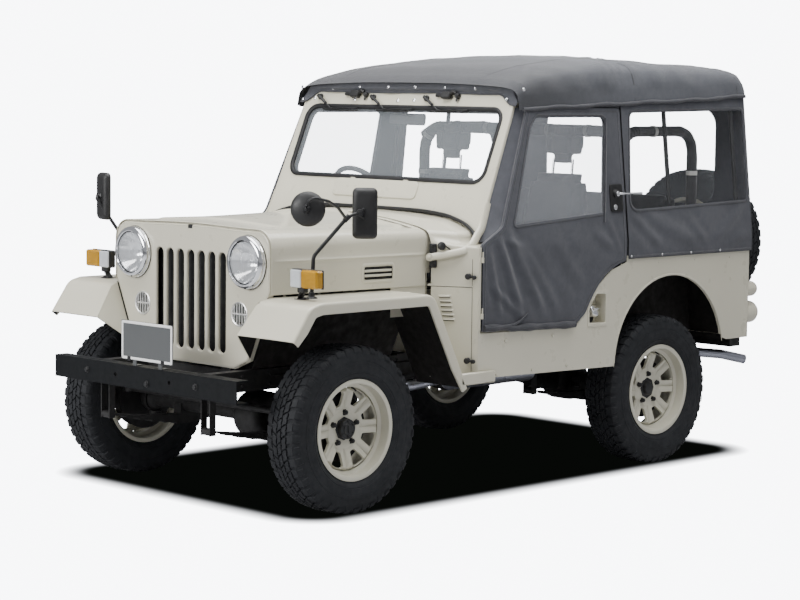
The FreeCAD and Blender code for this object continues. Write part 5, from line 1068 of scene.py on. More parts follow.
# Nose panel, lamps, hood and front fenders
GRILLE_HALF = 0.524
GRILLE_SHOULDER_Z = 1.196
GRILLE_TOP_Z = 1.204
GRILLE_CORNER_R = 0.076
FLOOR_Z = 0.600
LAMP_PLACE = (0.388, 1.062)
LAMP_HOLE_R = 0.104
VENT_PLACE = (0.331, 0.836)
VENT_R = 0.045
SLOT_PITCH = 0.071
SLOT_HALF = 0.0242
SLOT_LOW = 0.657
SLOT_HIGH = 1.092
HOOD_SIDE_Z = 0.931
HOOD_FRONT = (0.534, 1.206, 0.086, 1.214)
HOOD_REAR = (0.600, 1.184, 0.046, 1.240)
HOOD_FRONT_Y = -1.4585
HOOD_BACK_Y = -0.603


def nose_outline():
    """The nose panel seen from the front, anticlockwise from the middle of its foot."""
    half = [(0.0, FLOOR_Z), (0.295, FLOOR_Z), (0.388, 0.640), (GRILLE_HALF, 0.944)]
    r = GRILLE_CORNER_R
    for step in range(9):
        angle = math.radians(90 * step / 8)
        half.append((GRILLE_HALF - r + r * math.cos(angle), GRILLE_SHOULDER_Z - r + r * math.sin(angle)))
    for step in range(1, 6):
        x = (GRILLE_HALF - r) * (1 - step / 6)
        half.append((x, top_crown(x, GRILLE_HALF - r, GRILLE_SHOULDER_Z, GRILLE_TOP_Z)))
    other = [(-x, z) for x, z in reversed(half) if x > 0.001]
    return divided(half + [(0.0, GRILLE_TOP_Z)] + other, 0.05)


def top_crown(x, reach, shoulder, top):
    """Height of a crowned top between its shoulders."""
    return shoulder + (top - shoulder) * 0.5 * (1 + math.cos(math.pi * min(1.0, abs(x) / reach)))


def slot_loop(x, grow=0.0):
    """The outline of one upright slot of the nose panel."""
    return oval(SLOT_HALF + grow, (SLOT_HIGH - SLOT_LOW) / 2 + grow, SLOT_HALF + grow - 1e-4, 7,
                (x, (SLOT_HIGH + SLOT_LOW) / 2))


def nose():
    """The pressed panel: rolled edge, slots with deep returns, lamp seats and round vents."""
    facing = facing_y(GRILLE_Y)
    outline = nose_outline()
    lip = 0.007
    roll = 0.007
    slots = [SLOT_PITCH * (i - 3) for i in range(7)]
    holes = [slot_loop(x, lip) for x in slots]
    lamp_holes = [circle(LAMP_HOLE_R, 40, (side * LAMP_PLACE[0], LAMP_PLACE[1])) for side in (-1, 1)]
    vent_hole_shade = [circle(VENT_R + 0.006, 28, (side * VENT_PLACE[0], VENT_PLACE[1])) for side in (-1, 1)]
    face = filled(inset_loop(outline, roll), holes + lamp_holes + vent_hole_shade, 0.035, lambda x, z: (x, z, 0.0))
    shapes = [face]
    shapes.append(pressed(outline, [(roll, 0.0), (0.0042, -0.0006), (0.0018, -0.0022), (0.0004, -0.0048),
                                    (0.0, -0.009), (0.0, -0.012)]))
    shapes.append(pressed(outline, [(0.0, -0.0095), (-0.0034, -0.0100), (-0.0034, -0.026)]))
    for x in slots:
        shapes.append(pressed(slot_loop(x, lip), [(0.0, 0.0), (0.002, -0.0004), (0.0045, -0.0022),
                                                  (0.0062, -0.0052), (lip, -0.009), (lip, -0.013)]))
    for side in (-1, 1):
        centre = (side * VENT_PLACE[0], VENT_PLACE[1])
        shapes.append(pressed(circle(VENT_R + 0.006, 28, centre), [(0.0, 0.0), (0.0025, -0.0008),
                                                                   (0.005, -0.003), (0.006, -0.008),
                                                                   (0.006, -0.016)]))
        lamp = (side * LAMP_PLACE[0], LAMP_PLACE[1])
        shapes.append(pressed(circle(LAMP_HOLE_R, 40, lamp), [(0.0, 0.0), (0.0, -0.012)]))
    panel = moved(merge(*shapes), facing)
    low = []
    for x, z in outline:
        if z < 0.93:
            low.append((x, z))
    low.sort(key=lambda p: math.atan2(p[1] - 1.0, p[0]))
    flange = rings([[(x, GRILLE_Y + 0.011, z) for x, z in low], [(x, GRILLE_Y + 0.034, z) for x, z in low]],
                   loop=False)
    piece("nose_flange", flange, MAT["under_fender"], closed=False)
    piece("nose_panel", panel, MAT["cream"], angle=50, closed=False, replaces="grille")
    bars = []
    holes = []
    for side in (-1, 1):
        centre_x = side * VENT_PLACE[0]
        ring = [(0.0, 0.0002), (0.0008, 0.0026), (0.0035, 0.0040), (0.0070, 0.0030), (0.0090, 0.0004),
                (0.0095, -0.004)]
        bars.append(moved(pressed(circle(0.0545, 32, (centre_x, VENT_PLACE[1])), ring), facing))
        for i in range(5):
            off = (i - 2) * 0.0168
            half = math.sqrt(0.0470 ** 2 - off ** 2)
            bars.append(block(centre_x + off - 0.0036, centre_x + off + 0.0036, GRILLE_Y - 0.0022,
                              GRILLE_Y + 0.006, VENT_PLACE[1] - half, VENT_PLACE[1] + half, 0.0016))
        bars.append(block(centre_x - 0.046, centre_x + 0.046, GRILLE_Y - 0.0012, GRILLE_Y + 0.005,
                          VENT_PLACE[1] - 0.004, VENT_PLACE[1] + 0.004, 0.0016))
        # painted shade: a dark disc behind each vent's bars, for the shade inside it
        holes.append(disc_on((centre_x, GRILLE_Y + 0.014, VENT_PLACE[1]), (0, -1, 0),
                             [(0.0, 0.050), (0.001, 0.0)], 28))
    piece("vent_bars", merge(*bars), MAT["vent"], closed=False)
    piece("vent_hole_shade", merge(*holes), MAT["dark"], closed=False)
    piece("hood_catch", block(-0.016, 0.016, GRILLE_Y - 0.002, GRILLE_Y + 0.010, 1.186, 1.204, 0.003),
          MAT["black"])


def headlamps():
    """Chrome rings, seals, bowls, bulb shields and ribbed glasses."""
    rim = []
    bowls = []
    glasses = []
    bulbs = []
    seals = []
    glass_r = 0.0895
    for side in (-1, 1):
        start = (side * LAMP_PLACE[0], GRILLE_Y, LAMP_PLACE[1])
        way = (0, -1, 0)
        rim.append(disc_on(start, way, [(0.0002, 0.1060), (0.0012, 0.1150), (0.0050, 0.1168),
                                        (0.0095, 0.1160), (0.0108, 0.1135), (0.0130, 0.1142),
                                        (0.0205, 0.1146), (0.0265, 0.1118), (0.0305, 0.1068),
                                        (0.0326, 0.1010), (0.0330, 0.0965), (0.0310, 0.0935),
                                        (0.0265, 0.0925), (0.0180, 0.0922)], 60))
        seals.append(disc_on(start, way, [(0.0215, 0.0924), (0.0258, 0.0918), (0.0266, glass_r + 0.0005),
                                          (0.0252, glass_r - 0.0008)], 56))
        seals.append(disc_on(start, way, [(0.0002, 0.1180), (0.0016, 0.1176), (0.0022, 0.1160)], 56))
        bowl = []
        for i in range(11):
            t = i / 10
            bowl.append((0.018 - 0.074 * t, glass_r * math.sqrt(max(0.0, 1 - t) * 0.97 + 0.03)))
        bowl.append((-0.058, 0.0))
        bowls.append(disc_on(start, way, bowl, 48))
        glass = [(0.0200, glass_r), (0.0255, glass_r - 0.0006)]
        for i in range(1, 10):
            r = (glass_r - 0.0006) * (1 - i / 9)
            glass.append((0.0255 + 0.0150 * (1 - (r / glass_r) ** 2), r))
        glasses.append(disc_on(start, way, glass, 52))
        bulbs.append(disc_on(start, way, [(-0.050, 0.012), (-0.020, 0.012), (-0.012, 0.022), (0.000, 0.019),
                                          (0.004, 0.0)], 24))
        screw = (start[0] + 0.012, GRILLE_Y - 0.028, LAMP_PLACE[1] - 0.1075)
        seals.append(disc_on(screw, (0, -0.8, -0.5), [(0.0, 0.0045), (0.003, 0.0040), (0.004, 0.0)], 12))
    piece("lamp_rings", merge(*rim), MAT["chrome"], replaces="headlamps", closed=False)
    piece("lamp_seals", merge(*seals), MAT["seal"], closed=False)
    piece("lamp_bowls", merge(*bowls), MAT["bowl"], closed=False)
    piece("lamp_bulbs", merge(*bulbs), MAT["chrome"], closed=False)
    piece("lamp_glasses", merge(*glasses), MAT["lamp_glass"], replaces="headlamp_lenses",
          closed=False)


def turn_lamps():
    """Clear in front, amber round the outer corner, black behind and below."""
    x0, x1 = 0.620, 0.790
    y0, y1 = -1.436, -1.390
    z0, z1 = 0.970, 1.050
    split = 0.687
    amber = block(split + 0.0006, x1, y0, y1 - 0.006, z0 + 0.002, z1 - 0.002, 0.007)
    clear_part = block(x0 + 0.003, split, y0 + 0.001, y0 + 0.012, z0 + 0.003, z1 - 0.003, 0.005)
    case = merge(block(x0, split + 0.004, y0 + 0.010, y1, z0, z1, 0.004), block(split, x1 - 0.003, y1 - 0.007,
                                                                                y1, z0, z1, 0.003))
    leg = [(0.690, -1.404, 0.972), (0.664, -1.404, 0.945), (0.650, -1.400, 0.922)]
    foot = merge(tube(bent_line(leg, 0.02), 0.017, 10, flat=0.45), block(0.636, 0.690, -1.424, -1.384, 0.918,
                                                                         0.9245, 0.002),
                 block(0.650, 0.694, -1.420, -1.392, 0.950, 0.975, 0.004), bolt((0.682, -1.404, 0.9245),
                                                                                (0, 0, 1)))
    piece("turn_lamps_amber", both(amber), MAT["amber"], replaces="turn_signals")
    piece("turn_lamps_clear", both(clear_part), MAT["clear_lens"])
    piece("turn_lamp_cases", both(merge(case, foot)), MAT["plastic"])


def hood_half(y):
    """Half width, shoulder, corner and top of the hood at a place along it."""
    t = (y - HOOD_FRONT_Y) / (HOOD_BACK_Y - HOOD_FRONT_Y)
    return [a + (b - a) * t for a, b in zip(HOOD_FRONT, HOOD_REAR)]


def hood_row(y, inset=0.0):
    """Points across the hood at a place along it, from the left lower edge to the right one."""
    w, shoulder, r, top = hood_half(y)
    half = []
    for z in spread(HOOD_SIDE_Z, shoulder - r, 9, 1.063, 1.068, 1.071, 1.074, 1.077, 1.082, 1.135, 1.142):
        if z < shoulder - r - 0.003:
            bead = 0.0046 * bump(z, 1.0725, 0.0055) * ramp(y, -1.44, -1.40) * (1 - ramp(y, -0.645, -0.62))
            half.append((w - inset + bead, y, z))
    for step in range(11):
        angle = math.radians(90 * step / 10)
        half.append((w - r + (r - inset) * math.cos(angle), y, shoulder - r + (r - inset) * math.sin(angle)))
    reach = w - r
    for i in range(1, 25):
        x = reach * (1 - i / 24)
        z = top_crown(x, reach, shoulder, top)
        raised = (1 - ramp(x, 0.405 + 0.045 * ramp(y, -1.3, -0.7), 0.428 + 0.045 * ramp(y, -1.3, -0.7)))
        raised *= ramp(y, -1.315, -1.285)
        half.append((x, y, z + 0.0085 * raised - inset))
    return mirrored_row(half)


def hood():
    """The lid: one crowned sheet with a raised middle, turned edges, a side bead and a side vent."""
    stations = spread(HOOD_FRONT_Y, HOOD_BACK_Y, 26, -1.4575, -1.455, -1.448, -1.315, -1.305, -1.295, -1.285,
                      -0.604, -0.608)
    rows = []
    for y in stations:
        edge = min(y - HOOD_FRONT_Y, HOOD_BACK_Y - y)
        rows.append(hood_row(y, 0.0018 * max(0.0, 1 - edge / 0.0030) ** 2))
    lid = sheet_of([list(reversed(row)) for row in rows], 0.004)
    piece("hood_lid", lid, MAT["cream"], "hood", angle=32, replaces="hood")
    hinges = []
    for x in (-0.15, 0.15):
        for a, b in ((-0.042, -0.0145), (-0.0138, 0.0138), (0.0145, 0.042)):
            if abs(a + b) < 0.001:
                hinges.append(tube([(x + a, -0.6, 1.252), (x + b, -0.6, 1.252)], 0.0072, 14))
                hinges.append(block(x + a, x + b, -0.645, -0.604, 1.2405, 1.2455, 0.001))
    piece("hood_hinge_barrels", merge(*hinges), MAT["cream"], "hood")
    vents = []
    dark = []
    y0, y1 = -0.962, -0.792
    z0, z1 = 0.966, 1.036
    slope = (HOOD_REAR[0] - HOOD_FRONT[0]) / (HOOD_BACK_Y - HOOD_FRONT_Y)

    def on_side(u, v, h):
        """A point of the vent on the hood's left side."""
        y = (y0 + y1) / 2 + u
        return (hood_half(y)[0] + h, y - h * slope, (z0 + z1) / 2 + v)

    ring_profile = [(-0.010, 0.0002), (-0.006, 0.0022), (-0.001, 0.0030), (0.004, 0.0022), (0.0065, -0.0006),
                    (0.0075, -0.003)]
    frame_loop = oval((y1 - y0) / 2, (z1 - z0) / 2, 0.014, 5)
    shape = pressed(frame_loop, ring_profile)
    vents.append(([on_side(*p) for p in shape[0]], shape[1]))
    # painted shade: a dark back inside the vent frame, and dark strips between its bars and at its rear end
    back = dish(inset_loop(frame_loop, 0.0074), [(0.0, 0.0007), (0.003, 0.0006)])
    dark.append(([on_side(*p) for p in back[0]], back[1]))
    for i in range(2):
        v = (i - 0.5) * 0.021
        bar = block(-(y1 - y0) / 2 + 0.006, (y1 - y0) / 2 - 0.006, v - 0.0055, v + 0.0055, 0.0004, 0.0036,
                    0.0015)
        vents.append(([on_side(*p) for p in bar[0]], bar[1]))
    for i in range(2):
        v = (i - 0.5) * 0.021 - 0.0105
        front, rear = -(y1 - y0) / 2 + 0.004, (y1 - y0) / 2 - 0.014
        gap = [on_side(front, v - 0.003, 0.0040), on_side(rear, v - 0.003, 0.0040),
               on_side(rear, v + 0.0012, 0.0040), on_side(front, v + 0.0012, 0.0040)]
        dark.append((gap, [(0, 1, 2, 3)]))
    end = [on_side((y1 - y0) / 2 - 0.0115, -0.028, 0.0040), on_side((y1 - y0) / 2 - 0.0065, -0.028, 0.0040),
           on_side((y1 - y0) / 2 - 0.0065, 0.026, 0.0040), on_side((y1 - y0) / 2 - 0.0115, 0.026, 0.0040)]
    dark.append((end, [(0, 1, 2, 3)]))
    piece("hood_vent_frames", both(merge(*vents)), MAT["cream"], "hood")
    piece("hood_vent_shade", both(merge(*dark)), MAT["dark"], "hood", closed=False)


def fender_path():
    """The fender's side line in (y, z), front tip to foot."""
    corners = [(-1.602, 0.768), (-1.504, 0.905), (-1.440, 0.920), (-0.780, 0.920), (-0.562, 0.493)]
    line = bent_line([(0.0, y, z) for y, z in corners], 0.075, 8)
    flat = []
    for a, b in zip(line, line[1:]):
        count = max(1, int((b - a).length / 0.06))
        for i in range(count):
            flat.append(a + (b - a) * (i / count))
    flat.append(line[-1])
    return [(p.y, p.z) for p in flat]


def fenders():
    """Flat-topped fenders with a rolled outer edge, dark underneath, with their aprons and steps."""
    path = fender_path()
    rows = []
    lining = []
    lip = 0.050
    r = 0.012
    for i, (y, z) in enumerate(path):
        a = path[max(0, i - 1)]
        b = path[min(len(path) - 1, i + 1)]
        way = Vector((b[0] - a[0], b[1] - a[1])).normalized()
        normal = Vector((-way.y, way.x))
        inner = 0.515 - 0.035 * min(1.0, max(0.0, (-1.4605 - y) / 0.1415))
        fade = ramp(z, 0.50, 0.60) if y > -1.0 else ramp(z, 0.765, 0.80)
        row = []
        for x in (inner, inner + 0.004, 0.60, 0.70, 0.78):
            crown_z = 0.0014 * math.sin(math.pi * min(1.0, (x - inner) / (FENDER_X - inner)))
            row.append((x, y + normal.x * crown_z, z + normal.y * crown_z))
        for step in range(7):
            angle = math.radians(90 * step / 6)
            out = FENDER_X - r + r * math.sin(angle)
            down = r * (1 - math.cos(angle))
            row.append((out, y - normal.x * down, z - normal.y * down))
        depth = lip * (0.75 + 0.25 * fade)
        for down in (0.024, depth - 0.004, depth - 0.001, depth):
            out = FENDER_X - (0.0008 if down == depth - 0.001 else 0.004 if down == depth else 0.0)
            row.append((out, y - normal.x * down, z - normal.y * down))
        row.append((FENDER_X - 0.010, y - normal.x * depth, z - normal.y * depth))
        rows.append(row)
        under = []
        for x, down in ((inner + 0.003, 0.0052), (0.66, 0.0052), (FENDER_X - 0.0045, 0.0052),
                        (FENDER_X - 0.0045, depth - 0.006)):
            under.append((x, y - normal.x * down, z - normal.y * down))
        lining.append(under)
    skin = sheet_of(rows, 0.0035)
    step_plate = block(PANEL_X + 0.0008, FENDER_X, -0.604, -0.382, 0.503, 0.557, 0.006)
    crease = ridge_on([(0.70, y, 0.9205) for y in spread(-1.42, -0.80, 12)], 0.012, 0.0022, (0, 0, 1))
    piece("front_fender_skins", both(merge(skin, step_plate, crease)), MAT["cream_low"],
          replaces="front_fenders", angle=40)
    apron = rings([[(0.5165, y, 0.9155), (0.380, y, 0.602)] for y in (-1.4265, -1.0, -0.597)], loop=False)
    under_parts = thickened(merge(rings(lining, loop=False)), 0.001)
    piece("front_fender_linings", both(merge(under_parts, thickened(apron, 0.003))), MAT["under_fender"],
          closed=False)
    tip, bend, top, foot = [Vector(p) for p in ((0.4815, -1.599, 0.765), (0.5045, -1.504, 0.902),
                                                (0.5155, -1.462, 0.915), (0.400, -1.462, 0.652))]
    way = (bend - tip).cross(foot - tip).normalized()
    way = way if way.x < 0 else -way
    # painted shade: the gusset's outer face, which sits in shade, takes the dark underside finish while its
    # inner face stays cream; the dark sheet from its top to its foot is painted shade too
    pale = []
    deep = []
    for corners in ((tip, bend, foot), (bend, top, foot)):
        pale.append(([p + way * 0.0022 for p in corners], [(0, 1, 2)]))
        deep.append(([p - way * 0.0026 for p in corners], [(0, 1, 2)]))
    piece("fender_gussets", both(thickened(merge(*pale), 0.0012)), MAT["cream_low"],
          closed=False, replaces="front_fenders")
    deep.append(([top + Vector((0.004, 0.0, 0.004)), foot, foot + Vector((-0.022, 0.013, 0.0)),
                  top + Vector((-0.022, 0.013, 0.0))], [(0, 1, 2, 3)]))
    piece("fender_gusset_shaded_backs", both(thickened(merge(*deep), 0.0012)), MAT["under_fender"],
          closed=False)
    web = [[(hood_half(y)[0] - 0.0060, y, z) for z in (0.800, 0.875, 0.9345)] for y in (-0.800, -0.700,
                                                                                        -0.6005)]
    piece("fender_webs", both(thickened(rings(web, loop=False), 0.0012)), MAT["cream_low"],
          closed=False)
    bolts = []
    for y in (-1.38, -1.18, -0.98, -0.80):
        bolts.append(bolt((0.528, y, 0.9205), (0, 0, 1), 0.011, 0.005))
        bolts.append(bolt((0.798, y, 0.9145), (0, 0, -1), 0.012, 0.007))
    piece("fender_bolts", both(merge(*bolts)), MAT["cream_low"])


def bumper_details():
    """Carriage bolts on the bumper, the plate's border and its clips."""
    bolts = []
    for x, z in ((-0.388, 0.551), (0.033, 0.527), (0.360, 0.547)):
        bolts.append(bolt((x, -1.7275, z), (0, -1, 0), 0.019, 0.010))
    piece("bumper_bolts", merge(*bolts), MAT["black"])
    x0, x1 = 0.026 - 0.175, 0.026 + 0.175
    z0, z1 = 0.622, 0.792
    loop = rounded([(x0, z0), (x1, z0), (x1, z1), (x0, z1)], 0.012)
    border = merge(pressed(inset_loop(looped(loop), 0.0015), [(0.0, 0.0), (0.0012, 0.0014), (0.0105, 0.0014),
                                                              (0.0115, 0.0)]))
    piece("plate_border", moved(border, facing_y(-1.7217)), MAT["plate_border"], closed=False)
    tabs = [block(x0 + off - 0.012, x0 + off + 0.012, -1.7245, -1.7190, z0 - 0.006, z0 + 0.014, 0.0015)
            for off in (0.054, 0.284)]
    piece("plate_clips", merge(*tabs), MAT["black"])


# Cowl and windscreen
COWL_FRONT = [(0.600, 0.524), (0.600, 1.118), (0.5985, 1.152), (0.585, 1.176), (0.540, 1.1905),
              (0.300, 1.228), (0.0, 1.240)]
COWL_WIDE = [(0.810, 0.524), (0.810, 1.108), (0.692, 1.120), (0.680, 1.166), (0.518, 1.2165), (0.300, 1.2340),
             (0.0, 1.240)]
COWL_BENDS = [0.0, 0.014, 0.012, 0.020, 0.050, 0.2, 0.0]
COWL_BENDS_WIDE = [0.0, 0.012, 0.022, 0.024, 0.060, 0.2, 0.0]
ARCH = [(0.0, 1.250), (0.118, 1.250), (0.316, 1.2485), (0.448, 1.240), (0.509, 1.232), (0.585, 1.215),
        (0.643, 1.196), (0.692, 1.168), (0.714, 1.142), (0.706, 1.116)]
OPENING = (0.648, 1.386, 1.712, 0.060)
SCREEN_FOOT = (0.722, 1.116)
SCREEN_HEAD = (0.699, 1.792)
SIDE_OUT = Vector((0.487, -0.874, 0.0)).normalized()
SIDE_ALONG = Vector((0.874, 0.487, 0.0)).normalized()


def screen(x, z, lift=0.0):
    """A point on the windscreen's front plane at x and height z, lifted off it to the front."""
    up = (z - SCREEN_BASE_Z) / math.cos(SCREEN_LEAN)
    return Vector((x, SCREEN_BASE_Y + up * math.sin(SCREEN_LEAN) - lift * math.cos(SCREEN_LEAN),
                   z + lift * math.sin(SCREEN_LEAN)))


def on_screen():
    """Brings (x, height along the screen) onto the windscreen's plane."""
    s, c = math.sin(SCREEN_LEAN), math.cos(SCREEN_LEAN)
    return Matrix(((1, 0, 0, 0), (0, s, -c, SCREEN_BASE_Y), (0, c, s, SCREEN_BASE_Z), (0, 0, 0, 1)))


def up_screen(z):
    """How far along the leaning screen a height is reached."""
    return (z - SCREEN_BASE_Z) / math.cos(SCREEN_LEAN)


def bent_row(corners, bends, per_bend=5, per_straight=5):
    """A polyline of a fixed number of points round the given corners."""
    out = []
    pts = [Vector(c) for c in corners]
    arcs = []
    for i, p in enumerate(pts):
        if bends[i] <= 0 or i in (0, len(pts) - 1):
            arcs.append([p])
            continue
        before = pts[i - 1] - p
        after = pts[i + 1] - p
        reach = min(bends[i], before.length * 0.48, after.length * 0.48)
        a = p + before.normalized() * reach
        b = p + after.normalized() * reach
        arcs.append([a * (1 - t) ** 2 + p * 2 * t * (1 - t) + b * t * t for t in np.linspace(0, 1, per_bend)])
    for i, arc in enumerate(arcs):
        if i:
            start, end = out[-1], arc[0]
            out += [start + (end - start) * (k / per_straight) for k in range(1, per_straight)]
        out += arc
    return out


def cowl_row(t, y, inset=0.0):
    """Half the cowl's section, from the side's foot to the middle, between the hood's and the wide one."""
    corners = [(a[0] * (1 - t) + b[0] * t - inset, a[1] * (1 - t) + b[1] * t) for a,
               b in zip(COWL_FRONT, COWL_WIDE)]
    corners[-1] = (0.0, corners[-1][1])
    bends = [a * (1 - t) + b * t for a, b in zip(COWL_BENDS, COWL_BENDS_WIDE)]
    return [(max(0.0, p.x), y, p.y) for p in bent_row(corners, bends)]


def cowl():
    """The body between hood and windscreen: flared sides, shoulders, deck, firewall and flanges."""
    rows = []
    for y in spread(HOOD_REAR_Y + 0.0006, COWL_WIDE_Y, 13):
        t = (y - HOOD_REAR_Y) / (COWL_WIDE_Y - HOOD_REAR_Y)
        rows.append(mirrored_row(cowl_row(t, y)))
    skin = sheet_of([list(reversed(row)) for row in rows], 0.003)
    deck = []
    for y in (COWL_WIDE_Y - 0.0005, -0.44, -0.40, -0.37, COWL_REAR_Y):
        half = [p for p in cowl_row(1.0, y, 0.0) if p[2] > 1.100]
        half = [(min(p[0], 0.7845), p[1], p[2]) for p in half]
        half = [(0.7845, y, 1.050)] + half
        deck.append(mirrored_row(half))
    top = sheet_of([list(reversed(row)) for row in deck], 0.003)
    fold = rings([[(x, COWL_WIDE_Y, z) for x, z in ((0.810, 0.524), (0.810, 1.106))],
                  [(x, COWL_WIDE_Y + 0.001, z) for x, z in ((0.780, 0.524), (0.780, 1.106))]], loop=False)
    flange = block(0.7985, 0.8135, -0.4795, -0.4655, 0.736, 1.108, 0.003)
    wall = moved(plate([rounded([(-0.596, 0.758), (0.596, 0.758), (0.596, 1.135), (0.555, 1.176),
                                 (0.30, 1.222), (0.0, 1.235), (-0.30, 1.222), (-0.555, 1.176),
                                 (-0.596, 1.135)], 0.03)], 0.003), facing_y(HOOD_REAR_Y + 0.002))
    piece("cowl_skin", merge(skin, top, wall, both(thickened(fold, 0.003)), both(flange)), MAT["cream"],
          angle=33, replaces="cowl")
    ribs = []
    for x in (-0.42, -0.21, 0.0, 0.21, 0.42):
        ribs.append(moved(pressed(oval(0.012, 0.13, 0.0115, 5, (x, 1.0)), [(0.0, -0.0005), (0.004, 0.005),
                                                                           (0.010, 0.006)]),
                          facing_y(HOOD_REAR_Y - 0.001)))
    piece("firewall_ribs", merge(*ribs), MAT["cream"], closed=False)
    side_marks = []

    def on_side(along, z, out):
        """A point of the cowl's left side."""
        return tuple(Vector((0.600, HOOD_REAR_Y, z)) + SIDE_ALONG * along + SIDE_OUT * out)

    top_seam = [on_side(u, 0.934, 0.0) for u in (0.006, 0.06, 0.12, 0.17, 0.215)]
    front_seam = [on_side(0.2155, z, 0.0) for z in (0.56, 0.7, 0.85, 0.95, 1.06)]
    for line in (top_seam, front_seam):
        side_marks.append(ridge_on(line, 0.007, 0.0016, SIDE_OUT))
        side_marks.append(ridge_on([tuple(Vector(p) + Vector((0, 0, 0.005)) + SIDE_ALONG * 0.004)
                                    for p in line], 0.004, 0.0008, SIDE_OUT))
    # painted shade: dark strips along the shut gaps of the two seams
    seams = [seam_line([tuple(Vector(p) - SIDE_ALONG * 0.0045 + Vector((0, 0, -0.0042))) for p in line],
                       0.0022, SIDE_OUT) for line in (top_seam, front_seam)]
    near = [p for p in cowl_row(0.0, HOOD_REAR_Y) if p[2] > 0.930]
    ledge_rows = []
    for y, deep in ((-0.613, 0.0064), (-0.6045, 0.0064), (-0.6020, 0.0022), (-0.5955, 0.0022),
                    (-0.5900, 0.0064), (-0.570, 0.0064)):
        ledge_rows.append([(p[0] - deep if p[2] < 1.20 else p[0], y, p[2] - (deep if p[2] > 1.12 else 0.0))
                           for p in near])
    ledge = rings(ledge_rows, loop=False)
    louvres = []
    dark = []
    for i in range(6):
        z = 0.894 - i * 0.0205
        lean = 0.004 * i
        slat = []
        for along, out, drop in ((0.0, 0.0, 0.0), (0.004, 0.005, -0.001), (0.012, 0.0085, -0.003),
                                 (0.046, 0.0085, -0.003), (0.054, 0.005, -0.001), (0.058, 0.0, 0.0)):
            slat.append([on_side(0.056 + lean + along, z + drop * 0.2, out * 0.1),
                         on_side(0.056 + lean + along, z - 0.004, out * 0.75), on_side(0.056 + lean + along,
                                                                                       z - 0.0095, out),
                         on_side(0.056 + lean + along, z - 0.0105, out * 0.8)])
        louvres.append(rings(slat, loop=False))
        # painted shade: a dark strip under each louvre slat
        gap = [[on_side(0.060 + lean + u, z - 0.0105 - v, 0.0012) for v in (0.0, 0.0042)]
               for u in (0.0, 0.05)]
        dark.append(rings(gap, loop=False))
    piece("cowl_seams", both(merge(*side_marks, *louvres, ledge)), MAT["cream"],
          closed=False)
    piece("cowl_gap_shade", both(merge(*seams, *dark)), MAT["dark"], closed=False)
    rubber_parts = []
    metal_parts = []
    for z in (0.980, 0.605):
        start = Vector(on_side(0.196, z, 0.002))
        rubber_parts.append(disc_on(start, SIDE_OUT, [(0.0, 0.012), (0.004, 0.012), (0.006, 0.0075),
                                                      (0.014, 0.0075), (0.017, 0.0125), (0.024, 0.014),
                                                      (0.030, 0.011), (0.032, 0.0)], 18))
        rubber_parts.append(tube([start + SIDE_OUT * 0.010, start + SIDE_OUT * 0.010 + SIDE_ALONG * 0.026
                                  + Vector((0, 0, -0.004))], 0.0055, 10))
        rubber_parts.append(disc_on(start + SIDE_ALONG * 0.027 + SIDE_OUT * 0.004 + Vector((0, 0, -0.004)),
                                    SIDE_OUT, [(0.0, 0.009), (0.010, 0.010), (0.013, 0.006), (0.013, 0.0)],
                                    14))
    knob = Vector(on_side(0.074, 1.112, 0.0))
    rubber_parts.append(disc_on(knob, SIDE_OUT, [(0.0, 0.009), (0.012, 0.009), (0.014, 0.0175),
                                                 (0.020, 0.0195), (0.027, 0.018), (0.031, 0.012),
                                                 (0.032, 0.0)], 20))
    rubber_parts.append(tube(smooth_line([knob + SIDE_OUT * 0.016 + SIDE_ALONG * 0.016,
                                          knob + SIDE_ALONG * 0.034 + Vector((0, 0, -0.018)),
                                          knob + SIDE_ALONG * 0.038 + Vector((0, 0, -0.034))]), 0.0032, 8))
    centre = Vector(on_side(0.031, 1.067, 0.005))
    bracket = block(-0.0165, 0.0165, -0.005, 0.005, -0.054, 0.054, 0.003)
    turn = Matrix((SIDE_ALONG, -SIDE_OUT, Vector((0, 0, 1)))).transposed().to_4x4()
    metal_parts.append(moved(bracket, Matrix.Translation(centre) @ turn))
    for z in (1.022, 1.112):
        metal_parts.append(bolt(on_side(0.031, z, 0.0095), SIDE_OUT, 0.012, 0.006))
    piece("screen_arm_brackets", both(merge(*metal_parts)), MAT["black"])
    piece("cowl_stops", both(merge(*rubber_parts)), MAT["plastic"])


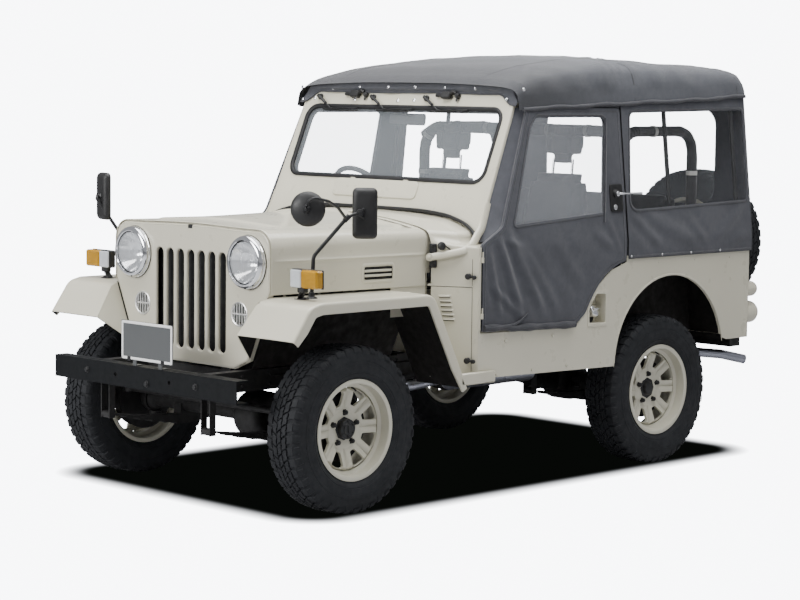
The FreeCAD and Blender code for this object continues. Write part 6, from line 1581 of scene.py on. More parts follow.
def windscreen():
    """The wide pressed frame with its arms, glass, seal, ventilator, wipers and header latches."""
    place = on_screen()
    half, low, high, r = OPENING
    opening = oval(half, (up_screen(high) - up_screen(low)) / 2, r, 8,
                   (0.0, (up_screen(high) + up_screen(low)) / 2))
    foot = [(x, up_screen(z)) for x, z in ARCH]
    left_side = foot[1:] + [(0.716, up_screen(1.112)), (SCREEN_FOOT[0], up_screen(1.122))]
    head = rounded([(SCREEN_FOOT[0], up_screen(1.20)), (SCREEN_HEAD[0], up_screen(SCREEN_HEAD[1])),
                    (-SCREEN_HEAD[0], up_screen(SCREEN_HEAD[1])), (-SCREEN_FOOT[0], up_screen(1.20))],
                   [0.0, 0.055, 0.055, 0.0], 7)
    outline = [foot[0]] + left_side + head + [(-x, s) for x, s in reversed(left_side)]
    frame_plate = plate([outline, opening], 0.042, 0.007, 3)
    panel_loop = rounded([(-0.300, up_screen(1.292)), (0.262, up_screen(1.292)), (0.262, up_screen(1.374)),
                          (-0.300, up_screen(1.374))], 0.030, 6)
    panel = plate([panel_loop], 0.0105, 0.0048, 3)
    catches = [moved(block(x - 0.016, x + 0.016, up_screen(1.372), up_screen(1.380), -0.002, 0.006, 0.002),
                     place) for x in (-0.185, 0.17)]
    shapes = [moved(frame_plate, place), moved(shifted(panel, z=0.0065), place)] + catches
    arm_line = smooth_line([screen(0.714, 1.300, -0.012), screen(0.722, 1.205, -0.012),
                            Vector((0.728, -0.408, 1.152)), Vector((0.742, -0.458, 1.112)),
                            Vector((0.752, -0.512, 1.094)), Vector((0.716, -0.552, 1.081)),
                            Vector((0.670, -0.580, 1.069)), Vector((0.628, -0.6055, 1.060))], 5)

    def arm_width(t):
        return 0.0185 if t < 0.55 else 0.0165

    arm = tube(arm_line, arm_width, 14, flat=0.46, up=(0.9, -0.35, 0.0))
    end = Vector((0.628, -0.6055, 1.060))
    eye = disc_on(end - SIDE_OUT * 0.0075, SIDE_OUT, [(0.0, 0.0), (0.0, 0.0165), (0.002, 0.018),
                                                      (0.013, 0.018), (0.015, 0.0165), (0.015, 0.0)], 22)
    head_bolt = disc_on(end + SIDE_OUT * 0.0072, SIDE_OUT, [(0.0, 0.009), (0.004, 0.009), (0.006, 0.006),
                                                            (0.006, 0.0)], 16)
    shapes += [both(arm), both(eye), both(head_bolt)]
    piece("screen_frame_skin", merge(*shapes), MAT["cream"], angle=38,
          replaces="windscreen_frame")
    seal_ring = pressed(opening, [(-0.013, 0.0), (-0.0125, 0.004), (-0.008, 0.0068), (-0.002, 0.0072),
                                  (0.004, 0.0055), (0.0085, 0.001), (0.0095, -0.006)])
    inner_ring = pressed(opening, [(0.0095, -0.010), (0.007, -0.036), (-0.004, -0.044), (-0.012, -0.0425)])
    arch_line = [screen(x, z - 0.004, 0.006) for x, z in ARCH]
    full = [Vector((-p.x, p.y, p.z)) for p in reversed(arch_line[1:])] + arch_line
    arch = tube(smooth_line(full, 4), 0.0085, 10, flat=0.8)
    piece("screen_seals", merge(moved(seal_ring, place), moved(inner_ring, place), arch), MAT["seal"],
          closed=False)
    pane = plate([inset_loop(looped(opening), 0.0035)], 0.006, 0.0005)
    piece("screen_pane", moved(shifted(pane, z=-0.005), place), MAT["glass"],
          replaces="windscreen_glass")
    black = []
    arms = []
    for x in (-0.591, -0.217, 0.142):
        pivot = screen(x, 1.757, 0.002)
        way = screen(x, 1.757, 1.0) - screen(x, 1.757, 0.0)
        black.append(disc_on(pivot, way, [(0.0, 0.016), (0.006, 0.015), (0.008, 0.010), (0.020, 0.009),
                                          (0.022, 0.0)], 16))
        elbow = screen(x + 0.018, 1.748, 0.020)
        tip = screen(x + 0.105, 1.700, 0.018)
        black.append(tube([elbow - (tip - elbow) * 0.12, elbow + (tip - elbow) * 0.55], 0.0085, 10, flat=0.7))
        arms.append(tube([elbow + (tip - elbow) * 0.5, tip, screen(x + 0.125, 1.6965, 0.016)], 0.0035, 8))
        blade_low, blade_high = screen(x + 0.055, 1.694, 0.012), screen(x + 0.295, 1.702, 0.012)
        arms.append(tube([blade_low, blade_high], 0.0032, 8, flat=1.4))
        arms.append(tube([blade_low + (blade_high - blade_low) * 0.14, blade_low + (blade_high - blade_low)
                          * 0.5 + Vector((0, -0.006, 0.004)), blade_low + (blade_high - blade_low) * 0.86],
                         0.0026, 6))
        black.append(moved(plate([[(-0.12, -0.004), (0.12, -0.004), (0.12, 0.0015), (-0.12, 0.0015)]], 0.003,
                                 0.0008), Matrix.Translation(screen(x + 0.175, 1.6925, 0.010))
                           @ on_screen().to_3x3().to_4x4()))
    for x0, x1 in ((-0.413, -0.252), (0.205, 0.362)):
        xm = (x0 + x1) / 2
        black.append(moved(block(xm - 0.032, xm + 0.022, up_screen(1.752), up_screen(1.784), 0.002, 0.030,
                                 0.005), place))
        black.append(moved(block(x0, xm - 0.020, up_screen(1.762), up_screen(1.776), 0.004, 0.018, 0.004),
                           place))
        black.append(tube([screen(xm + 0.012, 1.770, 0.018), screen(xm + 0.040, 1.783, 0.024),
                           screen(xm + 0.052, 1.778, 0.016)], 0.008, 10))
        black.append(disc_on(screen(x1 - 0.016, 1.767, 0.004), screen(0, 0, 1) - screen(0, 0, 0),
                             [(0.0, 0.013), (0.014, 0.0125), (0.019, 0.008), (0.019, 0.0)], 16))
        black.append(tube([screen(x1 - 0.016, 1.760, 0.012), screen(x1 - 0.012, 1.742, 0.012)], 0.0052, 8))
    piece("wiper_heads", merge(*black), MAT["plastic"])
    piece("wiper_arms", merge(*arms), MAT["black"])
    studs = []
    for x, z in ((-0.633, 1.752), (-0.345, 1.748), (-0.048, 1.746), (0.060, 1.748)):
        studs.append(disc_on(screen(x, z, 0.0), screen(0, 0, 1) - screen(0, 0, 0),
                             [(0.0, 0.009), (0.003, 0.0085), (0.005, 0.005), (0.0052, 0.0)], 14))
    piece("screen_studs", merge(*studs), MAT["chrome"])


# Canvas top, doors and their windows
LEAN_FROM = 1.100
SKIN_LOW = 0.8163
SKIN_HEM = 0.748
HEM_Z = 1.731
ROOF = [(-0.160, 1.733, 1.832), (-0.110, 1.735, 1.864), (0.060, 1.741, 1.916), (0.480, 1.757, 1.968),
        (0.820, 1.769, 1.968), (1.160, 1.781, 1.953), (1.440, 1.797, 1.940), (1.495, 1.799, 1.928),
        (1.5165, 1.799, 1.886)]
DOOR_LINE = [(-0.459, 0.733), (0.110, 0.719), (0.190, 0.736), (0.240, 0.772), (0.272, 0.822), (0.300, 0.862),
             (0.338, 0.905), (0.382, 0.944), (0.430, 0.972), (0.480, 0.992), (0.534, 1.006), (0.534, 1.722),
             (-0.1105, 1.722), (-0.322, 1.190), (-0.459, 1.120)]
DOOR_BENDS = [0.004, 0.05, 0.05, 0.03, 0.02, 0.02, 0.025, 0.025, 0.025, 0.025, 0.02, 0.02, 0.03, 0.06, 0.02]
DOOR_PANE = [(-0.242, 1.198), (0.375, 1.236), (0.425, 1.680), (-0.057, 1.680), (-0.098, 1.632)]
DOOR_PANE_BENDS = [0.012, 0.012, 0.035, 0.03, 0.05]
QUARTER_PANE = [(0.574, 1.243), (1.484, 1.268), (1.486, 1.712), (0.612, 1.699)]
QUARTER_BENDS = [0.055, 0.02, 0.02, 0.03]
DOOR_GAP_Y = 0.542
BACK_Y = 1.5145
TUB_TOP = 1.012
ROOF_FOLDS = [(0.560, 0.45, 0.0085, 0.62, 0.020),
              (0.615, 0.50, 0.0070, 0.55, 0.017),
              (0.500, 0.35, 0.0040, 0.45, 0.022),
              (0.700, 0.30, 0.0035, 0.40, 0.030),
              (1.395, -0.28, 0.0045, 0.5, 0.020),
              (1.330, -0.35, 0.0035, 0.42, 0.022),
              (-0.045, 0.9, 0.0045, 0.5, 0.020),
              (0.040, 1.1, 0.0030, 0.4, 0.024)]
CLOTH_THICK = 0.0022
DOOR_LOW = 0.815
DOOR_HEM = 0.749


def lean_x(z, low=SKIN_LOW, hem=SKIN_HEM):
    """The canvas side's X at a height."""
    if z <= LEAN_FROM:
        return low
    return low - (low - hem) * (z - LEAN_FROM) / (HEM_Z - LEAN_FROM)


def roof_at(y):
    """Hem and middle heights of the roof at a place along it, on a smooth curve through the bows."""
    if y <= ROOF[0][0]:
        return ROOF[0][1:]
    for i in range(len(ROOF) - 1):
        if y <= ROOF[i + 1][0]:
            out = []
            for k in (1, 2):
                a, b = ROOF[i], ROOF[i + 1]
                slopes = []
                for j in (i, i + 1):
                    lo, hi = ROOF[max(0, j - 1)], ROOF[min(len(ROOF) - 1, j + 1)]
                    slopes.append((hi[k] - lo[k]) / (hi[0] - lo[0]))
                width = b[0] - a[0]
                t = (y - a[0]) / width
                if i == len(ROOF) - 2:
                    slopes = [slopes[0], (b[k] - a[k]) / width * 1.6]
                start = a[k] * (2 * t ** 3 - 3 * t ** 2 + 1) + slopes[0] * width * (t ** 3 - 2 * t ** 2 + t)
                out.append(start + b[k] * (3 * t ** 2 - 2 * t ** 3) + slopes[1] * width * (t ** 3 - t ** 2))
            return tuple(out)
    return ROOF[-1][1:]


def roof_line(y, steps=46):
    """Points across the left half of the roof, from its hem to the middle, evenly spread."""
    hem, top = roof_at(y)
    h = top - hem
    corners = [(SKIN_HEM + 0.0005, hem - 0.020), (SKIN_HEM - 0.0055, hem + 0.10 * h), (0.732, hem + 0.45 * h),
               (0.690, hem + 0.74 * h), (0.560, hem + 0.88 * h), (0.280, hem + 0.98 * h), (0.0, top)]
    line = smooth_line([(x, 0.0, z) for x, z in corners], 10)
    lengths = [0.0]
    for a, b in zip(line, line[1:]):
        lengths.append(lengths[-1] + (b - a).length)
    out = []
    j = 0
    for i in range(steps + 1):
        share = i / steps
        want = lengths[-1] * (share ** 0.8)
        while j < len(lengths) - 2 and lengths[j + 1] < want:
            j += 1
        t = (want - lengths[j]) / max(lengths[j + 1] - lengths[j], 1e-9)
        p = line[j].lerp(line[j + 1], min(1.0, max(0.0, t)))
        out.append((max(0.0, p.x), y, p.z, share))
    return out


def roof_push(x, y, share):
    """How far tension lifts or sinks the roof cloth at a point, in metres."""
    side = 1.0 if x >= 0 else -1.0
    sag = 0.0
    for a, b, depth in ((-0.11, 0.655, 0.006), (0.70, 0.90, 0.004), (0.93, 1.40, 0.008)):
        if a < y < b:
            sag -= depth * math.sin(math.pi * (y - a) / (b - a)) * ramp(share, 0.25, 0.7)
    fold = 0.0
    for y0, lean, deep, reach, width in ROOF_FOLDS:
        line = y0 + lean * (share - 0.2) + (0.03 if side < 0 else 0.0)
        fold += deep * bump(y, line, width) * ramp(share, 0.06, 0.16) * (1 - ramp(share, reach * 0.6, reach))
        fold -= (deep * 0.7 * bump(y, line + width * 1.7, width * 0.9) * ramp(share, 0.06, 0.16)
                 * (1 - ramp(share, reach * 0.6, reach)))
    low_roll = 0.0040 * math.sin(y * 23.0 + side) * math.sin(y * 9.1 + 0.7) * bump(share, 0.10, 0.07)
    wander = 0.0022 * math.sin(y * 17.0 + x * 9.0) * math.sin(x * 13.0 - y * 5.0 + 1.3)
    edge = ramp(share, 0.0, 0.05) * ramp(y, -0.16, -0.12) * (1 - ramp(y, 1.46, 1.505))
    return (sag + fold + low_roll + wander) * edge


def pushed(rows, push):
    """Moves each point of a grid along its normal, by push(x, y, share) of the four numbers a point has."""
    mesh = mesh_of(*rings([[p[:3] for p in row] for row in rows], loop=False))
    flat = [p for row in rows for p in row]
    out = []
    for vertex, p in zip(mesh.vertices, flat):
        normal = vertex.normal if vertex.normal.z >= -0.2 else -vertex.normal
        out.append(Vector(p[:3]) + normal * push(p[0], p[1], p[3]))
    bpy.data.meshes.remove(mesh)
    count = len(rows[0])
    return [out[i * count:(i + 1) * count] for i in range(len(rows))]


def side_folds(y, z, folds):
    """Height of long soft folds on a canvas side: each is (y, z, end y, end z, width, depth)."""
    out = 0.0
    for y0, z0, y1, z1, width, depth in folds:
        way = Vector((y1 - y0, z1 - z0))
        rel = Vector((y - y0, z - z0))
        length = way.length
        along = rel.dot(way) / length
        off = abs(rel.x * way.y - rel.y * way.x) / length
        fade = ramp(along, -0.05, 0.06) * (1 - ramp(along, length - 0.08, length + 0.04))
        out += depth * math.exp(-(off / width) ** 2) * fade
        out -= depth * 0.55 * math.exp(-((off - width * 1.9) / width) ** 2) * fade
    return out


DOOR_FOLDS = [(-0.36, 1.16, -0.20, 0.80, 0.020, 0.0070), (-0.30, 1.17, -0.05, 0.80, 0.024, 0.0060),
              (-0.42, 1.08, -0.34, 0.80, 0.017, 0.0050), (-0.22, 1.12, 0.06, 0.78, 0.022, 0.0035),
              (-0.40, 0.93, -0.18, 0.77, 0.015, 0.0055), (0.02, 1.12, 0.22, 0.90, 0.030, 0.0025),
              (-0.33, 1.14, -0.20, 1.10, 0.012, 0.0040), (0.30, 1.15, 0.47, 1.05, 0.022, 0.0030),
              (0.40, 1.20, 0.50, 1.03, 0.016, 0.0025)]
SIDE_FOLDS = [(0.58, 1.22, 0.80, 1.06, 0.022, 0.0040), (0.70, 1.21, 1.05, 1.08, 0.030, 0.0030),
              (1.43, 1.22, 1.20, 1.07, 0.024, 0.0040), (1.00, 1.20, 1.16, 1.05, 0.020, 0.0022),
              (1.47, 1.10, 1.30, 1.04, 0.018, 0.0030)]


def skin_lift(side, base, folds, fade, low=SKIN_LOW, hem=SKIN_HEM):
    """Lifts a 2D (y, z) point onto the leaning canvas side, with its folds."""
    def lift(y, z):
        soft = fade(y, z)
        x = lean_x(z, low, hem) + base
        x += (side_folds(y, z, folds) + 0.0014 * math.sin(y * 21 + z * 7) * math.sin(z * 17 - y * 6)) * soft
        return (side * x, y, z)
    return lift


def near_loop(loop, y, z, room):
    """A smooth 0 at a loop that reaches 1 at a distance from it."""
    return ramp(loop_distance([loop], y, z), 0.0, room)


def stitched(loop, side, base, low=SKIN_LOW, hem=SKIN_HEM, width=0.010, height=0.0022, closed=True):
    """A doubled, stitched edge that follows a 2D loop on a canvas side."""
    pts = [Vector((side * (lean_x(z, low, hem) + base), y, z)) for y, z in loop]
    if closed:
        pts = pts + pts[:2]
    return ridge_on(pts, width, height, (side, 0, 0.108), 6)


def roof():
    """The roof: one curved cloth over its bows, turned down at the sides."""
    stations = spread(ROOF[0][0], ROOF[-1][0], 78)
    rows = []
    for y in stations:
        rows.append(mirrored_row(roof_line(y)))
    cloth_rows = pushed(rows, roof_push)
    return sheet_of([list(reversed(r)) for r in cloth_rows], CLOTH_THICK)


def quarter_panel(side):
    """The rear side: cloth from the door gap to the corner, round its window, down over the body's edge."""
    pane = rounded(QUARTER_PANE, QUARTER_BENDS, 5)
    outline = [(DOOR_GAP_Y + 0.004, TUB_TOP), (1.505, TUB_TOP), (1.505, 1.775), (1.16, 1.762), (0.82, 1.752),
               (DOOR_GAP_Y + 0.004, 1.739)]
    outer = divided(looped(outline), 0.022)
    hole = looped(divided(looped(pane), 0.020))

    def fade(y, z):
        return near_loop(outer, y, z, 0.05) * near_loop(hole, y, z, 0.03)

    shape = filled(outer, [hole], 0.017, skin_lift(side, 0.0, SIDE_FOLDS, fade))
    return shape, hole


def soft_top():
    """Roof, rear quarters and back curtain as cloth, with hems, seams, snaps and clear windows."""
    seam_x = 0.46
    roof_item = piece("top_roof", roof(), MAT["canvas_roof_painted_shade"], angle=60, closed=False,
                      replaces="soft_top")
    trims = []
    for side, name in SIDES:
        shape, hole = quarter_panel(side)
        lifted = thickened(shape if side > 0 else reversed_faces(shape),
                           CLOTH_THICK)
        cloth_item = piece("top_quarter_" + name, lifted, MAT["canvas"], angle=60,
                           closed=False, replaces="soft_top")
        trims.append(stitched(divided(inset_loop(hole, -0.009), 0.03), side, 0.0006, width=0.016,
                              height=0.0028))
        low = [(y, 1.020) for y in spread(0.548, 1.503, 32)]
        trims.append(stitched(low, side, 0.0006, width=0.018, height=0.0042, closed=False))
        pane_points = filled(divided(inset_loop(looped(rounded(QUARTER_PANE, QUARTER_BENDS, 4)), -0.008),
                                     0.05), [], 0.05, lambda y, z,
                             s=side: (s * (lean_x(z) - 0.0035 + 0.004 * math.sin(y * 6 + z * 4)), y, z))
        pane_item = piece("top_pane_" + name, thickened(pane_points, 0.001), MAT["vinyl_quarter"],
                          angle=60, closed=False, replaces="top_windows")
    back_hole = oval(0.570, (1.716 - 1.230) / 2, 0.090, 6, (0.0, (1.716 + 1.230) / 2))
    outline = [(lean_x(min(z, 1.74)) - 0.012, z) for z in spread(TUB_TOP, 1.80, 12)]
    crown_line = [(p[0] * 0.985, p[2]) for p in roof_line(1.500, 24) if p[2] > 1.79]
    right_edge = outline + crown_line
    loop = [(-x, z) for x, z in right_edge] + [(x, z) for x, z in reversed(right_edge)]
    cleaned = [loop[0]]
    for p in loop[1:]:
        if (Vector(p) - Vector(cleaned[-1])).length > 0.004:
            cleaned.append(p)
    back_outer = looped(divided(looped(cleaned), 0.03))
    back_inner = looped(divided(looped(back_hole), 0.03))

    def lift_back(x, z):
        soft = near_loop(back_outer, x, z, 0.05) * near_loop(back_inner, x, z, 0.03)
        wave = 0.0035 * math.sin(x * 11 + z * 3) * math.sin(z * 9 + 1) + 0.003 * bump(abs(x) - 0.66,
                                                                                      0.03 * math.sin(z * 12),
                                                                                      0.018)
        rim = 1 - near_loop(back_outer, x, z, 0.030)
        return (x, BACK_Y - 0.010 * rim ** 2 + wave * soft, z)

    back = filled(back_outer, [back_inner], 0.028, lift_back)
    back_cloth = thickened(reversed_faces(back), CLOTH_THICK)
    back_item = piece("top_back", back_cloth, MAT["canvas"], angle=60, closed=False,
                      replaces="soft_top")
    back_rim = [Vector((x, BACK_Y + 0.0008, z)) for x, z in divided(inset_loop(back_inner, -0.010), 0.04)]
    trims.append(ridge_on(back_rim + back_rim[:2], 0.016, 0.0028, (0, 1, 0), 6))
    back_pane = filled(divided(looped(oval(0.578, 0.251, 0.095, 6, (0.0, 1.473))), 0.06), [], 0.06,
                       lambda x, z: (x, BACK_Y - 0.006 + 0.004 * math.sin(x * 7 + z * 5), z))
    pane_item = piece("top_pane_back", thickened(back_pane, 0.001), MAT["vinyl"],
                      angle=60, closed=False, replaces="top_windows")
    for side in (1, -1):
        hem = [Vector((side * (SKIN_HEM + 0.0035), y, roof_at(y)[0] - 0.017 + 0.0025 * math.sin(y * 19)))
               for y in spread(-0.14, 1.510, 60)]
        trims.append(tube(hem, lambda t: 0.0068 + 0.0022 * math.sin(t * 31) ** 2, 10, flat=1.25))
        corner = [Vector((side * (lean_x(z) - 0.0060), 1.5085, z)) for z in spread(1.015, 1.790, 24)]
        trims.append(tube(corner, 0.0072, 10))
        for y in (0.655, 1.455):
            seam = []
            for x, yy, z, s in roof_line(y, 30):
                push = roof_push(side * x, y, s)
                seam.append(Vector((side * x, yy, z + 0.001 + push)))
            trims.append(ridge_on(seam, 0.012, 0.0016, (0, 0, 1), 4))
    for x in (seam_x, -seam_x):
        line = []
        for y in spread(-0.10, 1.49, 50):
            share_z = min((abs(abs(p[0]) - seam_x), p[2], p[3]) for p in roof_line(y))
            line.append(Vector((x, y, share_z[1] + 0.001 + roof_push(x, y, share_z[2]))))
        trims.append(ridge_on(line, 0.010, 0.0018, (0, 0, 1), 4))
    trim_item = piece("top_hems", merge(*trims), MAT["piping"], angle=50, closed=False)
    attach(trim_item, "chassis")
    flap()
    snaps()


def flap_low(x):
    """The front flap's lower edge above the windscreen."""
    reach = abs(x)
    return 1.7805 - 0.050 * ramp(reach, 0.60, 0.70) + 0.0015 * math.sin(x * 9)


def flap():
    """The front flap: cloth folded down over the windscreen's head and snapped to it."""
    rows = []
    stations = spread(-0.722, 0.722, 73)
    for x in stations:
        reach = min(1.0, abs(x) / 0.724)
        crest = 1.846 - 0.020 * ramp(reach, 0.55, 0.93) - 0.072 * ramp(reach, 0.92, 1.0)
        low = flap_low(x)
        row = []
        for i in range(13):
            t = i / 12
            if t < 0.3:
                q = t / 0.3
                y = -0.085 - 0.050 * q
                z = crest + 0.006 * (1 - q) - 0.006 * q * q
            else:
                q = (t - 0.3) / 0.7
                z = crest - 0.006 - (crest - 0.006 - low) * q
                y = -0.135 - 0.004 * math.sin(q * math.pi)
                face = screen(x, z, 0.004)
                y = min(y, face.y) if z < 1.80 else y - 0.012 * q
            pucker = 0.0025 * math.cos((x - 0.065) / 0.1915 * 2 * math.pi) * ramp(t, 0.45, 0.8)
            y -= pucker * 0.8 + 0.0018 * math.sin(x * 31 + t * 4) * t
            row.append((x, y, z))
        rows.append(row)
    shape = sheet_of(rows, 0.0024)
    item = piece("front_flap", shape, MAT["canvas"], angle=60, closed=False)
    line = [Vector((row[-1][0], row[-1][1] - 0.001, row[-1][2] + 0.004)) for row in rows]
    trims = [ridge_on(line, 0.009, 0.0022, (0, -1, 0.3), 5)]
    fold = [Vector((row[3][0], row[3][1] - 0.001, row[3][2])) for row in rows]
    trims.append(ridge_on(fold, 0.008, 0.0016, (0, -0.7, 0.7), 5))
    piece("flap_hem", merge(*trims), MAT["piping"], closed=False)


def stud(place, way, r=0.0085):
    """A snap fastener's cap."""
    return disc_on(place, way, [(0.0, r * 0.9), (0.0015, r), (0.0035, r * 0.92), (0.005, r * 0.55),
                                (0.0044, r * 0.3), (0.0044, 0.0)], 14)


def snaps():
    """Snap caps along the flap and the canvas' lower edge."""
    caps = []
    for x, z in ((-0.708, 1.745), (-0.508, 1.799), (-0.316, 1.808), (-0.120, 1.809), (0.065, 1.811),
                 (0.259, 1.810), (0.453, 1.807), (0.659, 1.758)):
        caps.append(stud(screen(x, z, 0.0) + Vector((0, -0.0095 - 0.035 * ramp(z, 1.79, 1.84), 0)),
                         (0, -1, 0.25)))
    for side in (1, -1):
        caps.append(stud((side * 0.742, -0.130, 1.805), (side, -0.3, 0.1)))
        for y in (0.560, 0.790, 1.014, 1.244):
            caps.append(stud((side * (SKIN_LOW + 0.0046), y, 1.024), (side, 0, 0), 0.0062))
    piece("snap_caps", merge(*caps), MAT["chrome"])


def doors():
    """Canvas doors with a rolled edge, a clear window, handles and a loose hem."""
    outline = looped(rounded(DOOR_LINE, DOOR_BENDS, 4))
    pane = looped(rounded(DOOR_PANE, DOOR_PANE_BENDS, 5))
    outer = looped(divided(outline, 0.02))
    hole = looped(divided(pane, 0.02))
    low, hem = DOOR_LOW, DOOR_HEM

    def fade(y, z):
        return near_loop(outer, y, z, 0.045) * near_loop(hole, y, z, 0.03)

    for side, name in SIDES:
        body = name + "_door"
        shape = filled(outer, [hole], 0.016, skin_lift(side, 0.0, DOOR_FOLDS, fade, low, hem))
        front = thickened(shape if side > 0 else reversed_faces(shape), 0.0025)
        inner = filled(looped(divided(inset_loop(outer, 0.004), 0.06)),
                       [looped(divided(inset_loop(hole, -0.004), 0.06))], 0.06, lambda y, z,
                       s=side: (s * (lean_x(z, low, hem) - 0.0215), y, z))
        back = thickened(inner if side < 0 else reversed_faces(inner), 0.0020)
        rim = [Vector((side * (lean_x(z, low, hem) - 0.0110), y, z)) for y, z in inset_loop(outer, 0.0100)]
        roll = tube(rim + rim[:1], 0.0102, 10, caps=False, flat=1.0)
        pane_rim = [Vector((side * (lean_x(z, low, hem) - 0.0110), y, z)) for y,
                    z in inset_loop(hole, -0.0080)]
        pane_roll = tube(pane_rim + pane_rim[:1], 0.0095, 8, caps=False)
        item = piece("door_cloth_" + name, front, MAT["canvas"], body, 60, closed=False,
                     replaces="door_" + name)
        lining = piece("door_lining_" + name, back, MAT["canvas"], body, 60, closed=False)
        glass = filled(looped(divided(inset_loop(hole, -0.012), 0.05)), [], 0.05, lambda y, z,
                       s=side: (s * (lean_x(z, low, hem) - 0.0050 + 0.0035 * math.sin(y * 8 + z * 5)), y, z))
        pane_item = piece("door_pane_" + name, thickened(glass, 0.001), MAT["vinyl_door"], body,
                          60, closed=False, replaces="door_window_" + name)
        trims = [roll, pane_roll, stitched(divided(inset_loop(hole, -0.010), 0.03), side, 0.0004, low, hem,
                                           0.013, 0.0026), stitched(divided(inset_loop(outer, 0.016), 0.03),
                                                                    side, 0.0003, low, hem, 0.007, 0.0014)]
        hem_line = []
        for y in spread(-0.452, 0.165, 36):
            z = 0.741 - 0.0246 * (y + 0.459) + (0.006 if y < -0.28 else 0.0) * (1 - ramp(y, -0.30, -0.26))
            hem_line.append(Vector((side * (low + 0.004), y, z)))
        trims.append(tube(hem_line, lambda t: 0.0125 + 0.0025 * math.sin(t * 23) * math.sin(t * 9), 12,
                          flat=1.25))
        tuck = [Vector((side * (low + 0.004 + 0.004 * math.sin(math.pi * t)), -0.30 + 0.14 * t,
                        0.748 + 0.055 * t ** 2)) for t in np.linspace(0, 1, 10)]
        trims.append(tube(tuck, lambda t: 0.010 * (1 - 0.7 * t), 10, flat=0.8))
        edge = [Vector((side * (lean_x(z, low, hem) + 0.002), y, z)) for y,
                z in ((0.428, 1.676), (0.402, 1.45), (0.378, 1.238), (0.373, 1.192))]
        trims.append(tube(edge, 0.0058, 8))
        piece("door_hems_" + name, merge(*trims), MAT["piping"], body, closed=False)
        handles(side, name, body)


def gap_flaps():
    """Strips that shut the gaps above and behind the doors, and sheets from posts to doors."""
    thick = 0.0015
    strips = []
    for side in (1, -1):
        upright = [[(side * (lean_x(z) - 0.026), y, z) for z in spread(1.010, 1.748, 9)]
                   for y in (0.512, 0.592)]
        above = [[(side * (lean_x(z) - 0.034), y, z) for y in spread(-0.110, 0.575, 9)]
                 for z in (1.700, 1.752)]
        strips.append(thickened(rings(upright, loop=False), thick))
        strips.append(thickened(rings(above, loop=False), thick))
    piece("top_gap_flaps", merge(*strips), MAT["seal"], closed=False)
    for side, name in SIDES:
        rows = []
        for share in spread(0.0, 1.0, 5):
            row = []
            for z in spread(1.125, 1.722, 12):
                post = Vector((0.716 - 0.034 * (z - 1.116), screen(0.0, z).y + 0.010, z))
                edge_y = -0.322 + 0.3975 * (z - 1.190) if z > 1.190 else -0.322 - 1.30 * (1.190 - z)
                edge = Vector((lean_x(z) - 0.010, edge_y + 0.030, z))
                mid = post.lerp(edge, share)
                row.append((side * (mid.x + 0.006 * math.sin(share * math.pi)), mid.y, mid.z))
            rows.append(row)
        flap_shape = rings(rows if side < 0 else rows[::-1], loop=False)
        item = piece("post_flap_" + name, thickened(flap_shape, thick), MAT["canvas"],
                     closed=False)


def door_frames():
    """The black posts and rails that the canvas doors close against."""
    posts = []
    for side in (1, -1):
        post = [Vector((side * (lean_x(z) - 0.040), 0.560, z)) for z in (0.985, LEAN_FROM, 1.30, 1.50, 1.722)]
        rail = [Vector((side * 0.712, y, roof_at(y)[0] - 0.012)) for y in spread(-0.120, 1.470, 12)]
        posts.append(tube(post, 0.0200, 14, flat=0.8))
        posts.append(tube(rail, 0.0125, 12))
        weather = [Vector((side * (lean_x(z) - 0.020), 0.5385 + 0.0015 * math.sin(z * 20), z))
                   for z in spread(1.012, 1.715, 14)]
        posts.append(tube(weather, 0.0105, 8))
        header = [Vector((side * 0.7385, y, 1.7305)) for y in spread(-0.105, 0.545, 10)]
        posts.append(tube(header, 0.0075, 8))
    piece("door_frames", merge(*posts), MAT["piping"], angle=60)


def handles(side, name, body):
    """The door's handle plate, pull and lock."""

    def at(y, z, out):
        """A point at a distance outside the door's cloth."""
        return Vector((side * (lean_x(z, DOOR_LOW, DOOR_HEM) + out), y, z))

    base = rounded([(0.424, 1.238), (0.514, 1.238), (0.514, 1.366), (0.424, 1.366)], 0.012)
    face = plate([base], 0.006, 0.002)
    points = []
    for y, z, h in face[0]:
        points.append(tuple(at(y, z, 0.0065 + h)))
    black = [(points, face[1])]
    lock = at(0.454, 1.259, 0.006)
    chrome = [disc_on(lock, (side, 0, 0.1), [(0.0, 0.013), (0.004, 0.0125), (0.006, 0.008), (0.0055, 0.0)],
                      18)]
    pivot = at(0.462, 1.322, 0.006)
    black.append(disc_on(pivot, (side, 0, 0.1), [(0.0, 0.021), (0.010, 0.019), (0.016, 0.012), (0.016, 0.0)],
                         20))
    lever = smooth_line([at(0.462, 1.322, 0.018), at(0.500, 1.3235, 0.034), at(0.560, 1.3225, 0.038),
                         at(0.618, 1.321, 0.035)], 5)
    chrome.append(tube(lever, lambda t: 0.0085 - 0.0025 * math.sin(math.pi * t), 12, flat=0.75))
    chrome.append(disc_on(pivot + Vector((side * 0.012, 0, 0)), (side, 0, 0.1), [(0.0, 0.013), (0.006, 0.012),
                                                                                 (0.009, 0.006),
                                                                                 (0.009, 0.0)], 18))
    piece("handle_plate_" + name, merge(*black), MAT["plastic"], body)
    piece("handle_" + name, merge(*chrome), MAT["chrome"], body)


# Seats, roll bar, steering wheel, dash and what else shows inside
SEAT_X = 0.375
SEAT_HALF = 0.205
BAR_X = 0.660
HOOP_Y = 0.655
STAY_Y = 1.210
BAR_TOP_Z = 1.608
BAR_FOOT_Z = 0.954


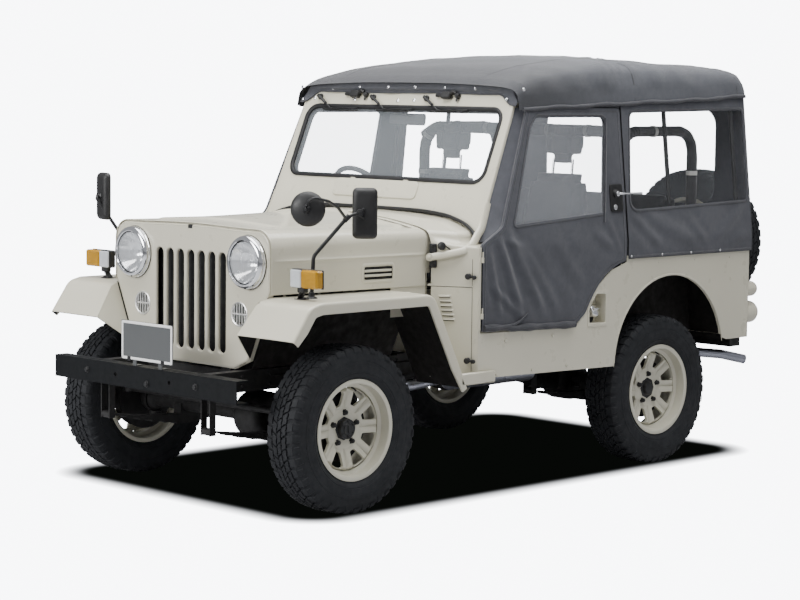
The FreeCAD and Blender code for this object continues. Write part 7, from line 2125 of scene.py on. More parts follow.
def soft_block(x0, x1, y0, y1, z0, z1, round_off, shape_at=None):
    """A closed box of small faces with rounded edges, shaped by a function, ready to be blown up."""
    bm = bmesh.new()
    bmesh.ops.create_cube(bm, size=1.0)
    bmesh.ops.bevel(bm, geom=bm.edges[:], offset=0.5 * min(0.9, round_off), segments=4, affect="EDGES")
    bmesh.ops.subdivide_edges(bm, edges=bm.edges[:], cuts=2, use_grid_fill=True)
    for v in bm.verts:
        v.co = Vector(((x0 + x1) / 2 + v.co.x * (x1 - x0), (y0 + y1) / 2 + v.co.y * (y1 - y0), (z0 + z1) / 2
                       + v.co.z * (z1 - z0)))
        if shape_at:
            v.co = Vector(shape_at(*v.co))
    mesh = bpy.data.meshes.new("soft")
    bm.to_mesh(mesh)
    bm.free()
    return mesh


def blown(mesh, voxel, pressure, cap, pins=None):
    """A cushion's own shape: the mesh remeshed, filled with air as cloth, and kept near its cut."""
    item = bpy.data.objects.new("cushion", mesh)
    bpy.context.scene.collection.objects.link(item)
    bpy.context.view_layer.objects.active = item
    item.select_set(True)
    remesh = item.modifiers.new("grain", "REMESH")
    remesh.mode = "VOXEL"
    remesh.voxel_size = voxel
    bpy.ops.object.modifier_apply(modifier="grain")
    start = [v.co.copy() for v in item.data.vertices]
    cloth_mod = item.modifiers.new("air", "CLOTH")
    settings = cloth_mod.settings
    settings.quality = 4
    settings.mass = 0.4
    settings.tension_stiffness = 18.0
    settings.compression_stiffness = 18.0
    settings.shear_stiffness = 8.0
    settings.bending_stiffness = 1.2
    settings.use_pressure = True
    settings.uniform_pressure_force = pressure
    settings.effector_weights.gravity = 0.0
    cloth_mod.collision_settings.use_collision = False
    if pins:
        group = item.vertex_groups.new(name="held")
        group.add([i for i, p in enumerate(start) if pins(p)], 1.0, "REPLACE")
        settings.vertex_group_mass = "held"
    for step in range(1, 19):
        bpy.context.scene.frame_set(step)
        bpy.context.view_layer.update()
    mesh_now = bpy.data.meshes.new_from_object(item.evaluated_get(bpy.context.evaluated_depsgraph_get()))
    bpy.context.scene.frame_set(1)
    ends = [v.co.copy() for v in mesh_now.vertices]
    bpy.data.meshes.remove(mesh_now)
    item.modifiers.clear()
    for vertex, a, b in zip(item.data.vertices, start, ends):
        way = b - a
        if way.length > cap:
            way = way.normalized() * cap
        vertex.co = a + way
    shape = ([v.co.copy() for v in item.data.vertices], [tuple(f.vertices) for f in item.data.polygons])
    old = item.data
    bpy.data.objects.remove(item)
    bpy.data.meshes.remove(old)
    return shape


def cushion(name, mesh, material, voxel=0.009, pressure=3.0, cap=0.014, pins=None, replaces=()):
    """A padded piece blown up from its cut shape."""
    item = piece(name, blown(mesh, voxel, pressure, cap, pins), material, angle=180, closed=False,
                 replaces=replaces)
    return item


def front_seats():
    """Two bucket seats with separate backs and headrests on chromed posts."""
    half_x, rail_x = 0.193, 0.165
    for side, name in SIDES:
        x = side * SEAT_X

        def cushion_form(px, py, pz):
            u = (px - x) / SEAT_HALF
            rise = 0.018 * ramp(abs(u), 0.55, 0.95) if pz > 0.89 else 0.0
            waist = 0.010 * bump(py, 0.30, 0.12)
            return (px - (px - x) * waist / SEAT_HALF, py, pz + rise - 0.010 * ramp(py, 0.30, 0.50)
                    * (pz > 0.89))

        def back_form(px, py, pz):
            t = (pz - 0.945) / (1.425 - 0.945)
            u = (px - x) / SEAT_HALF
            narrow = 1 - 0.16 * ramp(t, 0.55, 1.0) - 0.05 * (1 - ramp(t, 0.0, 0.3))
            lean = 0.083 * t
            bolster = -0.016 * ramp(abs(u), 0.55, 0.9) if py < 0.50 else 0.0
            thin = -0.020 * t if py > 0.50 else 0.010 * t
            return (x + (px - x) * narrow, py + lean + bolster + thin, pz)

        def rest_form(px, py, pz):
            t = (pz - 1.447) / (1.632 - 1.447)
            narrow = 1 - 0.20 * (1 - ramp(t, 0.0, 0.55)) - 0.10 * ramp(t, 0.75, 1.0)
            return (x + (px - x) * narrow, py + 0.012 * t - 0.006 * math.cos((px - x) / 0.12 * 1.5), pz)

        base = soft_block(x - half_x, x + half_x, 0.072, 0.520, 0.845, 0.938, 0.16, cushion_form)
        cushion("seat_base_" + name, base, MAT["seat"], replaces="seats",
                pins=lambda p: p.z < 0.855)
        back = soft_block(x - half_x, x + half_x, 0.432, 0.522, 0.952, 1.415, 0.22, back_form)
        cushion("seat_back_" + name, back, MAT["seat"], replaces="seats")
        rest = soft_block(x - 0.115, x + 0.115, 0.540, 0.598, 1.452, 1.626, 0.5, rest_form)
        cushion("headrest_" + name, rest, MAT["seat"], voxel=0.006, pressure=4.0, cap=0.010,
                replaces="seats")
        posts = []
        for dx in (-0.060, 0.060):
            posts.append(tube([(x + dx * 1.03, 0.560, 1.375), (x + dx, 0.570, 1.470)], 0.0062, 12))
        piece("headrest_posts_" + name, merge(*posts), MAT["chrome"])
        rails = []
        for dx in (-rail_x, rail_x):
            rails.append(block(x + dx - 0.014, x + dx + 0.014, 0.075, 0.515, 0.812, 0.842, 0.003))
            for y in (0.10, 0.49):
                rails.append(block(x + dx - 0.010, x + dx + 0.010, y - 0.018, y + 0.018, 0.604, 0.812, 0.003))
        rails.append(tube([(x - rail_x, 0.10, 0.700), (x + rail_x, 0.10, 0.700)], 0.010, 10))
        rails.append(tube([(x - rail_x, 0.49, 0.700), (x + rail_x, 0.49, 0.700)], 0.010, 10))
        rails.append(tube(bent_line([(x - 0.05, 0.10, 0.830), (x - 0.05, 0.035, 0.835),
                                     (x + 0.05, 0.035, 0.835), (x + 0.05, 0.10, 0.830)], 0.02), 0.006, 10))
        piece("seat_rails_" + name, merge(*rails), MAT["black"])
        welts = []
        loop = [Vector((x + p[0], p[1], 0.944)) for p in rounded([(-0.155, 0.11), (0.155, 0.11),
                                                                  (0.155, 0.44), (-0.155, 0.44)], 0.03)]
        welts.append(tube(loop + loop[:1], 0.0035, 6, caps=False))
        loop = [Vector((x + p[0], 0.443 + 0.0875 * (p[1] - 0.945) / 0.48, p[1])) for p in
                rounded([(-0.14, 1.03), (0.14, 1.03), (0.125, 1.36), (-0.125, 1.36)], 0.03)]
        welts.append(tube(loop + loop[:1], 0.0035, 6, caps=False))
        piece("seat_welts_" + name, merge(*welts), MAT["pad"], closed=False)


def rear_bench():
    """A bench across the wheel houses with a low padded back."""
    half_x = 0.548
    def form(px, py, pz):
        rise = 0.010 * bump(abs(px), 0.28, 0.16) if pz > 0.91 else 0.0
        return (px, py, pz + rise)

    def back(px, py, pz):
        t = (pz - 0.95) / 0.35
        return (px, py + 0.040 * t - (0.010 * bump(abs(px), 0.28, 0.16) if py < 1.20 else 0.0), pz)

    cushion("bench_base", soft_block(-half_x, half_x, 0.832, 1.152, 0.862, 0.938, 0.14, form), MAT["seat"],
            voxel=0.012, replaces="seats", pins=lambda p: p.z < 0.875)
    cushion("bench_back", soft_block(-half_x, half_x, 1.170, 1.212, 0.960, 1.290, 0.12, back), MAT["seat"],
            voxel=0.012, replaces="seats", cap=0.010)
    legs = []
    for x in (-0.5, 0.0, 0.5):
        legs.append(tube(bent_line([(x, 0.86, 0.605), (x, 0.86, 0.845), (x, 1.18, 0.848), (x, 1.18, 0.605)],
                                   0.04), 0.011, 10))
        legs.append(disc_on((x, 0.86, 0.6045), (0, 0, 1), [(0.0, 0.022), (0.004, 0.021), (0.004, 0.011)], 16))
    legs.append(block(-0.545, 0.545, 0.84, 1.20, 0.848, 0.860, 0.003))
    piece("bench_frame", merge(*legs), MAT["black"])


def roll_bar():
    """The hoop and its stays in black foam sleeves held with pale tape, on bolted feet."""
    left = bent_line([(BAR_X, HOOP_Y, BAR_FOOT_Z), (BAR_X, HOOP_Y, BAR_TOP_Z), (0.0, HOOP_Y, BAR_TOP_Z)],
                     0.150, 14)
    hoop = left + [Vector((-p.x, p.y, p.z)) for p in reversed(left[:-1])]
    foam = tube(hoop, lambda t: 0.0285 + 0.0012 * math.sin(t * 60.0) * math.sin(t * 23.0), 20)
    hoop_item = piece("hoop_sleeve", foam, MAT["pad"], angle=60, replaces="roll_bar")
    bands = []

    def band(a, b, r):
        """A short sleeve of tape round the bar."""
        way = (Vector(b) - Vector(a)).normalized()
        return disc_on(Vector(a) - way * 0.011, way, [(0.0, r - 0.001), (0.0005, r + 0.0012),
                                                      (0.0215, r + 0.0012), (0.022, r - 0.001)], 22)

    total = [0.0]
    for a, b in zip(hoop, hoop[1:]):
        total.append(total[-1] + (b - a).length)
    for want in (0.14, 0.42, 0.62, 0.80, 1.05, total[-1] - 1.05, total[-1] - 0.80, total[-1] - 0.62,
                 total[-1] - 0.42, total[-1] - 0.14):
        i = max(j for j, v in enumerate(total) if v <= want)
        i = min(i, len(hoop) - 2)
        at_point = hoop[i].lerp(hoop[i + 1], (want - total[i]) / max(1e-6, total[i + 1] - total[i]))
        bands.append(band(at_point, at_point + (hoop[i + 1] - hoop[i]).normalized(), 0.0297))
    for side, name in SIDES:
        x = side * BAR_X
        stay = bent_line([(x, HOOP_Y, 1.563), (x, 0.745, BAR_TOP_Z), (x, STAY_Y, BAR_TOP_Z),
                          (x, STAY_Y, BAR_FOOT_Z)], 0.130, 12)
        stay_item = piece("stay_sleeve_" + name, tube(stay, lambda t: 0.0262 + 0.001 * math.sin(t * 47.0),
                                                      18), MAT["pad"], angle=60,
                          replaces="roll_bar")
        for a, b in (((x, 0.90, BAR_TOP_Z), (x, 1.0, BAR_TOP_Z)), ((x, STAY_Y, 1.40), (x, STAY_Y, 1.30)),
                     ((x, STAY_Y, 1.12), (x, STAY_Y, 1.0)), ((x, STAY_Y, 0.99), (x, STAY_Y, 0.90))):
            bands.append(band(a, b, 0.0272))
    piece("tape_bands", merge(*bands), MAT["strap"], closed=False)
    feet = []
    for side in (1, -1):
        for y in (HOOP_Y, STAY_Y):
            x = side * 0.655
            feet.append(block(x - 0.050, x + 0.050, y - 0.045, y + 0.045, 0.9525, 0.9585, 0.002))
            for dx in (-0.037, 0.037):
                for dy in (-0.032, 0.032):
                    feet.append(bolt((x + dx, y + dy, 0.9585), (0, 0, 1), 0.013, 0.008))
    piece("roll_bar_feet", merge(*feet), MAT["pad"])


def steering():
    """A thin-rimmed wheel with three dished spokes and a horn pad, and its column."""
    lean = math.radians(35.0)
    centre = Vector((-0.370, -0.050, 1.265))
    axis = Vector((0.0, math.cos(lean), math.sin(lean)))
    side = Vector((1.0, 0.0, 0.0))
    up = side.cross(axis) * -1.0

    def on_wheel(angle, r, lift=0.0):
        """A point of the wheel's own plane, or lifted off it."""
        return centre + side * (r * math.cos(angle)) + up * (r * math.sin(angle)) + axis * lift

    rim = [on_wheel(2 * math.pi * i / 64, 0.182) for i in range(65)]
    tube_rows = tube(rim, lambda t: 0.0128 + 0.0006 * math.cos(t * 2 * math.pi * 28), 14, caps=False)
    shapes = [tube_rows]
    for degrees in (90.0, 210.0, 330.0):
        a = math.radians(degrees)
        line = [on_wheel(a, 0.030, -0.012), on_wheel(a, 0.085, -0.018), on_wheel(a, 0.140, -0.010),
                on_wheel(a, 0.181, 0.0)]
        shapes.append(tube(smooth_line(line, 5), lambda t: 0.016 - 0.004 * t, 12, flat=0.42, up=tuple(axis)))
    shapes.append(disc_on(centre - axis * 0.022, axis, [(-0.010, 0.022), (0.0, 0.030), (0.010, 0.036),
                                                        (0.024, 0.038), (0.032, 0.034), (0.036, 0.022),
                                                        (0.037, 0.0)], 32))
    piece("steering_rim", merge(*shapes), MAT["plastic"], "steering_wheel", angle=50,
          replaces="steering_wheel")
    pad = disc_on(centre + axis * 0.0148, axis, [(0.0, 0.020), (0.0014, 0.019), (0.0022, 0.0)], 28)
    piece("horn_button", pad, MAT["black"], "steering_wheel")
    collar = disc_on(centre - axis * 0.155, axis, [(0.0, 0.024), (0.004, 0.030), (0.060, 0.030),
                                                   (0.075, 0.026), (0.110, 0.0235)], 26)
    stalk = tube([centre - axis * 0.080 + side * 0.026, centre - axis * 0.070 + side * 0.110,
                  centre - axis * 0.060 + side * 0.165], 0.005, 10)
    tip = tube([centre - axis * 0.061 + side * 0.160, centre - axis * 0.058 + side * 0.185], 0.0085, 12)
    piece("column_shroud", merge(collar, stalk, tip), MAT["plastic"], closed=False)


def dash():
    """The flat dash: cream panel, gauges, switches, grab bar, pedals and the floor's levers."""
    y = -0.3385
    half = [(0.0, 1.232), (0.30, 1.228), (0.505, 1.210), (0.668, 1.160), (0.676, 1.118), (0.776, 1.100),
            (0.776, 1.012)]
    loop = rounded(half + [(-x, z) for x, z in reversed(half[1:])], 0.018)
    flat = plate([[(-x, z) for x, z in reversed(loop)]], 0.0035, 0.001)
    turn = Matrix(((-1, 0, 0, 0), (0, 0, 1, y), (0, 1, 0, 0), (0, 0, 0, 1)))
    shapes = [moved(flat, turn)]
    lip = [Vector((x, y + 0.002, 1.012)) for x in spread(-0.770, 0.770, 10)]
    shapes.append(tube(lip, 0.006, 8))
    piece("dash_panel", merge(*shapes), MAT["cream_inside"], closed=False)
    rims = []
    faces = []
    ticks = []
    for x, z, r in ((-0.370, 1.140, 0.058), (-0.240, 1.150, 0.036), (-0.155, 1.150, 0.036),
                    (-0.070, 1.150, 0.036)):
        start = (x, y + 0.0015, z)
        rims.append(disc_on(start, (0, 1, 0), [(0.0, r), (0.003, r + 0.003), (0.008, r + 0.002),
                                               (0.009, r - 0.003), (0.005, r - 0.005)], 32))
        faces.append(disc_on(start, (0, 1, 0), [(0.004, r - 0.004), (0.0045, 0.0)], 32))
        for i in range(11):
            a = math.radians(220 - 26 * i)
            p0 = Vector((x - (r - 0.012) * math.cos(a), y + 0.0062, z + (r - 0.012) * math.sin(a)))
            p1 = Vector((x - (r - 0.006) * math.cos(a), y + 0.0062, z + (r - 0.006) * math.sin(a)))
            ticks.append(tube([p0, p1], 0.0009, 4))
        a = math.radians(150)
        ticks.append(tube([Vector((x, y + 0.0066, z)), Vector((x - (r - 0.014) * math.cos(a), y + 0.0066,
                                                               z + (r - 0.014) * math.sin(a)))], 0.0012, 4))
    piece("dial_rims", merge(*rims), MAT["chrome"], closed=False)
    piece("dial_faces", merge(*faces), MAT["dial"], closed=False)
    piece("dial_ticks", merge(*ticks), MAT["plate_border"], closed=False)
    knobs = []
    for i, x in enumerate((-0.52, -0.49, -0.215, -0.160, -0.105, 0.06, 0.10, 0.14)):
        z = 1.060 if i > 1 else 1.100
        knobs.append(disc_on((x, y + 0.001, z), (0, 1, 0), [(0.0, 0.005), (0.010, 0.005), (0.011, 0.0095),
                                                            (0.020, 0.0105), (0.024, 0.008), (0.024, 0.0)],
                             16))
    grab = bent_line([(0.22, y, 1.135), (0.22, y + 0.050, 1.140), (0.56, y + 0.050, 1.125), (0.56, y, 1.120)],
                     0.025)
    knobs.append(tube(grab, 0.0105, 12))
    glove = plate([rounded([(-0.50, 1.030), (-0.22, 1.030), (-0.22, 1.100), (-0.50, 1.100)], 0.010)], 0.004,
                  0.0015)
    knobs.append(moved(glove, Matrix.Translation((0, 0.004, 0)) @ turn))
    for x in (-0.47, -0.34, -0.22):
        pad = block(x - 0.030, x + 0.030, -0.345, -0.337, 0.735, 0.785, 0.004)
        knobs.append(moved(pad, Matrix.Translation((0, -0.345, 0.76)) @ Matrix.Rotation(0.5, 4, "X")
                           @ Matrix.Translation((0, 0.345, -0.76))))
        knobs.append(tube(smooth_line([(x, -0.352, 0.760), (x, -0.392, 0.790), (x, -0.430, 0.900),
                                       (x, -0.440, 0.985)]), 0.007, 8))
    piece("dash_controls", merge(*knobs), MAT["plastic"])
    levers = [tube(smooth_line([(0.06, -0.060, 0.612), (0.055, -0.070, 0.80), (0.045, -0.010, 0.985)]),
                   0.0065, 10), tube(smooth_line([(0.16, -0.030, 0.612), (0.165, -0.040, 0.74),
                                                  (0.160, 0.000, 0.865)]), 0.0065, 10),
              tube(smooth_line([(-0.055, 0.060, 0.612), (-0.060, -0.040, 0.66), (-0.060, -0.130, 0.79)]),
                   0.008, 10)]
    piece("lever_rods", merge(*levers), MAT["chrome"])
    grips = []
    for place, r in (((0.045, -0.010, 0.997), 0.023), ((0.160, 0.0, 0.874), 0.017)):
        knob = [(0.0, 0.008)]
        for a in np.linspace(0.45, math.pi - 0.02, 9):
            knob.append((r * (1 - math.cos(a)) * 0.98 + 0.001, r * math.sin(a) * 0.98 + 0.0015))
        knob.append((2 * r, 0.0))
        grips.append(disc_on(Vector(place) - Vector((0, 0, r * 0.9)), (0, 0.2, 1), knob, 18))
    grips.append(tube([(-0.060, -0.105, 0.760), (-0.060, -0.160, 0.832)], 0.0125, 12))
    for place in ((0.06, -0.062, 0.604), (0.16, -0.030, 0.604)):
        grips.append(disc_on(place, (0, 0, 1), [(0.0, 0.058), (0.006, 0.056), (0.010, 0.045), (0.020, 0.042),
                                                (0.026, 0.030), (0.040, 0.026), (0.048, 0.014),
                                                (0.060, 0.010), (0.060, 0.0)], 24))
    piece("lever_grips", merge(*grips), MAT["plastic"])


def cabin_trim():
    """Ribbed rubber mats and the inner mirror."""
    mats = []
    for side in (1, -1):
        loop = rounded([(side * 0.16, -0.30), (side * 0.56, -0.30), (side * 0.56, 0.055),
                        (side * 0.16, 0.055)], 0.03)
        mats.append(moved(plate([looped(loop)], 0.005, 0.0015), Matrix.Translation((0, 0, 0.6095))))
        for i in range(12):
            y = -0.28 + i * 0.0285
            mats.append(block(side * 0.185, side * 0.535, y - 0.003, y + 0.003, 0.609, 0.6115, 0.001))
    piece("floor_mats", merge(*mats), MAT["mat"])
    mirror_place = Matrix.Translation((-0.005, -0.120, 1.657)) @ Matrix.Rotation(math.radians(-6), 4, "X")
    back = block(-0.118, 0.118, -0.014, 0.004, -0.028, 0.028, 0.010)
    stem = tube([(-0.005, -0.128, 1.670), (-0.005, -0.140, 1.712), (-0.005, -0.134, 1.738)], 0.006, 10)
    piece("inner_mirror", merge(moved(back, mirror_place), stem), MAT["plastic"])
    glass = moved(plate([oval(0.113, 0.0235, 0.010, 5)], 0.001, 0.0003), mirror_place
                  @ Matrix.Translation((0, 0.0052, 0)) @ Matrix.Rotation(math.radians(-90), 4, "X"))
    piece("inner_mirror_glass", glass, MAT["mirror"], closed=False)


# Mirrors, lamps at the rear, filler, arch lips, spare carrier, exhaust and other fittings
MIRROR_TURN_LEFT = math.radians(38.0)
MIRROR_TURN_RIGHT = math.radians(-13.0)


def turned_about(place, angle):
    """Brings a head built round the origin, with its back towards -Y, to its place and turn."""
    return Matrix.Translation(place) @ Matrix.Rotation(angle, 4, "Z")


def upright_head():
    """A tall mirror: a dished back with a soft rim, and its glass set in."""
    rows = []
    for back, shrink, r in ((0.0015, 0.0070, 0.017), (-0.0005, 0.0030, 0.020), (-0.003, 0.0008, 0.022),
                            (-0.007, 0.0, 0.022), (-0.016, 0.0010, 0.022), (-0.023, 0.0040, 0.021),
                            (-0.029, 0.0095, 0.020), (-0.0325, 0.0170, 0.018), (-0.034, 0.027, 0.014)):
        loop = oval(0.054 - shrink, 0.109 - shrink, r, 6)
        rows.append([(x, back, z) for x, z in loop])
    shell = rings(rows)
    count = len(rows[0])
    faces = list(shell[1]) + [tuple(range(len(shell[0]) - count, len(shell[0])))]
    glass_loop = oval(0.047, 0.102, 0.017, 6)
    glass = ([(x, 0.0008, z) for x, z in glass_loop], [tuple(range(len(glass_loop)))])
    return (shell[0], faces), glass


def mirrors():
    """Fender mirrors on bent arms: an upright and a round one at the left, one upright at the right."""
    foot_x, foot_y = 0.655, -1.340
    head, glass = upright_head()
    shells = []
    glasses = []
    arms = []
    left = Vector((0.730, -1.104, 1.276))
    right = Vector((-0.711, -1.374, 1.295))
    small = Vector((0.701, -1.405, 1.302))
    for place, angle in ((left, MIRROR_TURN_LEFT), (right, MIRROR_TURN_RIGHT)):
        shells.append(moved(head, turned_about(place, angle)))
        glasses.append(moved(glass, turned_about(place, angle)))
    dome = [(0.001, 0.069), (-0.001, 0.0725), (-0.006, 0.074), (-0.012, 0.0725), (-0.019, 0.067),
            (-0.026, 0.0570), (-0.032, 0.042), (-0.037, 0.022), (-0.0385, 0.0)]
    turn_small = turned_about(small, MIRROR_TURN_LEFT)
    to_y = Matrix.Rotation(math.radians(90), 4, "Z")
    shells.append(moved(turned(dome, 44), turn_small @ to_y))
    glasses.append(moved(turned([(0.0004, 0.0685), (0.0006, 0.0)], 40), turn_small @ to_y))
    back_left = Vector((math.sin(MIRROR_TURN_LEFT), -math.cos(MIRROR_TURN_LEFT), 0.0))
    back_right = Vector((math.sin(MIRROR_TURN_RIGHT), -math.cos(MIRROR_TURN_RIGHT), 0.0))
    foot = Vector((foot_x, foot_y, 0.928))
    fork = Vector((0.722, -1.202, 1.260))
    arms.append(tube(bent_line([foot, (0.665, foot_y, 1.099), fork], 0.045, 8), 0.0085, 14))
    ball = left + back_left * 0.048 + Vector((-0.012, -0.008, 0.004))
    arms.append(tube(bent_line([fork, (fork + ball) / 2 + Vector((0.0, 0.0, 0.004)), ball], 0.02, 4), 0.0068,
                     12))
    arms.append(disc_on(ball - back_left * 0.014, back_left, [(0.0, 0.012), (0.004, 0.015), (0.014, 0.017),
                                                              (0.024, 0.015), (0.028, 0.0)], 18))
    for lug in (-0.020, 0.020):
        arms.append(tube(bent_line([ball + Vector((0, 0, lug * 0.5)), left + back_left * 0.034
                                    + Vector((0, 0, lug))], 0.01, 3), 0.0052, 8))
    over = [fork - Vector((0.0, 0.004, 0.006)), (0.758, -1.290, 1.308), (0.792, -1.376, 1.338),
            (0.768, -1.428, 1.352), (0.745, -1.440, 1.340), small + back_left * 0.036
            + Vector((0.0, 0.0, 0.010))]
    arms.append(tube(bent_line(over, 0.030, 8), 0.0066, 12))
    arms.append(disc_on(small + back_left * 0.034, back_left, [(0.0, 0.018), (0.004, 0.017), (0.010, 0.012),
                                                               (0.016, 0.010), (0.018, 0.0)], 20))
    for lug in (-0.014, 0.014):
        arms.append(tube([small + back_left * 0.038 + Vector((0, 0, lug - 0.006)), small + back_left * 0.056
                          + Vector((0, 0, lug * 0.4 + 0.012))], 0.0046, 8))
    arms.append(tube([fork - Vector((0.006, 0.010, 0.014)), fork + Vector((0.004, 0.010, 0.008))], 0.0118,
                     12))
    right_foot = Vector((-foot_x, foot_y, 0.928))
    arms.append(tube(bent_line([right_foot, (-0.640, -1.345, 1.120), (-0.712, -1.432, 1.290),
                                right + back_right * 0.034], 0.045, 8), 0.0080, 14))
    arms.append(disc_on(right + back_right * 0.030, back_right, [(0.0, 0.020), (0.005, 0.019), (0.010, 0.013),
                                                                 (0.018, 0.012), (0.020, 0.0)], 20))
    for side in (1, -1):
        base = (side * foot_x, foot_y, 0.9205)
        arms.append(disc_on(base, (0, 0, 1), [(0.0, 0.026), (0.003, 0.0255), (0.006, 0.021), (0.009, 0.014),
                                              (0.026, 0.0125), (0.028, 0.009)], 24))
        for dx in (-0.018, 0.018):
            arms.append(bolt((base[0] + dx, base[1], 0.9245), (0, 0, 1), 0.009, 0.005))
    piece("mirror_backs", merge(*shells), MAT["plastic"], angle=50, closed=False,
          replaces="mirrors")
    piece("mirror_arms", merge(*arms), MAT["black"], closed=False, replaces="mirrors")
    piece("mirror_glasses", merge(*glasses), MAT["mirror"], closed=False,
          replaces="mirrors")


def rear_lamps():
    """Two deep round cups at each rear corner with ribbed lenses facing back."""
    cups = []
    red = []
    amber = []
    rims = []
    for x, z, r, depth in ((0.768, 0.812, 0.0385, 0.099), (0.754, 0.693, 0.0555, 0.112)):
        start = (x, BODY_REAR_Y + 0.0006, z)
        cups.append(disc_on(start, (0, 1, 0), [(0.0, r * 0.80), (0.002, r * 0.86), (depth * 0.28, r * 0.93),
                                               (depth * 0.55, r), (depth * 0.72, r),
                                               (depth * 0.745, r * 0.985), (depth * 0.75, r * 0.955),
                                               (depth * 0.72, r * 0.94)], 36))
        lens_profile = [(depth * 0.72, r * 0.95)]
        for i in range(9):
            a = math.radians(90 * i / 8)
            lens_profile.append((depth * 0.745 + depth * 0.25 * math.sin(a), r * 0.945 * math.cos(a) ** 0.7))
        (red if r > 0.05 else amber).append(disc_on(start, (0, 1, 0), lens_profile, 36))
        rims.append(disc_on(start, (0, 1, 0), [(depth * 0.735, r * 0.945), (depth * 0.765, r * 0.985),
                                               (depth * 0.79, r * 0.95), (depth * 0.775, r * 0.91)], 36))
    piece("tail_lamp_cups", both(merge(*cups)), MAT["cream"], closed=False,
          replaces="tail_lamps")
    piece("tail_lamp_rims", both(merge(*rims)), MAT["cream"], closed=False)
    piece("tail_lamp_lenses", both(merge(*red)), MAT["red"], closed=False)
    piece("rear_turn_lenses", both(merge(*amber)), MAT["amber"], closed=False)


def filler():
    """The pale rim of the filler's pocket, its cap and the neck's dark hole."""
    outline = [(0.262, 0.706), (0.404, 0.702), (0.404, 0.872), (0.3325, 0.876), (0.262, 0.790)]
    inner = [(0.2735, 0.7235), (0.3885, 0.7195), (0.3885, 0.8545), (0.3225, 0.8585), (0.2840, 0.8110),
             (0.2735, 0.7860)]
    outline = rounded(outline, 0.006, 3)
    inner = rounded(inner, 0.008, 3)
    rim = moved(plate([outline, inner], 0.0032, 0.0014), facing_x(PANEL_X + 0.0030))
    piece("filler_rim", rim, MAT["cream"])
    cap_way = Vector((0.60, 0.12, 0.30)).normalized()
    place = Vector((0.774, 0.333, 0.772))
    cap = disc_on(place, cap_way, [(0.0, 0.026), (0.004, 0.031), (0.012, 0.032), (0.020, 0.0305),
                                   (0.024, 0.026), (0.0255, 0.018), (0.026, 0.0)], 30)
    grip = moved(block(-0.003, 0.011, -0.026, 0.026, -0.0055, 0.0055, 0.003),
                 Matrix.Translation(place + cap_way * 0.024) @ frame_along(cap_way))
    piece("filler_cap", merge(cap, grip), MAT["chrome"])
    hole = disc_on((0.762, 0.314, 0.742), (0.9, -0.1, 0.1), [(0.0, 0.028), (0.012, 0.029), (0.014, 0.026),
                                                             (0.006, 0.0)], 26)
    piece("filler_neck_rubber", hole, MAT["seal"], closed=False)


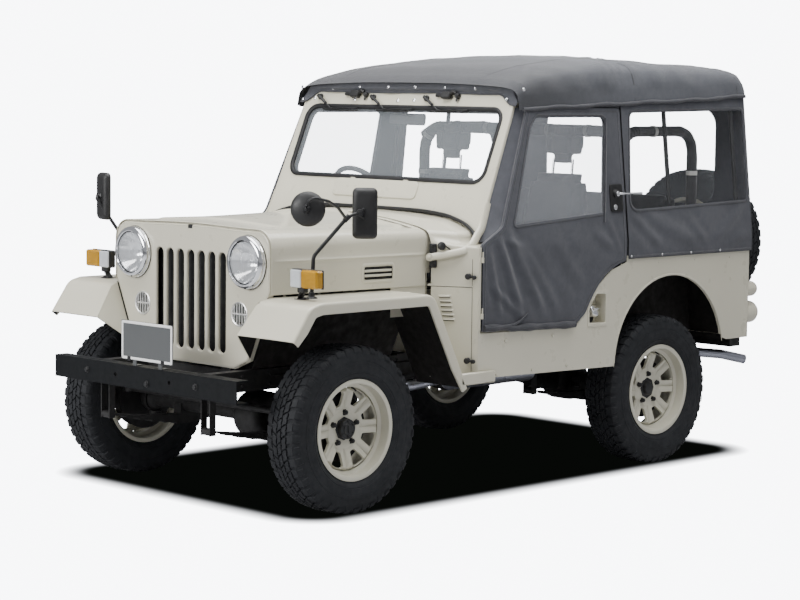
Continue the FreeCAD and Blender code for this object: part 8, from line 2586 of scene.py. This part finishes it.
def body_side():
    """Rolled arch lips, dark underseal in the wheel houses, side bolts, sill hooks and the corner seams."""
    outer_x, house_x, frame_x = 0.806, 0.5925, 0.372
    house_rear_y, foot_z = 1.3145, 0.5725
    lips = []
    centre_y, centre_z = 0.880, 0.500
    r = 0.418
    line = []
    for i in range(49):
        a = math.radians(-1 + 182 * i / 48)
        line.append((centre_y - r * math.cos(a), centre_z + r * math.sin(a)))
    line = [(y, z) for y, z in line if z > (0.507 if y < centre_y else 0.600)]
    for side in (1, -1):
        rows = []
        for y, z in line:
            way = Vector((y - centre_y, z - centre_z)).normalized()
            rows.append([(side * (PANEL_X + 0.0002), y + way.x * 0.010, z + way.y * 0.010),
                         (side * (PANEL_X + 0.0028), y + way.x * 0.007, z + way.y * 0.007),
                         (side * (PANEL_X + 0.0030), y + way.x * 0.001, z + way.y * 0.001),
                         (side * (PANEL_X + 0.0012), y - way.x * 0.0015, z - way.y * 0.0015),
                         (side * (PANEL_X - 0.014), y - way.x * 0.0015, z - way.y * 0.0015)])
        lips.append(rings(rows, loop=False))
    piece("arch_lips", merge(*lips), MAT["cream"], angle=50, closed=False)
    seal_parts = []
    y0, y1, top = 0.4530, 1.3070, 0.9450
    shape = [(y0 + 0.001, 0.604), (y0 + 0.0225, top - 0.0800), (y0 + 0.083, top - 0.001),
             (y1 - 0.083, top - 0.001), (y1 - 0.0225, top - 0.0800), (y1 - 0.001, 0.604)]
    for side in (1, -1):
        tunnel = rings([[(side * x, y, z) for y, z in shape] for x in (house_x, 0.700, outer_x)], loop=False)
        wall = ([(side * house_x, y, z) for y, z in shape], [tuple(range(len(shape)))])
        seal_parts.append(tunnel)
        seal_parts.append(wall)
        back = [(side * x, house_rear_y, z) for x, z in ((frame_x, foot_z), (outer_x, foot_z),
                                                         (outer_x, 0.604), (frame_x, 0.604))]
        seal_parts.append((back, [(0, 1, 2, 3)]))
        foot = [(side * x, y, 0.6025) for x, y in ((0.592, 1.300), (outer_x, 1.300), (outer_x, 1.3155),
                                                   (0.592, 1.3155))]
        seal_parts.append((foot, [(0, 1, 2, 3)]))
        floor_under = [(side * x, y, 0.5985) for x, y in ((frame_x, house_rear_y), (outer_x, house_rear_y),
                                                          (outer_x, 1.498), (frame_x, 1.498))]
        seal_parts.append((floor_under, [(0, 1, 2, 3)]))
    piece("wheel_house_underseal", merge(*seal_parts), MAT["under_fender"],
          closed=False)
    hooks = []
    for y in (-0.30, 0.02):
        hooks.append(disc_on((PANEL_X + 0.0004, y, 0.682), (1, 0, 0), [(0.0, 0.009), (0.004, 0.0085),
                                                                       (0.006, 0.005), (0.006, 0.0)], 16))
    for y in (0.50, 0.78, 1.06, 1.34):
        hooks.append(disc_on((PANEL_X + 0.0004, y, 0.985), (1, 0, 0), [(0.0, 0.0050), (0.002, 0.0045),
                                                                       (0.003, 0.0)], 12))
    for y in (-0.36, -0.12, 0.12, 0.36):
        hooks.append(bolt((PANEL_X + 0.0004, y, 0.535), (1, 0, 0), 0.010, 0.005))
    piece("side_bolts", both(merge(*hooks)), MAT["cream"])
    beads = []
    seam = [(PANEL_X + 0.0002, 1.470, z) for z in spread(0.580, 1.020, 8)]
    beads.append(ridge_on(seam, 0.006, 0.0014, (1, 0, 0)))
    corner = [(outer_x, 1.4985, z) for z in spread(0.578, 1.022, 10)]
    beads.append(tube(corner, 0.0042, 10))
    piece("body_corner_beads", both(merge(*beads)), MAT["cream"], closed=False)


def rear_end():
    """Ribs, latch and hinge straps of the tailgate, carrier bolts, reflectors and a towing hook."""
    gate_y = 1.5050
    ribs = []
    facing_back = Matrix(((-1, 0, 0, 0), (0, 0, 1, 1.5046), (0, 1, 0, 0), (0, 0, 0, 1)))
    for x in (-0.56, -0.34, -0.12):
        ribs.append(moved(pressed(oval(0.040, 0.135, 0.036, 6, (-x, 0.818)), [(0.0, -0.0004), (0.005, 0.0045),
                                                                              (0.012, 0.0060),
                                                                              (0.02, 0.0062)]), facing_back))
        inner = dish(oval(0.022, 0.117, 0.018, 6, (-x, 0.818)), [(0.0, 0.0062), (0.004, 0.0050)])
        ribs.append(moved(inner, facing_back))
    piece("tailgate_ribs", merge(*ribs), MAT["cream"], "tailgate", closed=False)
    straps = []
    for z in (0.700, 0.930):
        straps.append(block(-0.648, -0.520, gate_y, 1.5105, z - 0.016, z + 0.016, 0.002))
        for x in (-0.61, -0.555):
            straps.append(bolt((x, 1.5105, z), (0, 1, 0), 0.012, 0.006))
    piece("tailgate_straps", merge(*straps), MAT["cream"], "tailgate")
    latch = [block(-0.100, -0.035, gate_y, 1.5170, 0.800, 0.850, 0.004)]
    latch.append(tube(bent_line([(-0.067, 1.516, 0.825), (-0.067, 1.5340, 0.825), (-0.115, 1.5400, 0.815)],
                                0.012), 0.0065, 12))
    piece("tailgate_latch", merge(*latch), MAT["black"], "tailgate")
    carrier = []
    for x in (0.330, 0.412):
        for z in (0.822, 0.900, 0.985, 1.075):
            carrier.append(bolt((x, 1.5366, z), (0, 1, 0), 0.014, 0.009))
    for i in range(5):
        a = 2 * math.pi * i / 5 + 0.3
        carrier.append(bolt((SPARE[0] + 0.0575 * math.cos(a), 1.5845, SPARE[2] + 0.0575 * math.sin(a)),
                            (0, 1, 0), 0.018, 0.012))
    piece("carrier_bolts", merge(*carrier), MAT["black"])
    glow = []
    for side in (1, -1):
        glow.append(disc_on((side * 0.700, 1.5008, 0.905), (0, 1, 0), [(0.0, 0.030), (0.005, 0.029),
                                                                       (0.007, 0.026), (0.008, 0.0)], 28))
    piece("rear_reflectors", merge(*glow), MAT["red"])
    hook = [block(-0.045, 0.045, 1.4820, 1.4920, 0.510, 0.590, 0.004)]
    hook.append(tube(bent_line([(0, 1.490, 0.535), (0, 1.5150, 0.535), (0, 1.5180, 0.570),
                                (0, 1.4990, 0.575)], 0.02), 0.0105, 12))
    for dx in (-0.032, 0.032):
        for z in (0.524, 0.576):
            hook.append(bolt((dx, 1.4920, z), (0, 1, 0), 0.012, 0.006))
    piece("rear_hook", merge(*hook), MAT["under"])


def exhaust():
    """The silencer and pipes in dull steel with seams, clamps and an open end."""
    z = 0.482
    x = 0.455
    rear = [(x, 0.240, z), (x, 0.480, z), (0.470, 0.640, 0.535), (0.480, 1.020, 0.535), (0.540, 1.240, 0.500),
            (0.690, 1.440, 0.480), (0.745, 1.565, 0.449)]
    line = bent_line(rear, 0.115, 8)
    shapes = [tube(line, 0.024, 22, caps=False)]
    end = line[-1]
    way = (line[-1] - line[-2]).normalized()
    shapes.append(disc_on(end, way, [(-0.030, 0.0205), (0.0, 0.0205), (0.0004, 0.024), (-0.002, 0.0242)], 24))
    front = bent_line([(0.225, -0.850, 0.640), (0.255, -0.850, 0.640), (0.275, -0.700, 0.470),
                       (x, -0.560, 0.462), (x, -0.300, z)], 0.06, 8)
    shapes.append(tube(front, 0.024, 20))
    shapes.append(disc_on((x, -0.312, z), (0, 1, 0), [(0.0, 0.024), (0.004, 0.050), (0.012, 0.059),
                                                      (0.016, 0.0605), (0.020, 0.0590), (0.542, 0.0590),
                                                      (0.546, 0.0605), (0.550, 0.059), (0.558, 0.050),
                                                      (0.562, 0.024)], 34))
    for y in (0.300, 0.520, 1.110):
        at_z = z if y < 0.6 else 0.522
        at_x = x if y < 0.6 else 0.505
        shapes.append(disc_on((at_x, y, at_z), (0.0 if y < 0.6 else 0.28, 1, 0.0 if y < 0.6 else -0.12),
                              [(0.0, 0.024), (0.001, 0.0275), (0.016, 0.0275), (0.017, 0.024)], 20))
    piece("exhaust_line", merge(*shapes), MAT["pipe"], closed=False, replaces="exhaust")
    # painted shade: a dark disc inside the pipe's open end
    inside_end = disc_on(end - way * 0.026, way, [(0.0, 0.0), (0.0002, 0.0203)], 20)
    piece("exhaust_bore_shade", inside_end, MAT["dark"], closed=False)
    strap = [block(0.371, x, -0.062, -0.018, z + 0.046, z + 0.061, 0.003)]
    strap.append(block(0.371, 0.470, 1.018, 1.042, 0.553, 0.562, 0.002))
    piece("exhaust_hangers", merge(*strap), MAT["under"], replaces="exhaust")


def underside():
    """Brake pipes with their clips along the frame, and the frame's rivets."""
    frame_x, pipe_x = 0.3712, 0.376
    pipes = []
    for side in (1, -1):
        run = bent_line([(side * pipe_x, -1.30, 0.565), (side * pipe_x, -0.40, 0.560),
                         (side * 0.3765, 0.40, 0.560), (side * pipe_x, 1.30, 0.565)], 0.05)
        pipes.append(tube(run, 0.0036, 8))
        for y in (-1.1, -0.7, -0.3, 0.1, 0.5, 0.9, 1.2):
            pipes.append(block(side * frame_x, side * 0.3812, y - 0.007, y + 0.007, 0.554, 0.571, 0.001))
    piece("brake_pipes", merge(*pipes), MAT["under"])
    rivets = []
    for side in (1, -1):
        for y in (-1.56, -1.48, -1.32, -1.05, -0.55, -0.15, 0.33, 0.60, 1.00, 1.36, 1.44):
            for z in (0.530, 0.572):
                rivets.append(disc_on((side * frame_x, y, z), (side, 0, 0), [(0.0, 0.007), (0.002, 0.0065),
                                                                            (0.0045, 0.004), (0.005, 0.0)],
                                      10))
    piece("frame_rivets", merge(*rivets), MAT["under"])


# Camera, light and floor
WORLD_STRENGTH = 0.40
BACKDROP = 9.0
BACKDROP_TONE = (0.940, 0.960, 1.0)
# painted shadow: the dark tone and the soft rounded box that the floor shows to the camera under the car
PAINTED_SHADOW_TONE = (0.0004, 0.0005, 0.0004)
TOP_POWER = 590.0
KEY_POWER = 20.0
FRONT_POWER = 460.0
SHADE_X = -0.055
SHADE_Y = 0.01
SHADE_HALF_X = 0.905
SHADE_HALF_Y = 1.530
SHADE_ROUND = 0.24
SHADE_BLUR = 0.10


def camera():
    """The photograph's own view."""
    sy, cy = math.sin(CAMERA_YAW), math.cos(CAMERA_YAW)
    sp, cp = math.sin(CAMERA_PITCH), math.cos(CAMERA_PITCH)
    forward = Vector((-sy * cp, cy * cp, -sp))
    right = forward.cross(Vector((0, 0, 1))).normalized()
    up = right.cross(forward)
    sr, cr = math.sin(CAMERA_ROLL), math.cos(CAMERA_ROLL)
    right, up = right * cr + up * sr, up * cr - right * sr
    data = bpy.data.cameras.new("camera")
    data.sensor_width = SENSOR_WIDTH
    data.sensor_fit = "HORIZONTAL"
    data.lens = FOCAL_PIXELS / IMAGE_WIDTH * SENSOR_WIDTH
    data.clip_end = 200.0
    item = bpy.data.objects.new("camera", data)
    bpy.context.scene.collection.objects.link(item)
    turn = Matrix((right, up, -forward)).transposed().to_4x4()
    item.matrix_world = Matrix.Translation(CAMERA_PLACE) @ turn
    bpy.context.scene.camera = item


def soft_box(name, place, aim, size, power, colour=(1, 1, 1)):
    """A rectangular lamp at a place, aimed at a point."""
    data = bpy.data.lights.new(name, "AREA")
    data.shape = "RECTANGLE"
    data.size, data.size_y = size
    data.energy = power
    data.color = colour
    item = bpy.data.objects.new(name, data)
    bpy.context.scene.collection.objects.link(item)
    way = Vector(aim) - Vector(place)
    item.matrix_world = Matrix.Translation(place) @ way.to_track_quat("-Z", "Y").to_matrix().to_4x4()
    return item


def studio():
    """A pale floor that runs out of sight with a painted shadow under the car, a bright room and three soft
    boxes.
    """
    floor_mesh = mesh_of([(-60, -60, 0), (60, -60, 0), (60, 60, 0), (-60, 60, 0)], [(0, 1, 2, 3)])
    floor = bpy.data.objects.new("floor", floor_mesh)
    bpy.context.scene.collection.objects.link(floor)
    n = Nodes("floor_pale_painted_shadow")
    split = n.add("ShaderNodeSeparateXYZ")
    n.join(n.place, split.inputs[0])
    over = []
    for axis, middle, half in (("X", SHADE_X, SHADE_HALF_X), ("Y", SHADE_Y, SHADE_HALF_Y)):
        off = n.math("ABSOLUTE", n.math("SUBTRACT", split.outputs[axis], middle))
        over.append(n.math("MAXIMUM", n.math("SUBTRACT", off, half - SHADE_ROUND), 0.0))
    corner = n.math("SQRT", n.math("ADD", n.math("MULTIPLY", over[0], over[0]), n.math("MULTIPLY", over[1],
                                                                                       over[1])))
    # painted shadow: 1 inside the rounded box under the car, fading to 0 outside it
    shade = n.spread(n.math("SUBTRACT", corner, SHADE_ROUND), -SHADE_BLUR, SHADE_BLUR * 0.7, 1.0, 0.0)
    soft = n.math("SUBTRACT", 1.0, n.math("POWER", n.math("SUBTRACT", 1.0, shade), 3.0))
    tone = n.blend(n.noise(0.8, 2.0), (0.46, 0.462, 0.475), (0.48, 0.482, 0.495))
    material = n.finish(tone, roughness=0.95, specular_ior_level=0.0)
    # the floor seen by the camera glows with the backdrop tone, blended to the dark tone inside the painted
    # shadow
    glow = n.add("ShaderNodeEmission")
    n.join(n.blend(soft, BACKDROP_TONE, PAINTED_SHADOW_TONE), glow.inputs["Color"])
    glow.inputs["Strength"].default_value = BACKDROP
    choice = n.add("ShaderNodeMixShader")
    n.join(n.add("ShaderNodeLightPath").outputs["Is Camera Ray"], choice.inputs[0])
    n.join(n.shader.outputs[0], choice.inputs[1])
    n.join(glow.outputs[0], choice.inputs[2])
    n.join(choice.outputs[0], n.out.inputs[0])
    floor_mesh.materials.append(material)
    world = bpy.data.worlds.new("room")
    bpy.context.scene.world = world
    world.use_nodes = True
    nodes = world.node_tree.nodes
    links = world.node_tree.links
    nodes["Background"].inputs[0].default_value = (0.93, 0.94, 0.97, 1.0)
    nodes["Background"].inputs[1].default_value = WORLD_STRENGTH
    backdrop = nodes.new("ShaderNodeBackground")
    backdrop.inputs[0].default_value = (*BACKDROP_TONE, 1.0)
    backdrop.inputs[1].default_value = BACKDROP
    path = nodes.new("ShaderNodeLightPath")
    choice = nodes.new("ShaderNodeMixShader")
    links.new(path.outputs["Is Camera Ray"], choice.inputs[0])
    links.new(nodes["Background"].outputs[0], choice.inputs[1])
    links.new(backdrop.outputs[0], choice.inputs[2])
    links.new(choice.outputs[0], nodes["World Output"].inputs[0])
    soft_box("top_light", (0.5, -0.6, 5.2), (0.0, 0.0, 0.6), (6.0, 5.0), TOP_POWER)
    soft_box("key_light", (6.5, 1.5, 4.2), (0.5, 0.0, 0.9), (3.5, 3.0), KEY_POWER)
    soft_box("front_light", (-1.5, -8.0, 3.2), (0.0, -1.2, 0.9), (4.0, 2.5), FRONT_POWER)


def dress_frame():
    """Give each construction node that shows its own finish."""
    finishes = {
        "chassis_frame": "under", "front_axle": "under", "rear_axle": "under", "leaf_springs": "under",
        "shock_absorbers": "under", "knuckle_left": "under", "knuckle_right": "under",
        "tie_rod": "under", "driveline": "under", "engine": "engine", "radiator": "core",
        "exhaust": "pipe", "front_bumper": "bumper", "number_plate": "plate",
        "tub_floor": "cream_inside", "wheel_houses": "cream_inside", "side_panels": "cream",
        "rear_panel": "cream", "cowl": "cream", "hood": "cream", "grille": "cream",
        "front_fenders": "cream", "windscreen_frame": "cream", "tailgate": "cream",
        "headlamps": "chrome", "headlamp_lenses": "lamp_glass", "windscreen_glass": "glass",
        "steering_column": "black", "steering_wheel": "plastic", "door_left": "canvas",
        "door_right": "canvas", "door_window_left": "vinyl", "door_window_right": "vinyl",
        "soft_top": "canvas_roof_painted_shade", "top_windows": "vinyl", "roll_bar": "pad", "top_bows": "black",
        "seats": "seat", "mirrors": "black", "turn_signals": "amber", "tail_lamps": "cream",
        "spare_bracket": "black", "spare_wheel": "wheel", "spare_tyre": "tyre",
    }
    for name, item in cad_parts.items():
        material = MAT[finishes.get(name, "tyre" if name.startswith("tyre") else "wheel")]
        item.data.materials.clear()
        item.data.materials.append(material)


def main():
    """Builds every piece, then the camera and the room."""
    dress_frame()
    wheels()
    nose()
    headlamps()
    turn_lamps()
    hood()
    fenders()
    bumper_details()
    cowl()
    windscreen()
    soft_top()
    doors()
    door_frames()
    gap_flaps()
    front_seats()
    rear_bench()
    roll_bar()
    steering()
    dash()
    cabin_trim()
    mirrors()
    rear_lamps()
    filler()
    body_side()
    rear_end()
    exhaust()
    underside()
    camera()
    studio()


main()
